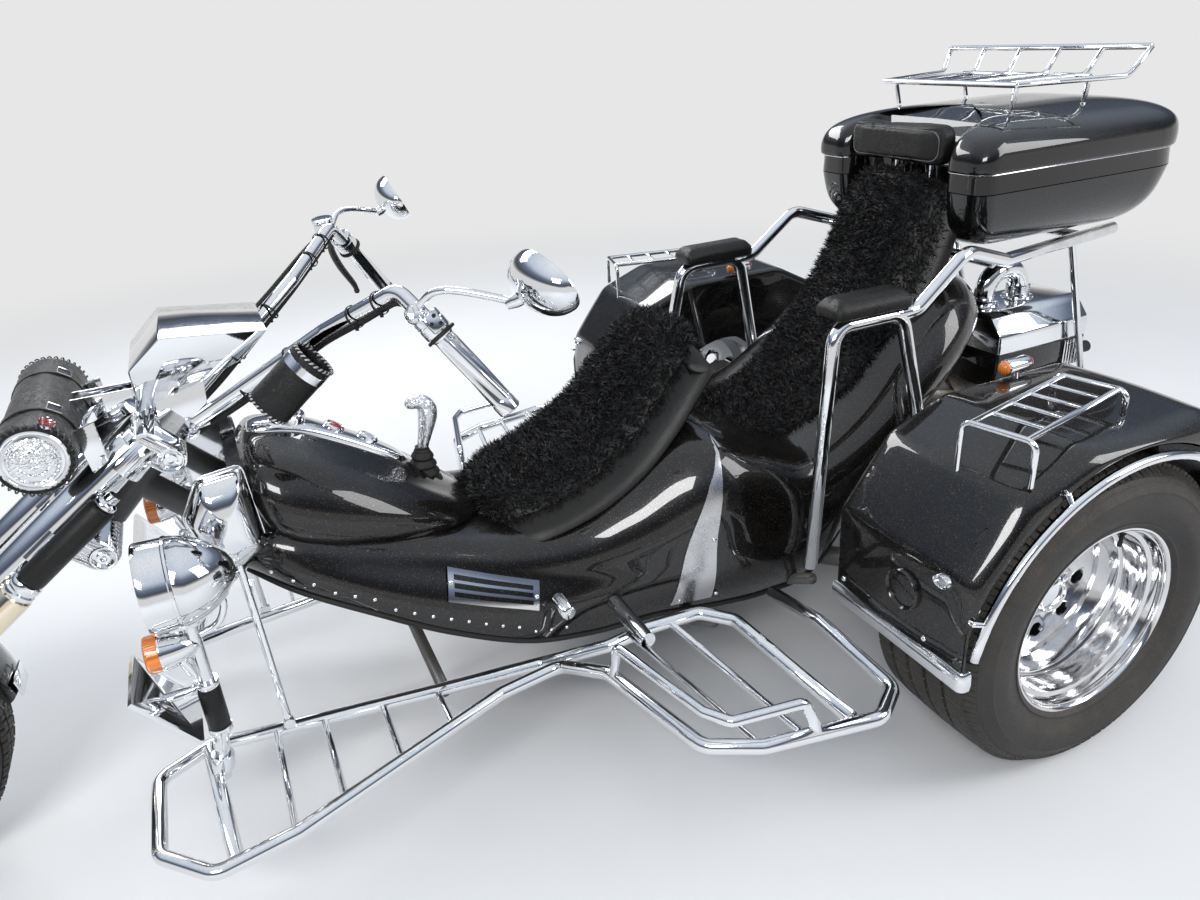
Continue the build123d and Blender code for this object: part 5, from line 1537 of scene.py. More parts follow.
# %% Pin screws on the arch tubes
pins = []
for side in (1, -1):
    for angle in (22, 62, 118, 158):
        ray = ray_at(math.radians(angle))
        pins.append((spot(0, side * 0.8722, wheel_z) + ray * 0.398, Vector((0, 0, 1)).cross(ray), aside(side)))
pinned = set_on_points("arch_pin_screws", screw_head(), pins, chrome_trim, 1.1)
dress(pinned, chrome_trim, "chassis", "chrome_trim")
print("fender screws:", len(screws) + len(pins))


# %% [markdown]
# A wheel is turned, so each part of it is a profile and an axis. The rear rims are very deep: a rolled lip, two
# steps, a long polished barrel and a pressed centre far inside, with round holes, a ring of nuts and a cap. The
# centre is built sector by sector. Each sector is a net between a hole's circle and the sector's own edge, which
# gives a true hole with an even mesh around it.

# %% Rim centres with true holes


def holed_centre(name, place, axis, inner, outer, holes, hole_at, hole_radius, dish, thickness=0.007):
    """Make a pressed wheel centre with round holes. Dish gives how far it bows between hub and barrel."""
    axis = Vector(axis).normalized()
    up = Vector((0, 0, 1))
    ahead = up.cross(axis)
    half = math.pi / holes
    edge = [(outer, -half + 2 * half * at / 8) for at in range(8)]
    edge += [(outer + (inner - outer) * at / 6, half) for at in range(6)]
    edge += [(inner, half - 2 * half * at / 4) for at in range(4)]
    edge += [(inner + (outer - inner) * at / 6, -half) for at in range(6)]
    points, faces = [], []
    for hole in range(holes):
        turn = 2 * half * hole
        middle = Vector((hole_at, 0))
        start = len(points)
        for ring in range(5):
            share = (ring / 4) ** 1.4
            for radius, angle in edge:
                rim = Vector((radius * math.cos(angle), radius * math.sin(angle)))
                flat = middle + (rim - middle).normalized() * hole_radius
                flat = flat.lerp(rim, share)
                bow = dish * math.sin(math.pi * min(max((flat.length - inner) / (outer - inner), 0), 1))
                lipped = 0.003 * max(0.0, 1 - share * 5)
                out_x = flat.x * math.cos(turn) - flat.y * math.sin(turn)
                out_z = flat.x * math.sin(turn) + flat.y * math.cos(turn)
                points.append(Vector(place) + ahead * out_x + up * out_z + axis * (bow - lipped))
        faces += net(5, len(edge), start=start)
    made = mesh_from(name, points, faces)
    thick = made.modifiers.new("thick", "SOLIDIFY")
    thick.thickness = thickness
    thick.offset = 0
    return smooth(apply_modifiers(made), 40)


def nut_pattern():
    """Make a domed hexagon nut."""
    radius, height = 0.0085, 0.016
    rows = [(radius, -0.002), (radius, height * 0.55), (radius * 0.92, height * 0.62)]
    rings = [
        [Vector((r * math.cos(math.pi * at / 3), r * math.sin(math.pi * at / 3), z)) for at in range(6)]
        for r, z in rows
    ]
    hexagon = skin("nut", rings)
    crown_rows = [(radius * 0.72, height * 0.6), (radius * 0.62, height * 0.9), (0.0, height)]
    crown = lathe("crown", crown_rows, (0, 0, 0), (0, 0, 1), count=18)
    return smooth(join("nut", [hexagon, crown]), 30)


# %% [markdown]
# The tyre's carcass is turned as well, with its bead, a rim guard, a bulging side and ring ridges. The tread is
# real rubber: blocks with a fine cut through each, set in rows round the crown by Geometry Nodes, with longer
# blocks over the shoulders. There is no lettering.

# %% Tyres


def tread_block(length, width, height, skew):
    """Make a tread block of two halves with a fine cut between them."""
    points, faces = [], []
    for low, high in ((-1.0, -0.06), (0.06, 1.0)):
        first = len(points)
        for z, shrink in ((-0.004, 1.0), (height, 0.93)):
            for u, v in ((low, -1), (high, -1), (high, 1), (low, 1)):
                points.append(
                    ((u * length / 2 + v * skew / 2) * (shrink if abs(u) == 1 else 1), v * width / 2 * shrink, z)
                )
        faces.append(tuple(first + at for at in (4, 5, 6, 7)))
        faces.extend(tuple(first + at for at in (a, b, b + 4, a + 4)) for a, b in ((0, 1), (1, 2), (2, 3), (3, 0)))
    return mesh_from("block", points, faces)


def make_tyre(name, place, body, side, radius, half_width, bead_radius, bead_half, ribs, block_count):
    """Make a tyre: its turned carcass, and its tread set on as blocks. Ribs are (y, width, skew) rows."""
    shoulder_y, shoulder_r = half_width * 0.84, radius - half_width * 0.12
    belly = (radius + bead_radius) / 2
    depth, block_gap = 0.0075, 0.0042
    wall = [
        (bead_radius, bead_half - 0.012), (bead_radius + 0.006, bead_half), (bead_radius + 0.012, bead_half + 0.006),
        (bead_radius + 0.020, bead_half + 0.013), (bead_radius + 0.023, bead_half + 0.0135),
        (bead_radius + 0.026, bead_half + 0.0125), (belly - 0.020, half_width - 0.0025), (belly, half_width - 0.0003),
        (belly + 0.018, half_width - 0.002), (belly + 0.020, half_width - 0.0012),
        (belly + 0.023, half_width - 0.0025), (shoulder_r - 0.018, shoulder_y + 0.013),
        (shoulder_r - 0.015, shoulder_y + 0.012), (shoulder_r - 0.004, shoulder_y + 0.003),
        (shoulder_r - 0.004, shoulder_y - 0.004), (radius - depth - 0.004, half_width * 0.5), (radius - depth, 0.0),
    ]
    fine = [tuple(row) for row in flow(wall, 4)]
    profile = fine + [(r, -y) for r, y in reversed(fine[:-1])]
    carcass = lathe(name + "_carcass", profile, place, (0, side, 0), count=144)
    rows = []
    for rib, (y, _, _) in enumerate(ribs):
        here = radius - depth - 0.0045 * (y / shoulder_y) ** 2
        for at in range(block_count):
            angle = 2 * math.pi * (at + 0.5 * (rib % 2)) / block_count
            out = ray_at(angle)
            foot = Vector(place) + out * here + aside(y)
            rows.append((foot, tangent_at(angle), out + aside(0.10 * y / shoulder_y)))
    length = 2 * math.pi * radius / block_count - block_gap
    tread = set_on_points(name + "_tread", tread_block(length, ribs[0][1], depth, ribs[0][2]), rows, tyre_rubber)
    edge_rows = []
    for way in (1, -1):
        for at in range(block_count):
            angle = 2 * math.pi * (at + 0.25) / block_count
            out = ray_at(angle)
            tilt = (out + aside(way * 0.55)).normalized()
            foot = Vector(place) + out * (shoulder_r - 0.0015) + aside(way * (shoulder_y - 0.010))
            edge_rows.append((foot, tangent_at(angle), tilt))
    edge = set_on_points(
        name + "_edge", tread_block(length, half_width * 0.26, depth * 0.85, 0.0), edge_rows, tyre_rubber
    )
    whole = smooth(join(name + "_rubber", [carcass, tread, edge]), 35)
    dress(whole, tyre_rubber, body, "tyre", name)
    return whole


rear_ribs = [(y, 0.040, 0.010) for y in (-0.0925, -0.0465, 0.0, 0.0465, 0.0925)]
front_ribs = [(y, 0.024, 0.007) for y in (-0.028, 0.0, 0.028)]
for side, name in both_sides:
    place = spot(0, side * 0.7225, wheel_z)
    make_tyre(name + "_tyre", place, name + "_wheel", side, wheel_z, 0.1475, 0.193, 0.1205, rear_ribs, 66)
make_tyre("front_tyre", front_axle, "front_wheel", 1, front_wheel_z, 0.0650, 0.204, 0.0430, front_ribs, 72)

# %% [markdown]
# Each rear rim is one turned profile: round the lip, down the steps, through the barrel and back. A single skin gives
# every step its clean bright line. The centre plate, the cap, the nuts and the valve are then set into it, and each of
# them rides on the wheel's body.

# %% Rear rims
rear_rim_profile = [
    # radius, distance out from the trike's middle: round the lip, down the steps, through the barrel and back
    (0.1935, 0.8300), (0.1945, 0.8400), (0.2010, 0.8425), (0.2055, 0.8440), (0.2065, 0.8470), (0.2050, 0.8497),
    (0.2015, 0.8500), (0.1985, 0.8475), (0.1965, 0.8420), (0.1955, 0.8330), (0.1945, 0.8240), (0.1900, 0.8195),
    (0.1845, 0.8180), (0.1815, 0.8165), (0.1805, 0.8120), (0.1800, 0.7900), (0.1795, 0.7680), (0.1780, 0.7640),
    (0.1720, 0.7625), (0.1690, 0.7610), (0.1680, 0.7560), (0.1672, 0.7200), (0.1665, 0.6900), (0.1700, 0.6400),
    (0.1850, 0.6050), (0.1965, 0.6015), (0.2050, 0.5985), (0.2060, 0.5955), (0.2060, 0.5990), (0.1990, 0.6060),
    (0.1905, 0.6080), (0.1900, 0.8250),
]
for side, name in both_sides:
    axle_point = spot(0, 0, wheel_z)
    out = aside(side)
    body = name + "_wheel"
    dress_turned(
        name + "_barrel", rear_rim_profile, axle_point, out, 144, 38, wheel_chrome, body, "wheel_chrome",
        name + "_rim", closed=True,
    )
    centre = holed_centre(name + "_centre", axle_point + out * 0.712, out, 0.040, 0.168, 8, 0.100, 0.0185, 0.008)
    dress(centre, wheel_chrome, body, "wheel_chrome")
    cap_rows = [
        (0.062, 0.700), (0.060, 0.716), (0.056, 0.722), (0.044, 0.724), (0.0385, 0.728), (0.0380, 0.744),
        (0.0365, 0.7485), (0.0340, 0.7500), (0.0315, 0.7490), (0.0305, 0.7465), (0.0290, 0.7460), (0.0200, 0.7490),
        (0.0100, 0.7508), (0.0, 0.7512),
    ]
    dress_turned(name + "_cap", cap_rows, axle_point, out, 72, 30, chrome, body, "wheel_chrome")
    nuts = []
    for angle in circle(5):
        ray = ray_at(angle + 0.3)
        nuts.append((axle_point + out * 0.720 + ray * 0.0545, ray, out))
    dress(set_on_points(name + "_nuts", nut_pattern(), nuts, chrome), chrome, body, "wheel_chrome")
    valve_ray = Vector((-0.62, 0, 0.78))
    valve_foot = axle_point + out * 0.790 + valve_ray * 0.181
    valve_rows = [
        (0.0075, 0.0), (0.0072, 0.004), (0.0042, 0.007), (0.0038, 0.020), (0.0046, 0.0205), (0.0046, 0.029),
        (0.0035, 0.031), (0.0, 0.0312),
    ]
    dress_turned(name + "_valve", valve_rows, valve_foot, out * 0.35 - valve_ray, 20, 35, rubber, body, "rubber")
print("rear rims: 2")

# %% [markdown]
# The front wheel is narrow, with windows in its centre that show from both sides, and a brake disc on its left.

# %% Front rim and brake disc
front_profile = [
    (0.203, 0.0400), (0.2095, 0.0425), (0.2118, 0.0445), (0.2118, 0.0470), (0.2095, 0.0478), (0.2060, 0.0465),
    (0.2030, 0.0420), (0.1985, 0.0380), (0.1940, 0.0340), (0.1905, 0.0200), (0.1895, 0.0),
]
front_profile += [(r, -y) for r, y in reversed(front_profile[:-1])] + [(0.1985, -0.030), (0.1985, 0.030)]
dress_turned(
    "front_barrel", front_profile, front_axle, (0, 1, 0), 144, 38, wheel_chrome, "front_wheel", "wheel_chrome",
    "front_rim", closed=True,
)
dress(
    holed_centre("front_centre_plate", front_axle, (0, 1, 0), 0.034, 0.1915, 6, 0.116, 0.034, 0.0, 0.014),
    wheel_chrome, "front_wheel", "wheel_chrome",
)
hub_profile = [
    (0.0103, -0.0708), (0.030, -0.0708), (0.034, -0.066), (0.036, -0.045), (0.044, -0.022), (0.048, -0.008),
    (0.048, 0.008), (0.044, 0.022), (0.036, 0.045), (0.034, 0.066), (0.030, 0.0708), (0.0103, 0.0708),
]
dress_turned(
    "front_hub", hub_profile, front_axle, (0, 1, 0), 72, 35, wheel_chrome, "front_wheel", "wheel_chrome", closed=True
)
disc_profile = [
    (0.070, 0.050), (0.071, 0.0545), (0.135, 0.0545), (0.136, 0.0535), (0.136, 0.0505), (0.135, 0.0495),
    (0.071, 0.0495),
]
dress_turned(
    "front_disc", disc_profile, front_axle, (0, 1, 0), 96, 35, brushed_metal, "front_wheel", "wheel_chrome",
    closed=True,
)
carrier = [(0.036, 0.046), (0.060, 0.0485), (0.074, 0.0495), (0.074, 0.0515), (0.058, 0.0520), (0.036, 0.0500)]
dress_turned(
    "disc_carrier", carrier, front_axle, (0, 1, 0), 72, 35, dark_casting, "front_wheel", "wheel_chrome", closed=True
)
print("front rim done")


# %% [markdown]
# The fork turns as one body. Each side has a bright tube with a flat top, and beside it a damper: a black sleeve
# above, a golden cylinder below, and polished fittings between them. Both lie along the same slanted line, so one
# small function gives any point by its distance down that line, its place across, and its height above the line.

# %% The fork's tubes and dampers
steering = body_of["fork_legs"]
leg_top = spot(1.600, 0, 0.828)
leg_along = (front_axle - leg_top).normalized()
leg_up = Vector((-leg_along.z, 0, leg_along.x))
leg_y = 0.105
damper_y, damper_rise = 0.158, -0.012


def down_leg(distance, y, rise=0.0):
    """Give a point at a distance down the fork's line, across it and above it."""
    return leg_top + leg_along * distance + leg_up * rise + aside(y)


fork_parts = [
    # name, y, rise, finish, profile of (radius, distance)
    (
        "tube", leg_y, 0.010, chrome,
        [(0.0, -0.003), (0.0295, -0.003), (0.0325, -0.0015), (0.0338, 0.002), (0.0338, 0.500), (0.0320, 0.505)],
    ),
    (
        "lower_tube", leg_y, 0.004, chrome,
        [(0.0300, 0.490), (0.0300, 0.505), (0.0275, 0.510), (0.0275, 0.865), (0.024, 0.880), (0.0, 0.882)],
    ),
    ("tube_ring", leg_y, 0.010, chrome_trim, [(0.0335, 0.482), (0.0355, 0.485), (0.0355, 0.497), (0.0335, 0.500)]),
    ("sleeve", damper_y, damper_rise, seat_vinyl, [
        (0.0, 0.106), (0.021, 0.106), (0.0235, 0.109), (0.0242, 0.114), (0.0242, 0.274), (0.0235, 0.280),
        (0.019, 0.283),
    ]),
    ("sleeve_head", damper_y, damper_rise, chrome, [
        (0.0, 0.076), (0.010, 0.076), (0.012, 0.079), (0.012, 0.090), (0.018, 0.094), (0.0195, 0.097),
        (0.0195, 0.101), (0.018, 0.104), (0.016, 0.106),
    ]),
    ("sleeve_foot", damper_y, damper_rise, chrome, [
        (0.019, 0.281), (0.0255, 0.284), (0.0265, 0.287), (0.0265, 0.294), (0.0245, 0.297), (0.0245, 0.301),
        (0.0270, 0.304), (0.0270, 0.311), (0.025, 0.314),
    ]),
    (
        "golden_cylinder", damper_y, damper_rise, tinted_chrome,
        [(0.024, 0.310), (0.0290, 0.315), (0.0295, 0.320), (0.0295, 0.610), (0.0285, 0.616), (0.014, 0.620)],
    ),
    (
        "damper_rod", damper_y, damper_rise, chrome,
        [(0.010, 0.612), (0.010, 0.800), (0.015, 0.803), (0.015, 0.835), (0.0, 0.837)],
    ),
]
for side, side_name in both_sides:
    for part, y, rise, finish, profile in fork_parts:
        dress_turned(
            side_name + "_fork_" + part, profile, down_leg(0, side * y, rise), leg_along, 72, 38, finish, steering,
            "chrome",
        )
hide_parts("fork_legs")
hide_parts("dampers")

# %% [markdown]
# At the wheel each tube ends in a lug that holds the axle, and a link joins the damper's eye to it.

# %% Axle, lugs and damper eyes
fittings = []
for side in (1, -1):
    lug = [(0.0, 0.074), (0.026, 0.074), (0.029, 0.077), (0.029, 0.131), (0.026, 0.134), (0.0, 0.134)]
    fittings.append(lathe("lug", lug, front_axle, (0, side, 0), count=40))
    nut = [
        (0.0, 0.134), (0.019, 0.134), (0.019, 0.137), (0.0155, 0.138), (0.0155, 0.149), (0.013, 0.152), (0.0, 0.152)
    ]
    fittings.append(lathe("nut", nut, front_axle, (0, side, 0), count=6))
    eye_centre = down_leg(0.822, side * damper_y, damper_rise)
    eye = [(0.0, -0.017), (0.018, -0.017), (0.020, -0.014), (0.020, 0.014), (0.018, 0.017), (0.0, 0.017)]
    fittings.append(lathe("eye", eye, eye_centre, (0, 1, 0), count=32))
    fittings.append(pipe("link", [eye_centre, down_leg(0.834, side * 0.120, 0.0)], [0.012, 0.012], 20))
    for distance in (0.330, 0.590):
        ends = [down_leg(distance, side * damper_y, damper_rise), down_leg(distance, side * 0.118, 0.006)]
        fittings.append(pipe("bracket", ends, [0.010, 0.010], 16))
fittings.append(pipe("axle", [front_axle + aside(y) for y in (-0.12, 0.12)], [0.0098, 0.0098], 24))
dress_joined("fork_fittings", fittings, 35, chrome, steering, "chrome")


# %% [markdown]
# The clamps are finned castings with a polished face. Their fins are thin ribs that run lengthwise on each end face,
# and a round recess with a socket bolt closes the end on the steering axis.

# %% The clamps' ribs and bolt recesses
stem_down = ray_at(math.radians(-46))
stem_ahead = Vector((-stem_down.z, 0, stem_down.x))
head = spot(1.556, 0, 0.806)
rib_pitch, nose_radius, bar_pitch, bar_reach = 0.0056, 0.0235, 0.0165, 0.0272
ribs, recesses = [], []
for distance, ahead in ((0.0, 0.046), (0.218, 0.066)):
    centre = head + stem_down * distance
    for side in (1, -1):
        face_y = side * 0.1352
        for rib in range(-4, 5):
            offset = stem_down * (rib * rib_pitch)
            near = math.sqrt(max(0.0, nose_radius ** 2 - (rib * rib_pitch) ** 2))
            start = centre + offset + stem_ahead * (0.0 if abs(rib) > 3 else near * 0.98) + aside(face_y)
            end = centre + offset + stem_ahead * (ahead + 0.020 - abs(rib) * 0.0025) + aside(face_y)
            ribs.append(pipe("rib", [start, end], [0.0017, 0.0017], 8))
        for step in range(-7, 8):
            if side > 0:
                ring = []
                for at in range(13):
                    angle = -math.pi / 2 + math.pi * at / 12
                    back, down = bar_reach * math.cos(angle), bar_reach * math.sin(angle)
                    ring.append(centre - stem_ahead * back + stem_down * down + aside(step * bar_pitch))
                ribs.append(pipe("rib", ring, [0.0018] * len(ring), 8))
        recess = [
            (0.0225, -0.001), (0.0235, 0.0022), (0.0220, 0.0036), (0.0200, 0.0036), (0.0190, 0.0018),
            (0.0185, -0.0006), (0.0130, -0.0006), (0.0125, 0.0022), (0.0105, 0.0034), (0.0060, 0.0034),
            (0.0055, -0.0015), (0.0, -0.0015),
        ]
        recesses.append(lathe("recess", recess, centre + aside(face_y), (0, side, 0), count=48))
dress_joined("clamp_ribs", ribs, 50, brushed_metal, steering, "chrome")
dress_joined("clamp_recesses", recesses, 30, chrome_trim, steering, "chrome_trim")
print("clamp ribs:", len(ribs), "recesses:", len(recesses))

# %% [markdown]
# The instrument box is a folded, polished shell with flat facets: a broad top that mirrors the sky, slanted sides
# under it, and a pointed front. Flat facets need small bevels, or their edges would look like paper.

# %% The instrument box
box_corners = [
    # x ahead, half width, z
    (1.588, 0.060, 0.880), (1.584, 0.100, 0.968), (1.522, 0.118, 1.022), (1.345, 0.112, 1.002), (1.392, 0.100, 0.955),
    (1.560, 0.070, 0.886),
]
box_shape = bmesh.new()
for x, half, z in box_corners:
    for side in (1, -1):
        box_shape.verts.new(spot(x, side * half, z))
bmesh.ops.convex_hull(box_shape, input=box_shape.verts)
bmesh.ops.dissolve_limit(box_shape, angle_limit=math.radians(4), verts=box_shape.verts, edges=box_shape.edges)
box_mesh = bpy.data.meshes.new("instrument_shell")
box_shape.to_mesh(box_mesh)
box_shape.free()
instrument_shell = bpy.data.objects.new("instrument_shell", box_mesh)
scene.collection.objects.link(instrument_shell)


def soft_edges(thing, width, segments=3):
    """Round the edges of a plain form with a small bevel."""
    bevel = thing.modifiers.new("edges", "BEVEL")
    bevel.width = width
    bevel.segments = segments
    bevel.angle_limit = math.radians(20)
    return smooth(apply_modifiers(thing), 30)


def plate(name, corners, thickness, width=0.0012):
    """Make a flat plate from its corners in order, with a thickness and soft edges."""
    points = [Vector(c) for c in corners]
    normal = geometry.normal(points)
    count = len(points)
    both = [p + normal * thickness / 2 for p in points] + [p - normal * thickness / 2 for p in points]
    faces = [tuple(range(count)), tuple(range(2 * count - 1, count - 1, -1))]
    faces += [(at, (at + 1) % count, count + (at + 1) % count, count + at) for at in range(count)]
    return soft_edges(mesh_from(name, both, faces), min(width, thickness * 0.4), 2)


soft_edges(instrument_shell, 0.003)
dress(instrument_shell, chrome, steering, "chrome", "instrument_box")
mount_corners = [(1.560, 0.072, 0.902), (1.470, 0.085, 0.925), (1.478, 0.085, 0.838), (1.560, 0.072, 0.822)]
mount_parts = [plate("mount_side", spots(mount_corners, side), 0.003) for side in (1, -1)]
mount_parts.append(pipe("mount_post", [spot(1.552, 0, 0.842), spot(1.552, 0, 0.900)], [0.016, 0.016], 28))
dress_joined("instrument_mount", mount_parts, 35, chrome_trim, steering, "chrome_trim")

# %% [markdown]
# The tool roll is a stuffed leather cylinder between two end caps, each a disc of cast relief in a bright ring. Its
# leather sags in soft creases, which noise gives along the cylinder; lacing in light thread runs round both rims, and
# two straps with buckles close it.

# %% The leather tool roll
roll_place = spot(1.745, 0, 0.880)
roll_radius, roll_half = 0.061, 0.198
strap_y, buckle_angle = 0.105, 2.2
roll_rings = []
for at in range(121):
    y = -roll_half + 2 * roll_half * at / 120
    edge = min(1.0, (roll_half - abs(y)) / 0.012)
    ring = []
    for angle in circle(104):
        out = ray_at(angle)
        crease = noise.noise(Vector((math.cos(angle) * 1.6, y * 9.0, math.sin(angle) * 1.6))) * 0.0030
        crease += noise.noise(Vector((math.cos(angle) * 5, y * 42.0, math.sin(angle) * 5 + 3))) * 0.0010
        strap_pull = -0.0026 * sum(math.exp(-((y - place) / 0.014) ** 2) for place in (-strap_y, strap_y))
        radius = roll_radius * (0.955 + 0.045 * math.sqrt(edge)) + (crease + strap_pull) * edge
        ring.append(roll_place + out * radius + aside(y))
    roll_rings.append(ring)
roll_skin = smooth(skin("roll_leather", roll_rings), 60)
dress(roll_skin, leather, steering, "leather", "tool_roll")
straps, bright, laces, medals = [], [], [], []
for y in (-strap_y, strap_y):
    strap = [
        (roll_radius - 0.002, -0.012), (roll_radius + 0.0016, -0.0115), (roll_radius + 0.0016, 0.0115),
        (roll_radius - 0.002, 0.012),
    ]
    straps.append(lathe("strap", strap, roll_place + aside(y), (0, 1, 0), count=96))
    buckle_place = roll_place + ray_at(buckle_angle) * (roll_radius + 0.003) + aside(y)
    tangent = tangent_at(buckle_angle)
    frame_points = [
        buckle_place + tangent * u + aside(v)
        for u, v in ((-0.012, -0.016), (0.012, -0.016), (0.012, 0.016), (-0.012, 0.016), (-0.012, -0.016))
    ]
    bright.append(pipe("buckle", frame_points, [0.0018] * 5, 8))
for side in (1, -1):
    cap = [
        (0.0400, 0.0030), (0.0440, 0.0020), (0.0455, 0.0005), (0.0470, 0.0030), (0.0500, 0.0036), (0.0520, 0.0020),
        (0.0525, -0.004),
    ]
    medal = [
        (0.0, 0.0105), (0.0050, 0.0100), (0.0075, 0.0080), (0.0095, 0.0088), (0.0190, 0.0078), (0.0215, 0.0062),
        (0.0240, 0.0072), (0.0330, 0.0056), (0.0350, 0.0038), (0.0375, 0.0044), (0.0400, 0.0030),
    ]
    for profile, into in ((cap, bright), (medal, medals)):
        into.append(lathe("cap", profile, roll_place + aside(side * roll_half), (0, side, 0), count=72))
    for angle in circle(34):
        out = ray_at(angle)
        turn_on = ray_at(angle + 0.09)
        here = roll_place + aside(side * (roll_half - 0.006)) + out * (roll_radius + 0.0010)
        over = roll_place + aside(side * (roll_half + 0.0036)) + turn_on * (roll_radius - 0.0035)
        middle = (here + over) / 2 + (out + aside(side)) * 0.0022
        laces.append(tube("lace", [here, middle, over], 0.0014, 3, 6))
dress_joined("roll_straps", straps, 40, leather, steering, "leather")
dress_joined("roll_caps", bright, 30, chrome, steering, "chrome_trim")
dress_joined("roll_medals", medals, 30, cast_chrome, steering, "chrome_trim")
dress_joined("roll_laces", laces, 60, stitch_thread, steering, "leather")
ringed_lens(
    "roll_marker", roll_place + Vector((-0.030, roll_half - 0.014, roll_radius * 0.80)), (-0.45, 0.35, 0.85), 0.013,
    0.005, red_lens, steering, "red_lens",
)
bracket_corners = [(1.580, 0.915), (1.712, 0.915), (1.712, 0.845), (1.600, 0.872)]
roll_bracket = [
    plate("roll_bracket", [spot(x, side * 0.022, z) for x, z in bracket_corners], 0.005) for side in (1, -1)
]
for side in (1, -1):
    roll_bracket.append(
        pipe("roll_bar", [spot(1.690, side * 0.022, 0.876), spot(1.680, side * 0.125, 0.870)], [0.008, 0.008], 16)
    )
    clasp_corners = [(1.655, 0.905), (1.690, 0.893), (1.680, 0.812), (1.650, 0.826)]
    roll_bracket.append(plate("clasp", [spot(x, side * 0.128, z) for x, z in clasp_corners], 0.010, 0.003))
dress_joined("roll_brackets", roll_bracket, 35, chrome, steering, "chrome_trim")

# %% [markdown]
# The cup holder hangs on the left bar: an open leather cylinder with a bright band under its rim, laced all round
# the rim and the foot in two twisted threads, one light and one dark.

# %% The cup holder
cup_axis = Vector((-89, 15, 76)).normalized()
cup_foot = spot(1.378, 0.235, 0.900)
cup_side = cup_axis.orthogonal().normalized()
cup_other = cup_axis.cross(cup_side)
cup_profile = [
    (0.0, 0.0), (0.034, 0.0), (0.0385, 0.003), (0.0392, 0.010), (0.0388, 0.060), (0.0392, 0.112), (0.0386, 0.118),
    (0.0366, 0.119), (0.0352, 0.116), (0.0348, 0.100), (0.0345, 0.010), (0.0330, 0.006), (0.0, 0.006),
]
dress_turned("cup_leather", cup_profile, cup_foot, cup_axis, 96, 50, leather, steering, "leather", "cup_holder")
band_profile = [(0.0388, 0.088), (0.0402, 0.089), (0.0402, 0.104), (0.0388, 0.105)]
dress_turned("cup_band", band_profile, cup_foot, cup_axis, 96, 40, chrome_trim, steering, "chrome_trim")
light_lace, dark_lace = [], []
lace, twists = 0.0017, 26
for level, radius in ((0.1185, 0.0378), (0.0015, 0.0372)):
    for phase, store in ((0.0, light_lace), (math.pi, dark_lace)):
        line = []
        for angle in circle(240, 1):
            twist = twists * angle + phase
            out = cup_side * math.cos(angle) + cup_other * math.sin(angle)
            line.append(
                cup_foot + cup_axis * (level + lace * math.sin(twist)) + out * (radius + lace * math.cos(twist))
            )
        store.append(pipe("lace", line, [lace] * len(line), 6, False))
lace_light, tree, shader = new_material("lace_light", Roughness=0.42, Sheen_Weight=0.1)
wound = use_group(tree, fine_wear, Scale=240.0, Low=0.35, High=0.55)
colour = mix_colour(tree, wound.outputs["Height"], shade(0.26), shade(0.62))
wire(tree, shader, Base_Color=colour, Roughness=wound.outputs["Roughness"])
dress_joined("cup_lace_light", light_lace, 60, lace_light, steering, "leather")
dress_joined("cup_lace_dark", dark_lace, 60, leather, steering, "leather")
cup_hook = pipe(
    "cup_hook", spots([(1.300, 0.188, 0.982), (1.318, 0.212, 0.968), (1.330, 0.228, 0.958)]), [0.008] * 3, 12
)
dress(smooth(cup_hook, 50), chrome_trim, steering, "chrome_trim")

# %% [markdown]
# Both grips are fluted in a slow spiral. A ring of points with five soft lobes turns a little from one section to
# the next, and so the flutes wind round the grip. Behind each grip sits a bright switch unit with dark buttons.
# Only the right bar has a hand lever, in black, as in the photo; the bars, stems and mirrors are the same on both.

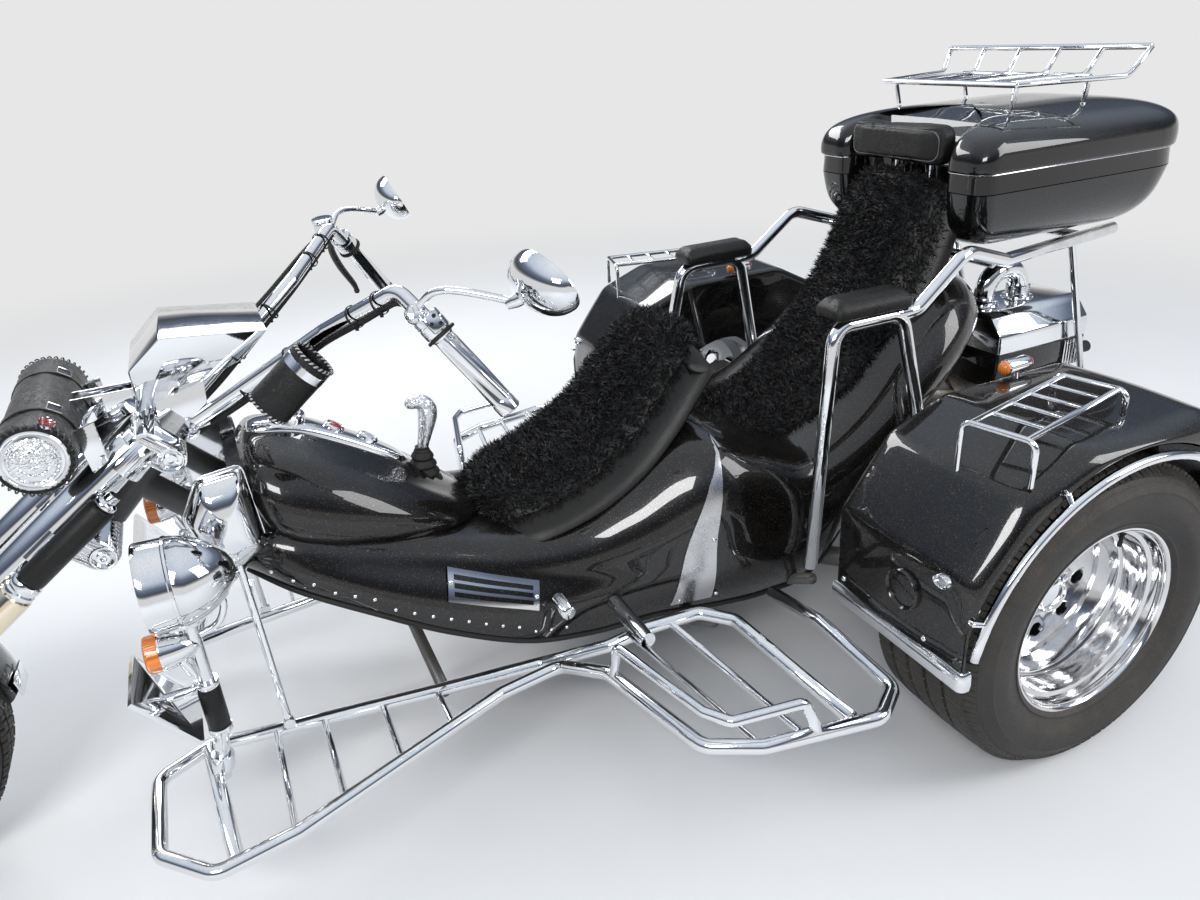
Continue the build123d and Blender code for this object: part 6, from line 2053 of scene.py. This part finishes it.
# %% Grips, switch units and the hand lever
for side, side_name in both_sides:
    grip_start, grip_end = spot(1.100, side * 0.398, 1.022), spot(1.020, side * 0.451, 0.897)
    grip_along = (grip_end - grip_start).normalized()
    grip_length = (grip_end - grip_start).length
    grip_side = grip_along.orthogonal().normalized()
    grip_other = grip_along.cross(grip_side)
    rings = []
    for at in range(81):
        share = at / 80
        ease = min(1.0, share / 0.10, (1 - share) / 0.10)
        ring = []
        for angle in circle(80):
            lobe = 0.0017 * ease * math.cos(5 * angle + side * 3.6 * share)
            radius = 0.0172 + 0.0012 * share + lobe
            out = grip_side * math.cos(angle) + grip_other * math.sin(angle)
            ring.append(grip_start + grip_along * (grip_length * share) + out * radius)
        rings.append(ring)
    grip = smooth(skin(side_name + "_grip", rings), 60)
    dress(grip, chrome, steering, "chrome")
    end_rows = [
        (0.0, 0.012), (0.0165, 0.012), (0.0195, 0.009), (0.0200, 0.003), (0.0200, -0.010), (0.0185, -0.014),
        (0.017, -0.015),
    ]
    neck_rows = [
        (0.0145, -0.020), (0.0195, -0.018), (0.0205, -0.012), (0.0205, 0.004), (0.0180, 0.008), (0.016, 0.009)
    ]
    collars = [
        lathe("end", end_rows, grip_end, grip_along, count=64),
        lathe("neck", neck_rows, grip_start, grip_along, count=64),
    ]
    unit_start, unit_end = spot(1.120, side * 0.385, 1.053), spot(1.101, side * 0.398, 1.024)
    unit_along = (unit_end - unit_start).normalized()
    unit = [
        (0.0145, 0.0), (0.0215, 0.0), (0.0240, 0.002), (0.0245, 0.006), (0.0245, 0.012), (0.0232, 0.0135),
        (0.0232, 0.0150), (0.0245, 0.0165), (0.0245, 0.032), (0.0235, 0.036), (0.0145, 0.036),
    ]
    collars.append(lathe("unit", unit, unit_start, unit_along, count=72))
    lean = Vector((0.30, side * 0.60, 0.75))
    outward = (lean - unit_along * lean.dot(unit_along)).normalized()
    box_at = unit_start + unit_along * 0.018 + outward * 0.022
    across = unit_along.cross(outward)
    pod_corners = ((-0.016, -0.013), (0.016, -0.013), (0.016, 0.013), (-0.016, 0.013))
    pod = plate("pod", [box_at + unit_along * u + across * v for u, v in pod_corners], 0.014, 0.003)
    dress_joined(side_name + "_switch_unit", collars + [pod], 32, chrome, steering, "chrome")
    black_bits = []
    for u, v in ((-0.008, -0.006), (0.000, 0.006), (0.008, -0.006)):
        place = box_at + outward * 0.0065 + unit_along * u + across * v
        button = [(0.0, 0.0030), (0.0028, 0.0028), (0.0034, 0.0018), (0.0034, -0.001)]
        black_bits.append(lathe("button", button, place, outward, count=20))
    flange = [(0.0175, 0.0), (0.0262, 0.0002), (0.0275, 0.002), (0.0275, 0.0045), (0.0262, 0.006), (0.0175, 0.0065)]
    black_bits.append(lathe("flange", flange, unit_start + unit_along * 0.037, unit_along, count=64))
    dress_joined(side_name + "_switch_buttons", black_bits, 40, rubber, steering, "rubber")
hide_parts("controls")

lever_root = spot(1.130, -0.400, 1.052)
lever_rest = spots([(1.138, -0.428, 1.022), (1.122, -0.458, 0.972), (1.094, -0.480, 0.918), (1.088, -0.486, 0.898)])
lever_line = [Vector(p) for p in flow([tuple(p) for p in [lever_root] + lever_rest], 8)]
lever_radii = [
    0.0062 + 0.0022 * math.sin(math.pi * min(1.0, at / (len(lever_line) - 1) * 1.15)) for at in range(len(lever_line))
]
lever_parts = [pipe("lever", lever_line, lever_radii, 18)]
lever_end = [(0.0, -0.007), (0.005, -0.006), (0.0075, 0.0), (0.005, 0.006), (0.0, 0.007)]
lever_parts.append(lathe("lever_end", lever_end, lever_line[-1], (0, 0, 1), count=20))
lever_pivot = [(0.0, -0.011), (0.009, -0.011), (0.011, -0.008), (0.011, 0.008), (0.009, 0.011), (0.0, 0.011)]
lever_parts.append(lathe("lever_pivot", lever_pivot, lever_root, (0.5, 0.2, 0.84), count=24))
bracket_corners = [(1.142, -0.392, 1.062), (1.118, -0.378, 1.062), (1.112, -0.396, 1.036), (1.136, -0.412, 1.034)]
lever_parts.append(plate("lever_bracket", spots(bracket_corners), 0.012, 0.003))
dress_joined("hand_lever", lever_parts, 40, dark_casting, steering, "chrome")
reservoir = [
    (0.0, 0.0), (0.021, 0.0), (0.0225, 0.002), (0.0225, 0.030), (0.0215, 0.032), (0.0235, 0.033), (0.0240, 0.036),
    (0.0230, 0.041), (0.0, 0.0425),
]
dress_turned(
    "brake_reservoir", reservoir, spot(1.150, -0.372, 1.062), (0.10, 0.10, 1.0), 48, 32, chrome, steering, "chrome"
)

# %% [markdown]
# A mirror is a deep oval shell with the glass towards the rider. The shell is a run of ovals that shrink along a
# quarter circle, so its back is a smooth dome. The stem is one bent tube with a knuckle at each end.

# %% Mirrors on their stems
for side, side_name in both_sides:
    middle = spot(0.950, side * 0.505, 1.108)
    back = Vector((0.90, side * 0.10, -0.43)).normalized()
    wide = (aside(1) - back * back.y).normalized()
    tall = back.cross(wide)
    shell_rows = [(0.95, -0.0020), (0.985, -0.0035), (1.0, 0.0), (0.995, 0.004)]
    shell_rows += [(0.99 * math.cos(t), 0.004 + 0.046 * math.sin(t)) for t in quarter(14)]

    def mirror_oval(depth, half_wide, half_tall):
        """Give an oval across the mirror, at a depth behind its glass."""
        return [
            middle + back * depth + wide * (half_wide * math.cos(a)) + tall * (half_tall * math.sin(a))
            for a in circle(72)
        ]

    rings = [mirror_oval(depth, 0.090 * share, 0.055 * share) for share, depth in shell_rows]
    dress(smooth(skin(side_name + "_mirror_shell", rings, caps=False), 50), chrome, steering, "chrome")
    glass_rows = [
        mirror_oval(0.0010 + 0.002 * (1 - share * share), 0.0865 * share, 0.0525 * share)
        for share in (1.0, 0.8, 0.5, 0.2)
    ]
    dress(smooth(skin(side_name + "_mirror_glass", glass_rows), 60), lamp_mirror, steering, "chrome")
    stem_points = [
        (1.136, 0.392, 1.060), (1.122, 0.412, 1.086), (1.104, 0.430, 1.101), (1.070, 0.452, 1.100),
        (1.000, 0.488, 1.080),
    ]
    stem = spots(stem_points, side)
    stem_parts = [tube("stem", stem, 0.0062, 8, 20)]
    socket_end = middle + back * 0.020 - tall * 0.004
    socket_line = (socket_end - stem[-1]).normalized()
    socket = [stem[-1] - socket_line * 0.012, stem[-1], stem[-1] + socket_line * 0.004, socket_end]
    stem_parts.append(pipe("socket", socket, [0.0085, 0.0112, 0.0118, 0.0118], 28))
    ball = [
        (0.0, -0.016), (0.010, -0.014), (0.0155, -0.006), (0.0165, 0.0), (0.0155, 0.006), (0.010, 0.014), (0.0, 0.016)
    ]
    stem_parts.append(lathe("ball", ball, stem[0], (0.2, side * 0.8, 0.5), count=36))
    stem_nut = [(0.0, 0.010), (0.0105, 0.010), (0.0105, 0.019), (0.0080, 0.0205), (0.0, 0.0205)]
    stem_parts.append(lathe("stem_nut", stem_nut, stem[0], stem[1] - stem[0], count=6))
    dress_joined(side_name + "_mirror_stem", stem_parts, 35, chrome, steering, "chrome")
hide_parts("mirrors")

# %% [markdown]
# Black cables run under both bars, held by ties. A tie is a thin band round bar and cable with its small square head.

# %% Cables and ties on the bars
bar_points = [
    (1.508, 0.062, 0.838), (1.440, 0.100, 0.880), (1.362, 0.150, 0.935), (1.290, 0.193, 0.987), (1.258, 0.215, 1.010),
    (1.205, 0.268, 1.046), (1.150, 0.325, 1.084), (1.128, 0.362, 1.078), (1.122, 0.380, 1.058),
]
cables, ties = [], []
for side in (1, -1):
    bar = spots(bar_points, side)
    for beside, thick, sides in (
        (Vector((0.004, 0, -0.0195)), 0.0042, 12), (Vector((-0.006, side * 0.004, -0.0180)), 0.0030, 10)
    ):
        cables.append(tube("cable", [p + beside for p in bar], thick, 6, sides))
    for start, end, share in ((1, 2, 0.5), (2, 3, 0.6), (4, 5, 0.9), (5, 6, 0.6)):
        here = bar[start].lerp(bar[end], share) - Vector((0, 0, 0.004))
        along_bar = (bar[end] - bar[start]).normalized()
        tie = [(0.0195, -0.0022), (0.0206, -0.0020), (0.0206, 0.0020), (0.0195, 0.0022)]
        ties.append(lathe("tie", tie, here, along_bar, count=40))
        head_at = here + Vector((0.0, 0.0, -0.0215))
        corners = [head_at + Vector((u, v, 0)) * 0.003 for u, v in ((-1, -1), (1, -1), (1, 1), (-1, 1))]
        ties.append(plate("tie_head", corners, 0.006, 0.0008))
dress_joined("bar_cables", cables, 60, rubber, steering, "rubber")
dress_joined("cable_ties", ties, 40, rubber, steering, "rubber")
hose_line = spots([
    (1.150, -0.368, 1.060), (1.200, -0.300, 1.060), (1.330, -0.180, 0.985), (1.470, -0.095, 0.905),
    (1.590, -0.062, 0.850), (1.680, 0.030, 0.800), (1.780, 0.062, 0.725), (1.960, 0.066, 0.590),
    (2.120, 0.068, 0.470), (2.200, 0.070, 0.410),
])
dress(smooth(tube("brake_hose", hose_line, 0.0045, 8, 12), 60), rubber, steering, "rubber")
print("ties:", len(ties) // 2)

# %% [markdown]
# On each side a round headlamp with a pointed shell stands on the post, and a small bullet indicator sits below it.
# Both are turned shapes. A ring marks the seam where the lamp's rim meets its shell, and ribs run along the
# underside of the shell.

# %% Headlamps and indicators
lamp_y, post_x = 0.300, 1.5905
for side, side_name in both_sides:
    lamp_front = spot(1.640, side * lamp_y, 0.655)
    lamp_parts = [
        ("shell", chrome, [
            (0.0755, 0.000), (0.0785, 0.0015), (0.0800, -0.002), (0.0800, -0.010), (0.0790, -0.044), (0.0805, -0.046),
            (0.0805, -0.050), (0.0785, -0.052), (0.0750, -0.068), (0.0680, -0.088), (0.0570, -0.108),
            (0.0430, -0.125), (0.0280, -0.138), (0.0140, -0.145), (0.0, -0.147),
        ]),
        (
            "reflector", lamp_mirror,
            [(0.0760, -0.001), (0.0740, -0.004), (0.0600, -0.020), (0.0400, -0.033), (0.0200, -0.039), (0.0, -0.040)],
        ),
        (
            "glass", clear_lens,
            [(0.0745, -0.0005), (0.0600, 0.0035), (0.0400, 0.0065), (0.0200, 0.0080), (0.0, 0.0085)],
        ),
    ]
    for part, finish, profile in lamp_parts:
        dress_turned(
            side_name + "_lamp_" + part, profile, lamp_front, (1, 0, 0), 96, 35, finish, "chassis", "lamp_chrome"
        )
    ribs = []
    for rib in range(-3, 4):
        angle = -math.pi / 2 + rib * 0.20 + 0.25 * side
        line = [
            lamp_front + Vector((along, radius * math.cos(angle), radius * math.sin(angle)))
            for radius, along in (
                (0.0790, -0.054), (0.0757, -0.068), (0.0687, -0.088), (0.0577, -0.108), (0.0437, -0.125)
            )
        ]
        ribs.append(pipe("rib", line, [0.0016] * 5, 8))
    dress_joined(side_name + "_lamp_ribs", ribs, 50, chrome, "chassis", "lamp_chrome")
    turn_front = spot(1.669, side * lamp_y, 0.528)
    turn_parts = [
        ("shell", chrome, [
            (0.0330, -0.0245), (0.0350, -0.0240), (0.0355, -0.0265), (0.0345, -0.0300), (0.0325, -0.0430),
            (0.0285, -0.0580), (0.0220, -0.0730), (0.0130, -0.0860), (0.0, -0.0935),
        ]),
        (
            "lens", amber_lens,
            [(0.0340, -0.0245), (0.0340, -0.0060), (0.0325, -0.0020), (0.0290, 0.0), (0.0150, 0.0012), (0.0, 0.0014)],
        ),
    ]
    for part, finish, profile in turn_parts:
        dress_turned(
            side_name + "_turn_" + part, profile, turn_front, (1, 0, 0), 64, 35, finish, "chassis", "lamp_chrome"
        )
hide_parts("side_lamps")

# %% [markdown]
# The lamps sit on brackets at the posts. Each post wears a black sleeve between two bright collars, and a thin strut
# ties the cover by the tank down to the footboard.

# %% Lamp brackets, sleeves and struts
bright, sleeves = [], []
for side in (1, -1):
    y = side * lamp_y
    block = spots(
        [(1.622, y - 0.016, 0.580), (1.575, y - 0.016, 0.580), (1.575, y + 0.016, 0.580), (1.622, y + 0.016, 0.580)]
    )
    bright.append(plate("bracket_block", block, 0.030, 0.004))
    arc = spots([(1.530, y, 0.622), (1.528, y, 0.585), (1.545, y, 0.553), (1.580, y, 0.540)])
    bright.append(tube("bracket_arc", arc, 0.0065, 6, 16))
    bright.append(
        pipe("turn_stem", spots([(1.618, y, 0.500), (1.606, y, 0.466), (1.592, y, 0.452)]), [0.008] * 3, 16)
    )
    for low, high in ((0.330, 0.343), (0.434, 0.446)):
        collar = [
            (0.0140, low), (0.0205, low), (0.0215, low + 0.002), (0.0215, high - 0.002), (0.0205, high),
            (0.0140, high),
        ]
        collar = [(radius, z - low) for radius, z in collar]
        bright.append(lathe("collar", collar, spot(post_x, y, low), (0, 0, 1), count=48))
    sleeve = [(0.0140, 0.0), (0.0190, 0.0), (0.0200, 0.002), (0.0200, 0.088), (0.0190, 0.090), (0.0140, 0.090)]
    sleeves.append(lathe("sleeve", sleeve, spot(post_x, y, 0.3435), (0, 0, 1), count=48))
    clamp = [(0.0140, -0.016), (0.0195, -0.016), (0.0205, -0.013), (0.0205, 0.013), (0.0195, 0.016), (0.0140, 0.016)]
    bright.append(lathe("foot_clamp", clamp, spot(1.603, y, 0.262), (-0.17, 0, 1), count=40))
    bright.append(
        pipe("strut", [spot(1.492, side * 0.172, 0.600), spot(1.478, side * 0.222, 0.236)], [0.0075, 0.0075], 20)
    )
    for place in (spot(1.492, side * 0.172, 0.598), spot(1.478, side * 0.222, 0.238)):
        strut_end = [(0.0, -0.010), (0.011, -0.009), (0.013, 0.0), (0.011, 0.009), (0.0, 0.010)]
        bright.append(lathe("strut_end", strut_end, place, (0, side, 0), count=24))
dress_joined("lamp_brackets", bright, 35, chrome, "chassis", "chrome")
dress_joined("post_sleeves", sleeves, 35, seat_vinyl, "chassis", "rubber")

# %% [markdown]
# Beside the steering head each side has a domed, pillow-like cover with a broad band round its outer edge. Its rings
# shrink and rise along a quarter ellipse, then a flat inner panel closes them. A beaded rim seals the foot.

# %% Domed side covers
cover_outline = rounded(
    [
        (1.548, 0.606, 0.024), (1.562, 0.692, 0.030), (1.524, 0.762, 0.026), (1.446, 0.770, 0.016),
        (1.434, 0.604, 0.018), (1.498, 0.570, 0.030),
    ],
    8,
)
cover_middle = Vector((1.498, 0.672))
beads = []
for side, side_name in both_sides:
    rings = []
    rows = [(1.0, 0.140), (1.012, 0.142), (1.012, 0.150), (1.0, 0.152)]
    rows += [(math.cos(t) ** 0.75, 0.152 + 0.056 * math.sin(t)) for t in quarter(18)[:-1]]
    for share, y in rows:
        flat = [cover_middle + (p - cover_middle) * share for p in cover_outline]
        rings.append([spot(p.x, side * y, p.y) for p in flat])
    cover = smooth(skin(side_name + "_cover", rings), 28)
    dress(cover, chrome, "chassis", "chrome_trim")
    rim = [spot(p.x, side * 0.1435, p.y) for p in [cover_middle + (q - cover_middle) * 1.02 for q in cover_outline]]
    beads.append(pipe("rim", rim + rim[:1], [0.0026] * (len(rim) + 1), 8))
    eye = [(0.0040, -0.0016), (0.0082, -0.0016), (0.0082, 0.0016), (0.0040, 0.0016)]
    beads.append(lathe("eye", eye, spot(1.570, side * 0.146, 0.664), (0, 1, 0), count=28, closed=True))
dress_joined("cover_beads", beads, 50, chrome_trim, "chassis", "chrome_trim")
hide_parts("front_covers")

# %% [markdown]
# The front fender is one rounded shell over the wheel, in the same lacquer as the body, with a rolled rim. At its rear
# end a bright bracket finishes it.

# %% The front fender
guard_section = [
    (-0.0800, 0.302), (-0.0796, 0.322), (-0.0760, 0.338), (-0.0680, 0.350), (-0.0540, 0.358), (-0.0300, 0.3625),
    (0.0, 0.3640),
]
guard_section += [(-y, radius) for y, radius in reversed(guard_section[:-1])]
inner_section = [(y * 0.955, radius - 0.0038) for y, radius in reversed(guard_section)]
guard_start, guard_sweep = 55.2, 118
rings = []
for at in range(97):
    ray = ray_at(math.radians(guard_start + guard_sweep * at / 96))
    taper = 1.0 - 0.10 * max(0.0, (8 - at) / 8) ** 2
    rings.append([front_axle + ray * radius + aside(y * taper) for y, radius in guard_section + inner_section])
front_guard = smooth(thin_skin("front_guard", rings, len(guard_section)), 40)
dress(front_guard, black_paint, steering, "black_paint", "front_fender")
trim_parts = []
for side in (1, -1):
    edge = [
        front_axle + ray_at(a) * 0.3020 + aside(side * 0.0795)
        for a in (math.radians(guard_start + guard_sweep * at / 72) for at in range(73))
    ]
    trim_parts.append(pipe("guard_rim", edge, [0.0024] * 73, 8))
    for angle in (78, 118, 158):
        a = math.radians(angle)
        foot = front_axle + ray_at(a) * 0.322 + aside(side * 0.081)
        guard_bolt = [(0.0, 0.006), (0.0060, 0.006), (0.0065, 0.0), (0.0095, -0.0005), (0.0095, -0.003)]
        trim_parts.append(lathe("guard_bolt", guard_bolt, foot, (0, side, 0), count=6))
    stay_start = front_axle + ray_at(2.06) * 0.318 + aside(side * 0.083)
    trim_parts.append(pipe("stay", [stay_start, down_leg(0.700, side * 0.0905, 0.0)], [0.0055, 0.0055], 14))
tail_angle = math.radians(172.0)
tail_ray = ray_at(tail_angle)
tail_down = tangent_at(tail_angle)
bracket_corners = [
    front_axle + tail_ray * 0.368 + tail_down * u + aside(v)
    for u, v in ((-0.020, -0.040), (0.018, -0.034), (0.018, 0.034), (-0.020, 0.040))
]
trim_parts.append(plate("guard_bracket", bracket_corners, 0.005, 0.0015))
dress_joined("guard_trim", trim_parts, 40, chrome, steering, "chrome")

# %% [markdown]
# The gear lever stands in a rubber gaiter with five folds, and its cast shaft ends in a heavy hooked knob. The cast
# skin is only a bump: hammered cells in the plating.

# %% The gear lever
folds = [(0.0500, 0.000), (0.0480, 0.006)]
for fold in range(5):
    share = fold / 5
    outer, inner = 0.0470 - 0.028 * share, 0.0360 - 0.023 * share
    folds += [
        (outer, 0.012 + fold * 0.0185), (outer - 0.001, 0.016 + fold * 0.0185), (inner, 0.0245 + fold * 0.0185),
        (inner, 0.0265 + fold * 0.0185),
    ]
folds += [(0.0150, 0.1045), (0.0150, 0.1090), (0.011, 0.1095)]
dress_turned(
    "gaiter", folds, spot(1.094, 0, 0.551), (-0.09, 0.0, 1.0), 72, 32, rubber, "chassis", "rubber", "gear_lever"
)
knob_rows = flow([
    (1.0840, 0.000, 0.6480, 0.0110), (1.0790, 0.000, 0.6680, 0.0130), (1.0720, 0.000, 0.6900, 0.0158),
    (1.0660, 0.000, 0.7100, 0.0188), (1.0615, 0.000, 0.7280, 0.0212), (1.0610, 0.000, 0.7430, 0.0212),
    (1.0670, 0.000, 0.7550, 0.0190), (1.0780, 0.000, 0.7620, 0.0162), (1.0890, 0.000, 0.7620, 0.0142),
    (1.0980, 0.000, 0.7585, 0.0112), (1.1030, 0.000, 0.7550, 0.0055),
], 6)
knob = pipe("gear_knob", [spot(x, y, z) for x, y, z, _ in knob_rows], [radius for _, _, _, radius in knob_rows], 40)
dress(smooth(knob, 60), cast_chrome, "chassis", "chrome")
collar = [(0.0100, 0.0), (0.0135, 0.001), (0.0145, 0.004), (0.0145, 0.009), (0.0130, 0.012), (0.0100, 0.013)]
dress_turned(
    "knob_collar", collar, spot(1.0862, 0, 0.6400), (-0.30, 0, 1), 40, 35, chrome_trim, "chassis", "chrome_trim"
)

# %% [markdown]
# Behind the tail sits the engine's intake unit. It has black sides under a plated cap, upright ribs at its rear left,
# a six-sided plated end and a short dark stub. Flanges seat the bright hoop on it, and the hoop's rear leg ends in a
# corrugated sleeve.

# %% The intake unit
unit_y, unit_top, unit_rear = 0.060, 0.7145, -0.709


def unit_skin(name, half_section, ends):
    """Make a long body along X from one upright half section of (half width, z, corner radius), its ends drawn in."""
    corners = half_section + [(-half, z, radius) for half, z, radius in reversed(half_section)]
    section = rounded(corners, 8)
    middle = sum(section, Vector((0, 0))) / len(section)
    rings = []
    for x, share in ends:
        scaled = [middle + (p - middle) * share for p in section]
        rings.append([spot(x, unit_y + p.x, p.y) for p in scaled])
    return smooth(skin(name, rings), 40)


unit_ends = [(-0.3955, 0.93), (-0.3970, 0.98), (-0.4000, 1.0), (-0.7080, 1.0), (-0.7120, 0.98), (-0.7135, 0.93)]
unit_cap = unit_skin(
    "unit_cap", [(0.1238, 0.613, 0.003), (0.1238, 0.662, 0.026), (0.0790, unit_top, 0.045)], unit_ends
)
dress(unit_cap, chrome, "chassis", "chrome")
unit_sides = unit_skin("unit_sides", [(0.1216, 0.5135, 0.052), (0.1216, 0.612, 0.003)], unit_ends)
dress(unit_sides, black_paint, "chassis", "black_paint")
fittings = []
for at in range(7):
    rib_x = rear_axle_x - 0.636 - 0.0105 * at
    rib_low, rib_high = (rib_x - 0.0026, unit_y + 0.118, 0.536), (rib_x + 0.0026, unit_y + 0.1268, 0.608)
    fittings.append(slab("rib", rib_low, rib_high))
hex_end = [(0.0, 0.048), (0.024, 0.048), (0.030, 0.043), (0.030, 0.006), (0.034, 0.003), (0.034, -0.004)]
fittings.append(lathe("hex_end", hex_end, spot(unit_rear, 0.110, 0.610), (-1, 0, 0), count=6))
flange = [
    (0.0265, -0.004), (0.0400, -0.003), (0.0415, 0.0005), (0.0400, 0.0035), (0.0330, 0.0055), (0.0300, 0.0100),
    (0.0268, 0.0120),
]
for x in (-0.452, -0.575):
    fittings.append(lathe("flange", flange, spot(x, unit_y, unit_top), (0, 0, 1), count=64))
sleeve_rows = [(0.0265, 0.0100)]
for at in range(4):
    sleeve_rows += [
        (0.0285, 0.0110 + at * 0.0062), (0.0312, 0.0130 + at * 0.0062), (0.0312, 0.0146 + at * 0.0062),
        (0.0285, 0.0164 + at * 0.0062),
    ]
sleeve_rows.append((0.0265, 0.0355))
fittings.append(lathe("hoop_sleeve", sleeve_rows, spot(-0.575, unit_y, unit_top), (0, 0, 1), count=64))
dress_joined("unit_fittings", fittings, 35, chrome, "chassis", "chrome")
stub_rows = [(0.0, 0.060), (0.0125, 0.060), (0.0160, 0.057), (0.0160, 0.006), (0.0185, 0.004), (0.0185, -0.004)]
dress_turned("unit_stub", stub_rows, spot(unit_rear, 0.150, 0.558), (-1, 0, 0), 40, 35, rubber, "chassis", "rubber")

# %% [markdown]
# On the inner edge of each rear fender stands a small marker lamp, amber to the front and red to the back.

# %% Marker lamps
shells = []
for side, side_name in both_sides:
    middle = spot(-0.060, side * 0.526, 0.7625)
    marker_rows = [
        (0.0125, -0.030), (0.0160, -0.029), (0.0168, -0.026), (0.0160, 0.0), (0.0168, 0.026), (0.0160, 0.029),
        (0.0125, 0.030),
    ]
    shells.append(lathe("marker_shell", marker_rows, middle, (1, 0, 0), count=48))
    shells.append(pipe("marker_stem", [middle, middle - Vector((0, 0, 0.0235))], [0.0070, 0.0085], 20))
    for name, glass, ahead, slot in (("amber", amber_lens, 1, "lamp_chrome"), ("red", red_lens, -1, "red_lens")):
        dome_rows = [(0.0148, 0.0272)] + [
            (0.0148 * math.cos(t), 0.0300 + 0.0130 * math.sin(t)) for t in quarter(8, 0)
        ]
        dress_turned(side_name + "_marker_" + name, dome_rows, middle, (ahead, 0, 0), 48, 50, glass, "chassis", slot)
dress_joined("marker_shells", shells, 40, chrome, "chassis", "chrome")
print("marker lamps: 2")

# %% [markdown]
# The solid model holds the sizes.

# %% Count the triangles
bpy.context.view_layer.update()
shown = [thing for thing in bpy.data.objects if thing.type == "MESH" and not thing.hide_render]
print("triangles:", sum(len(face.vertices) - 2 for thing in shown for face in thing.data.polygons))
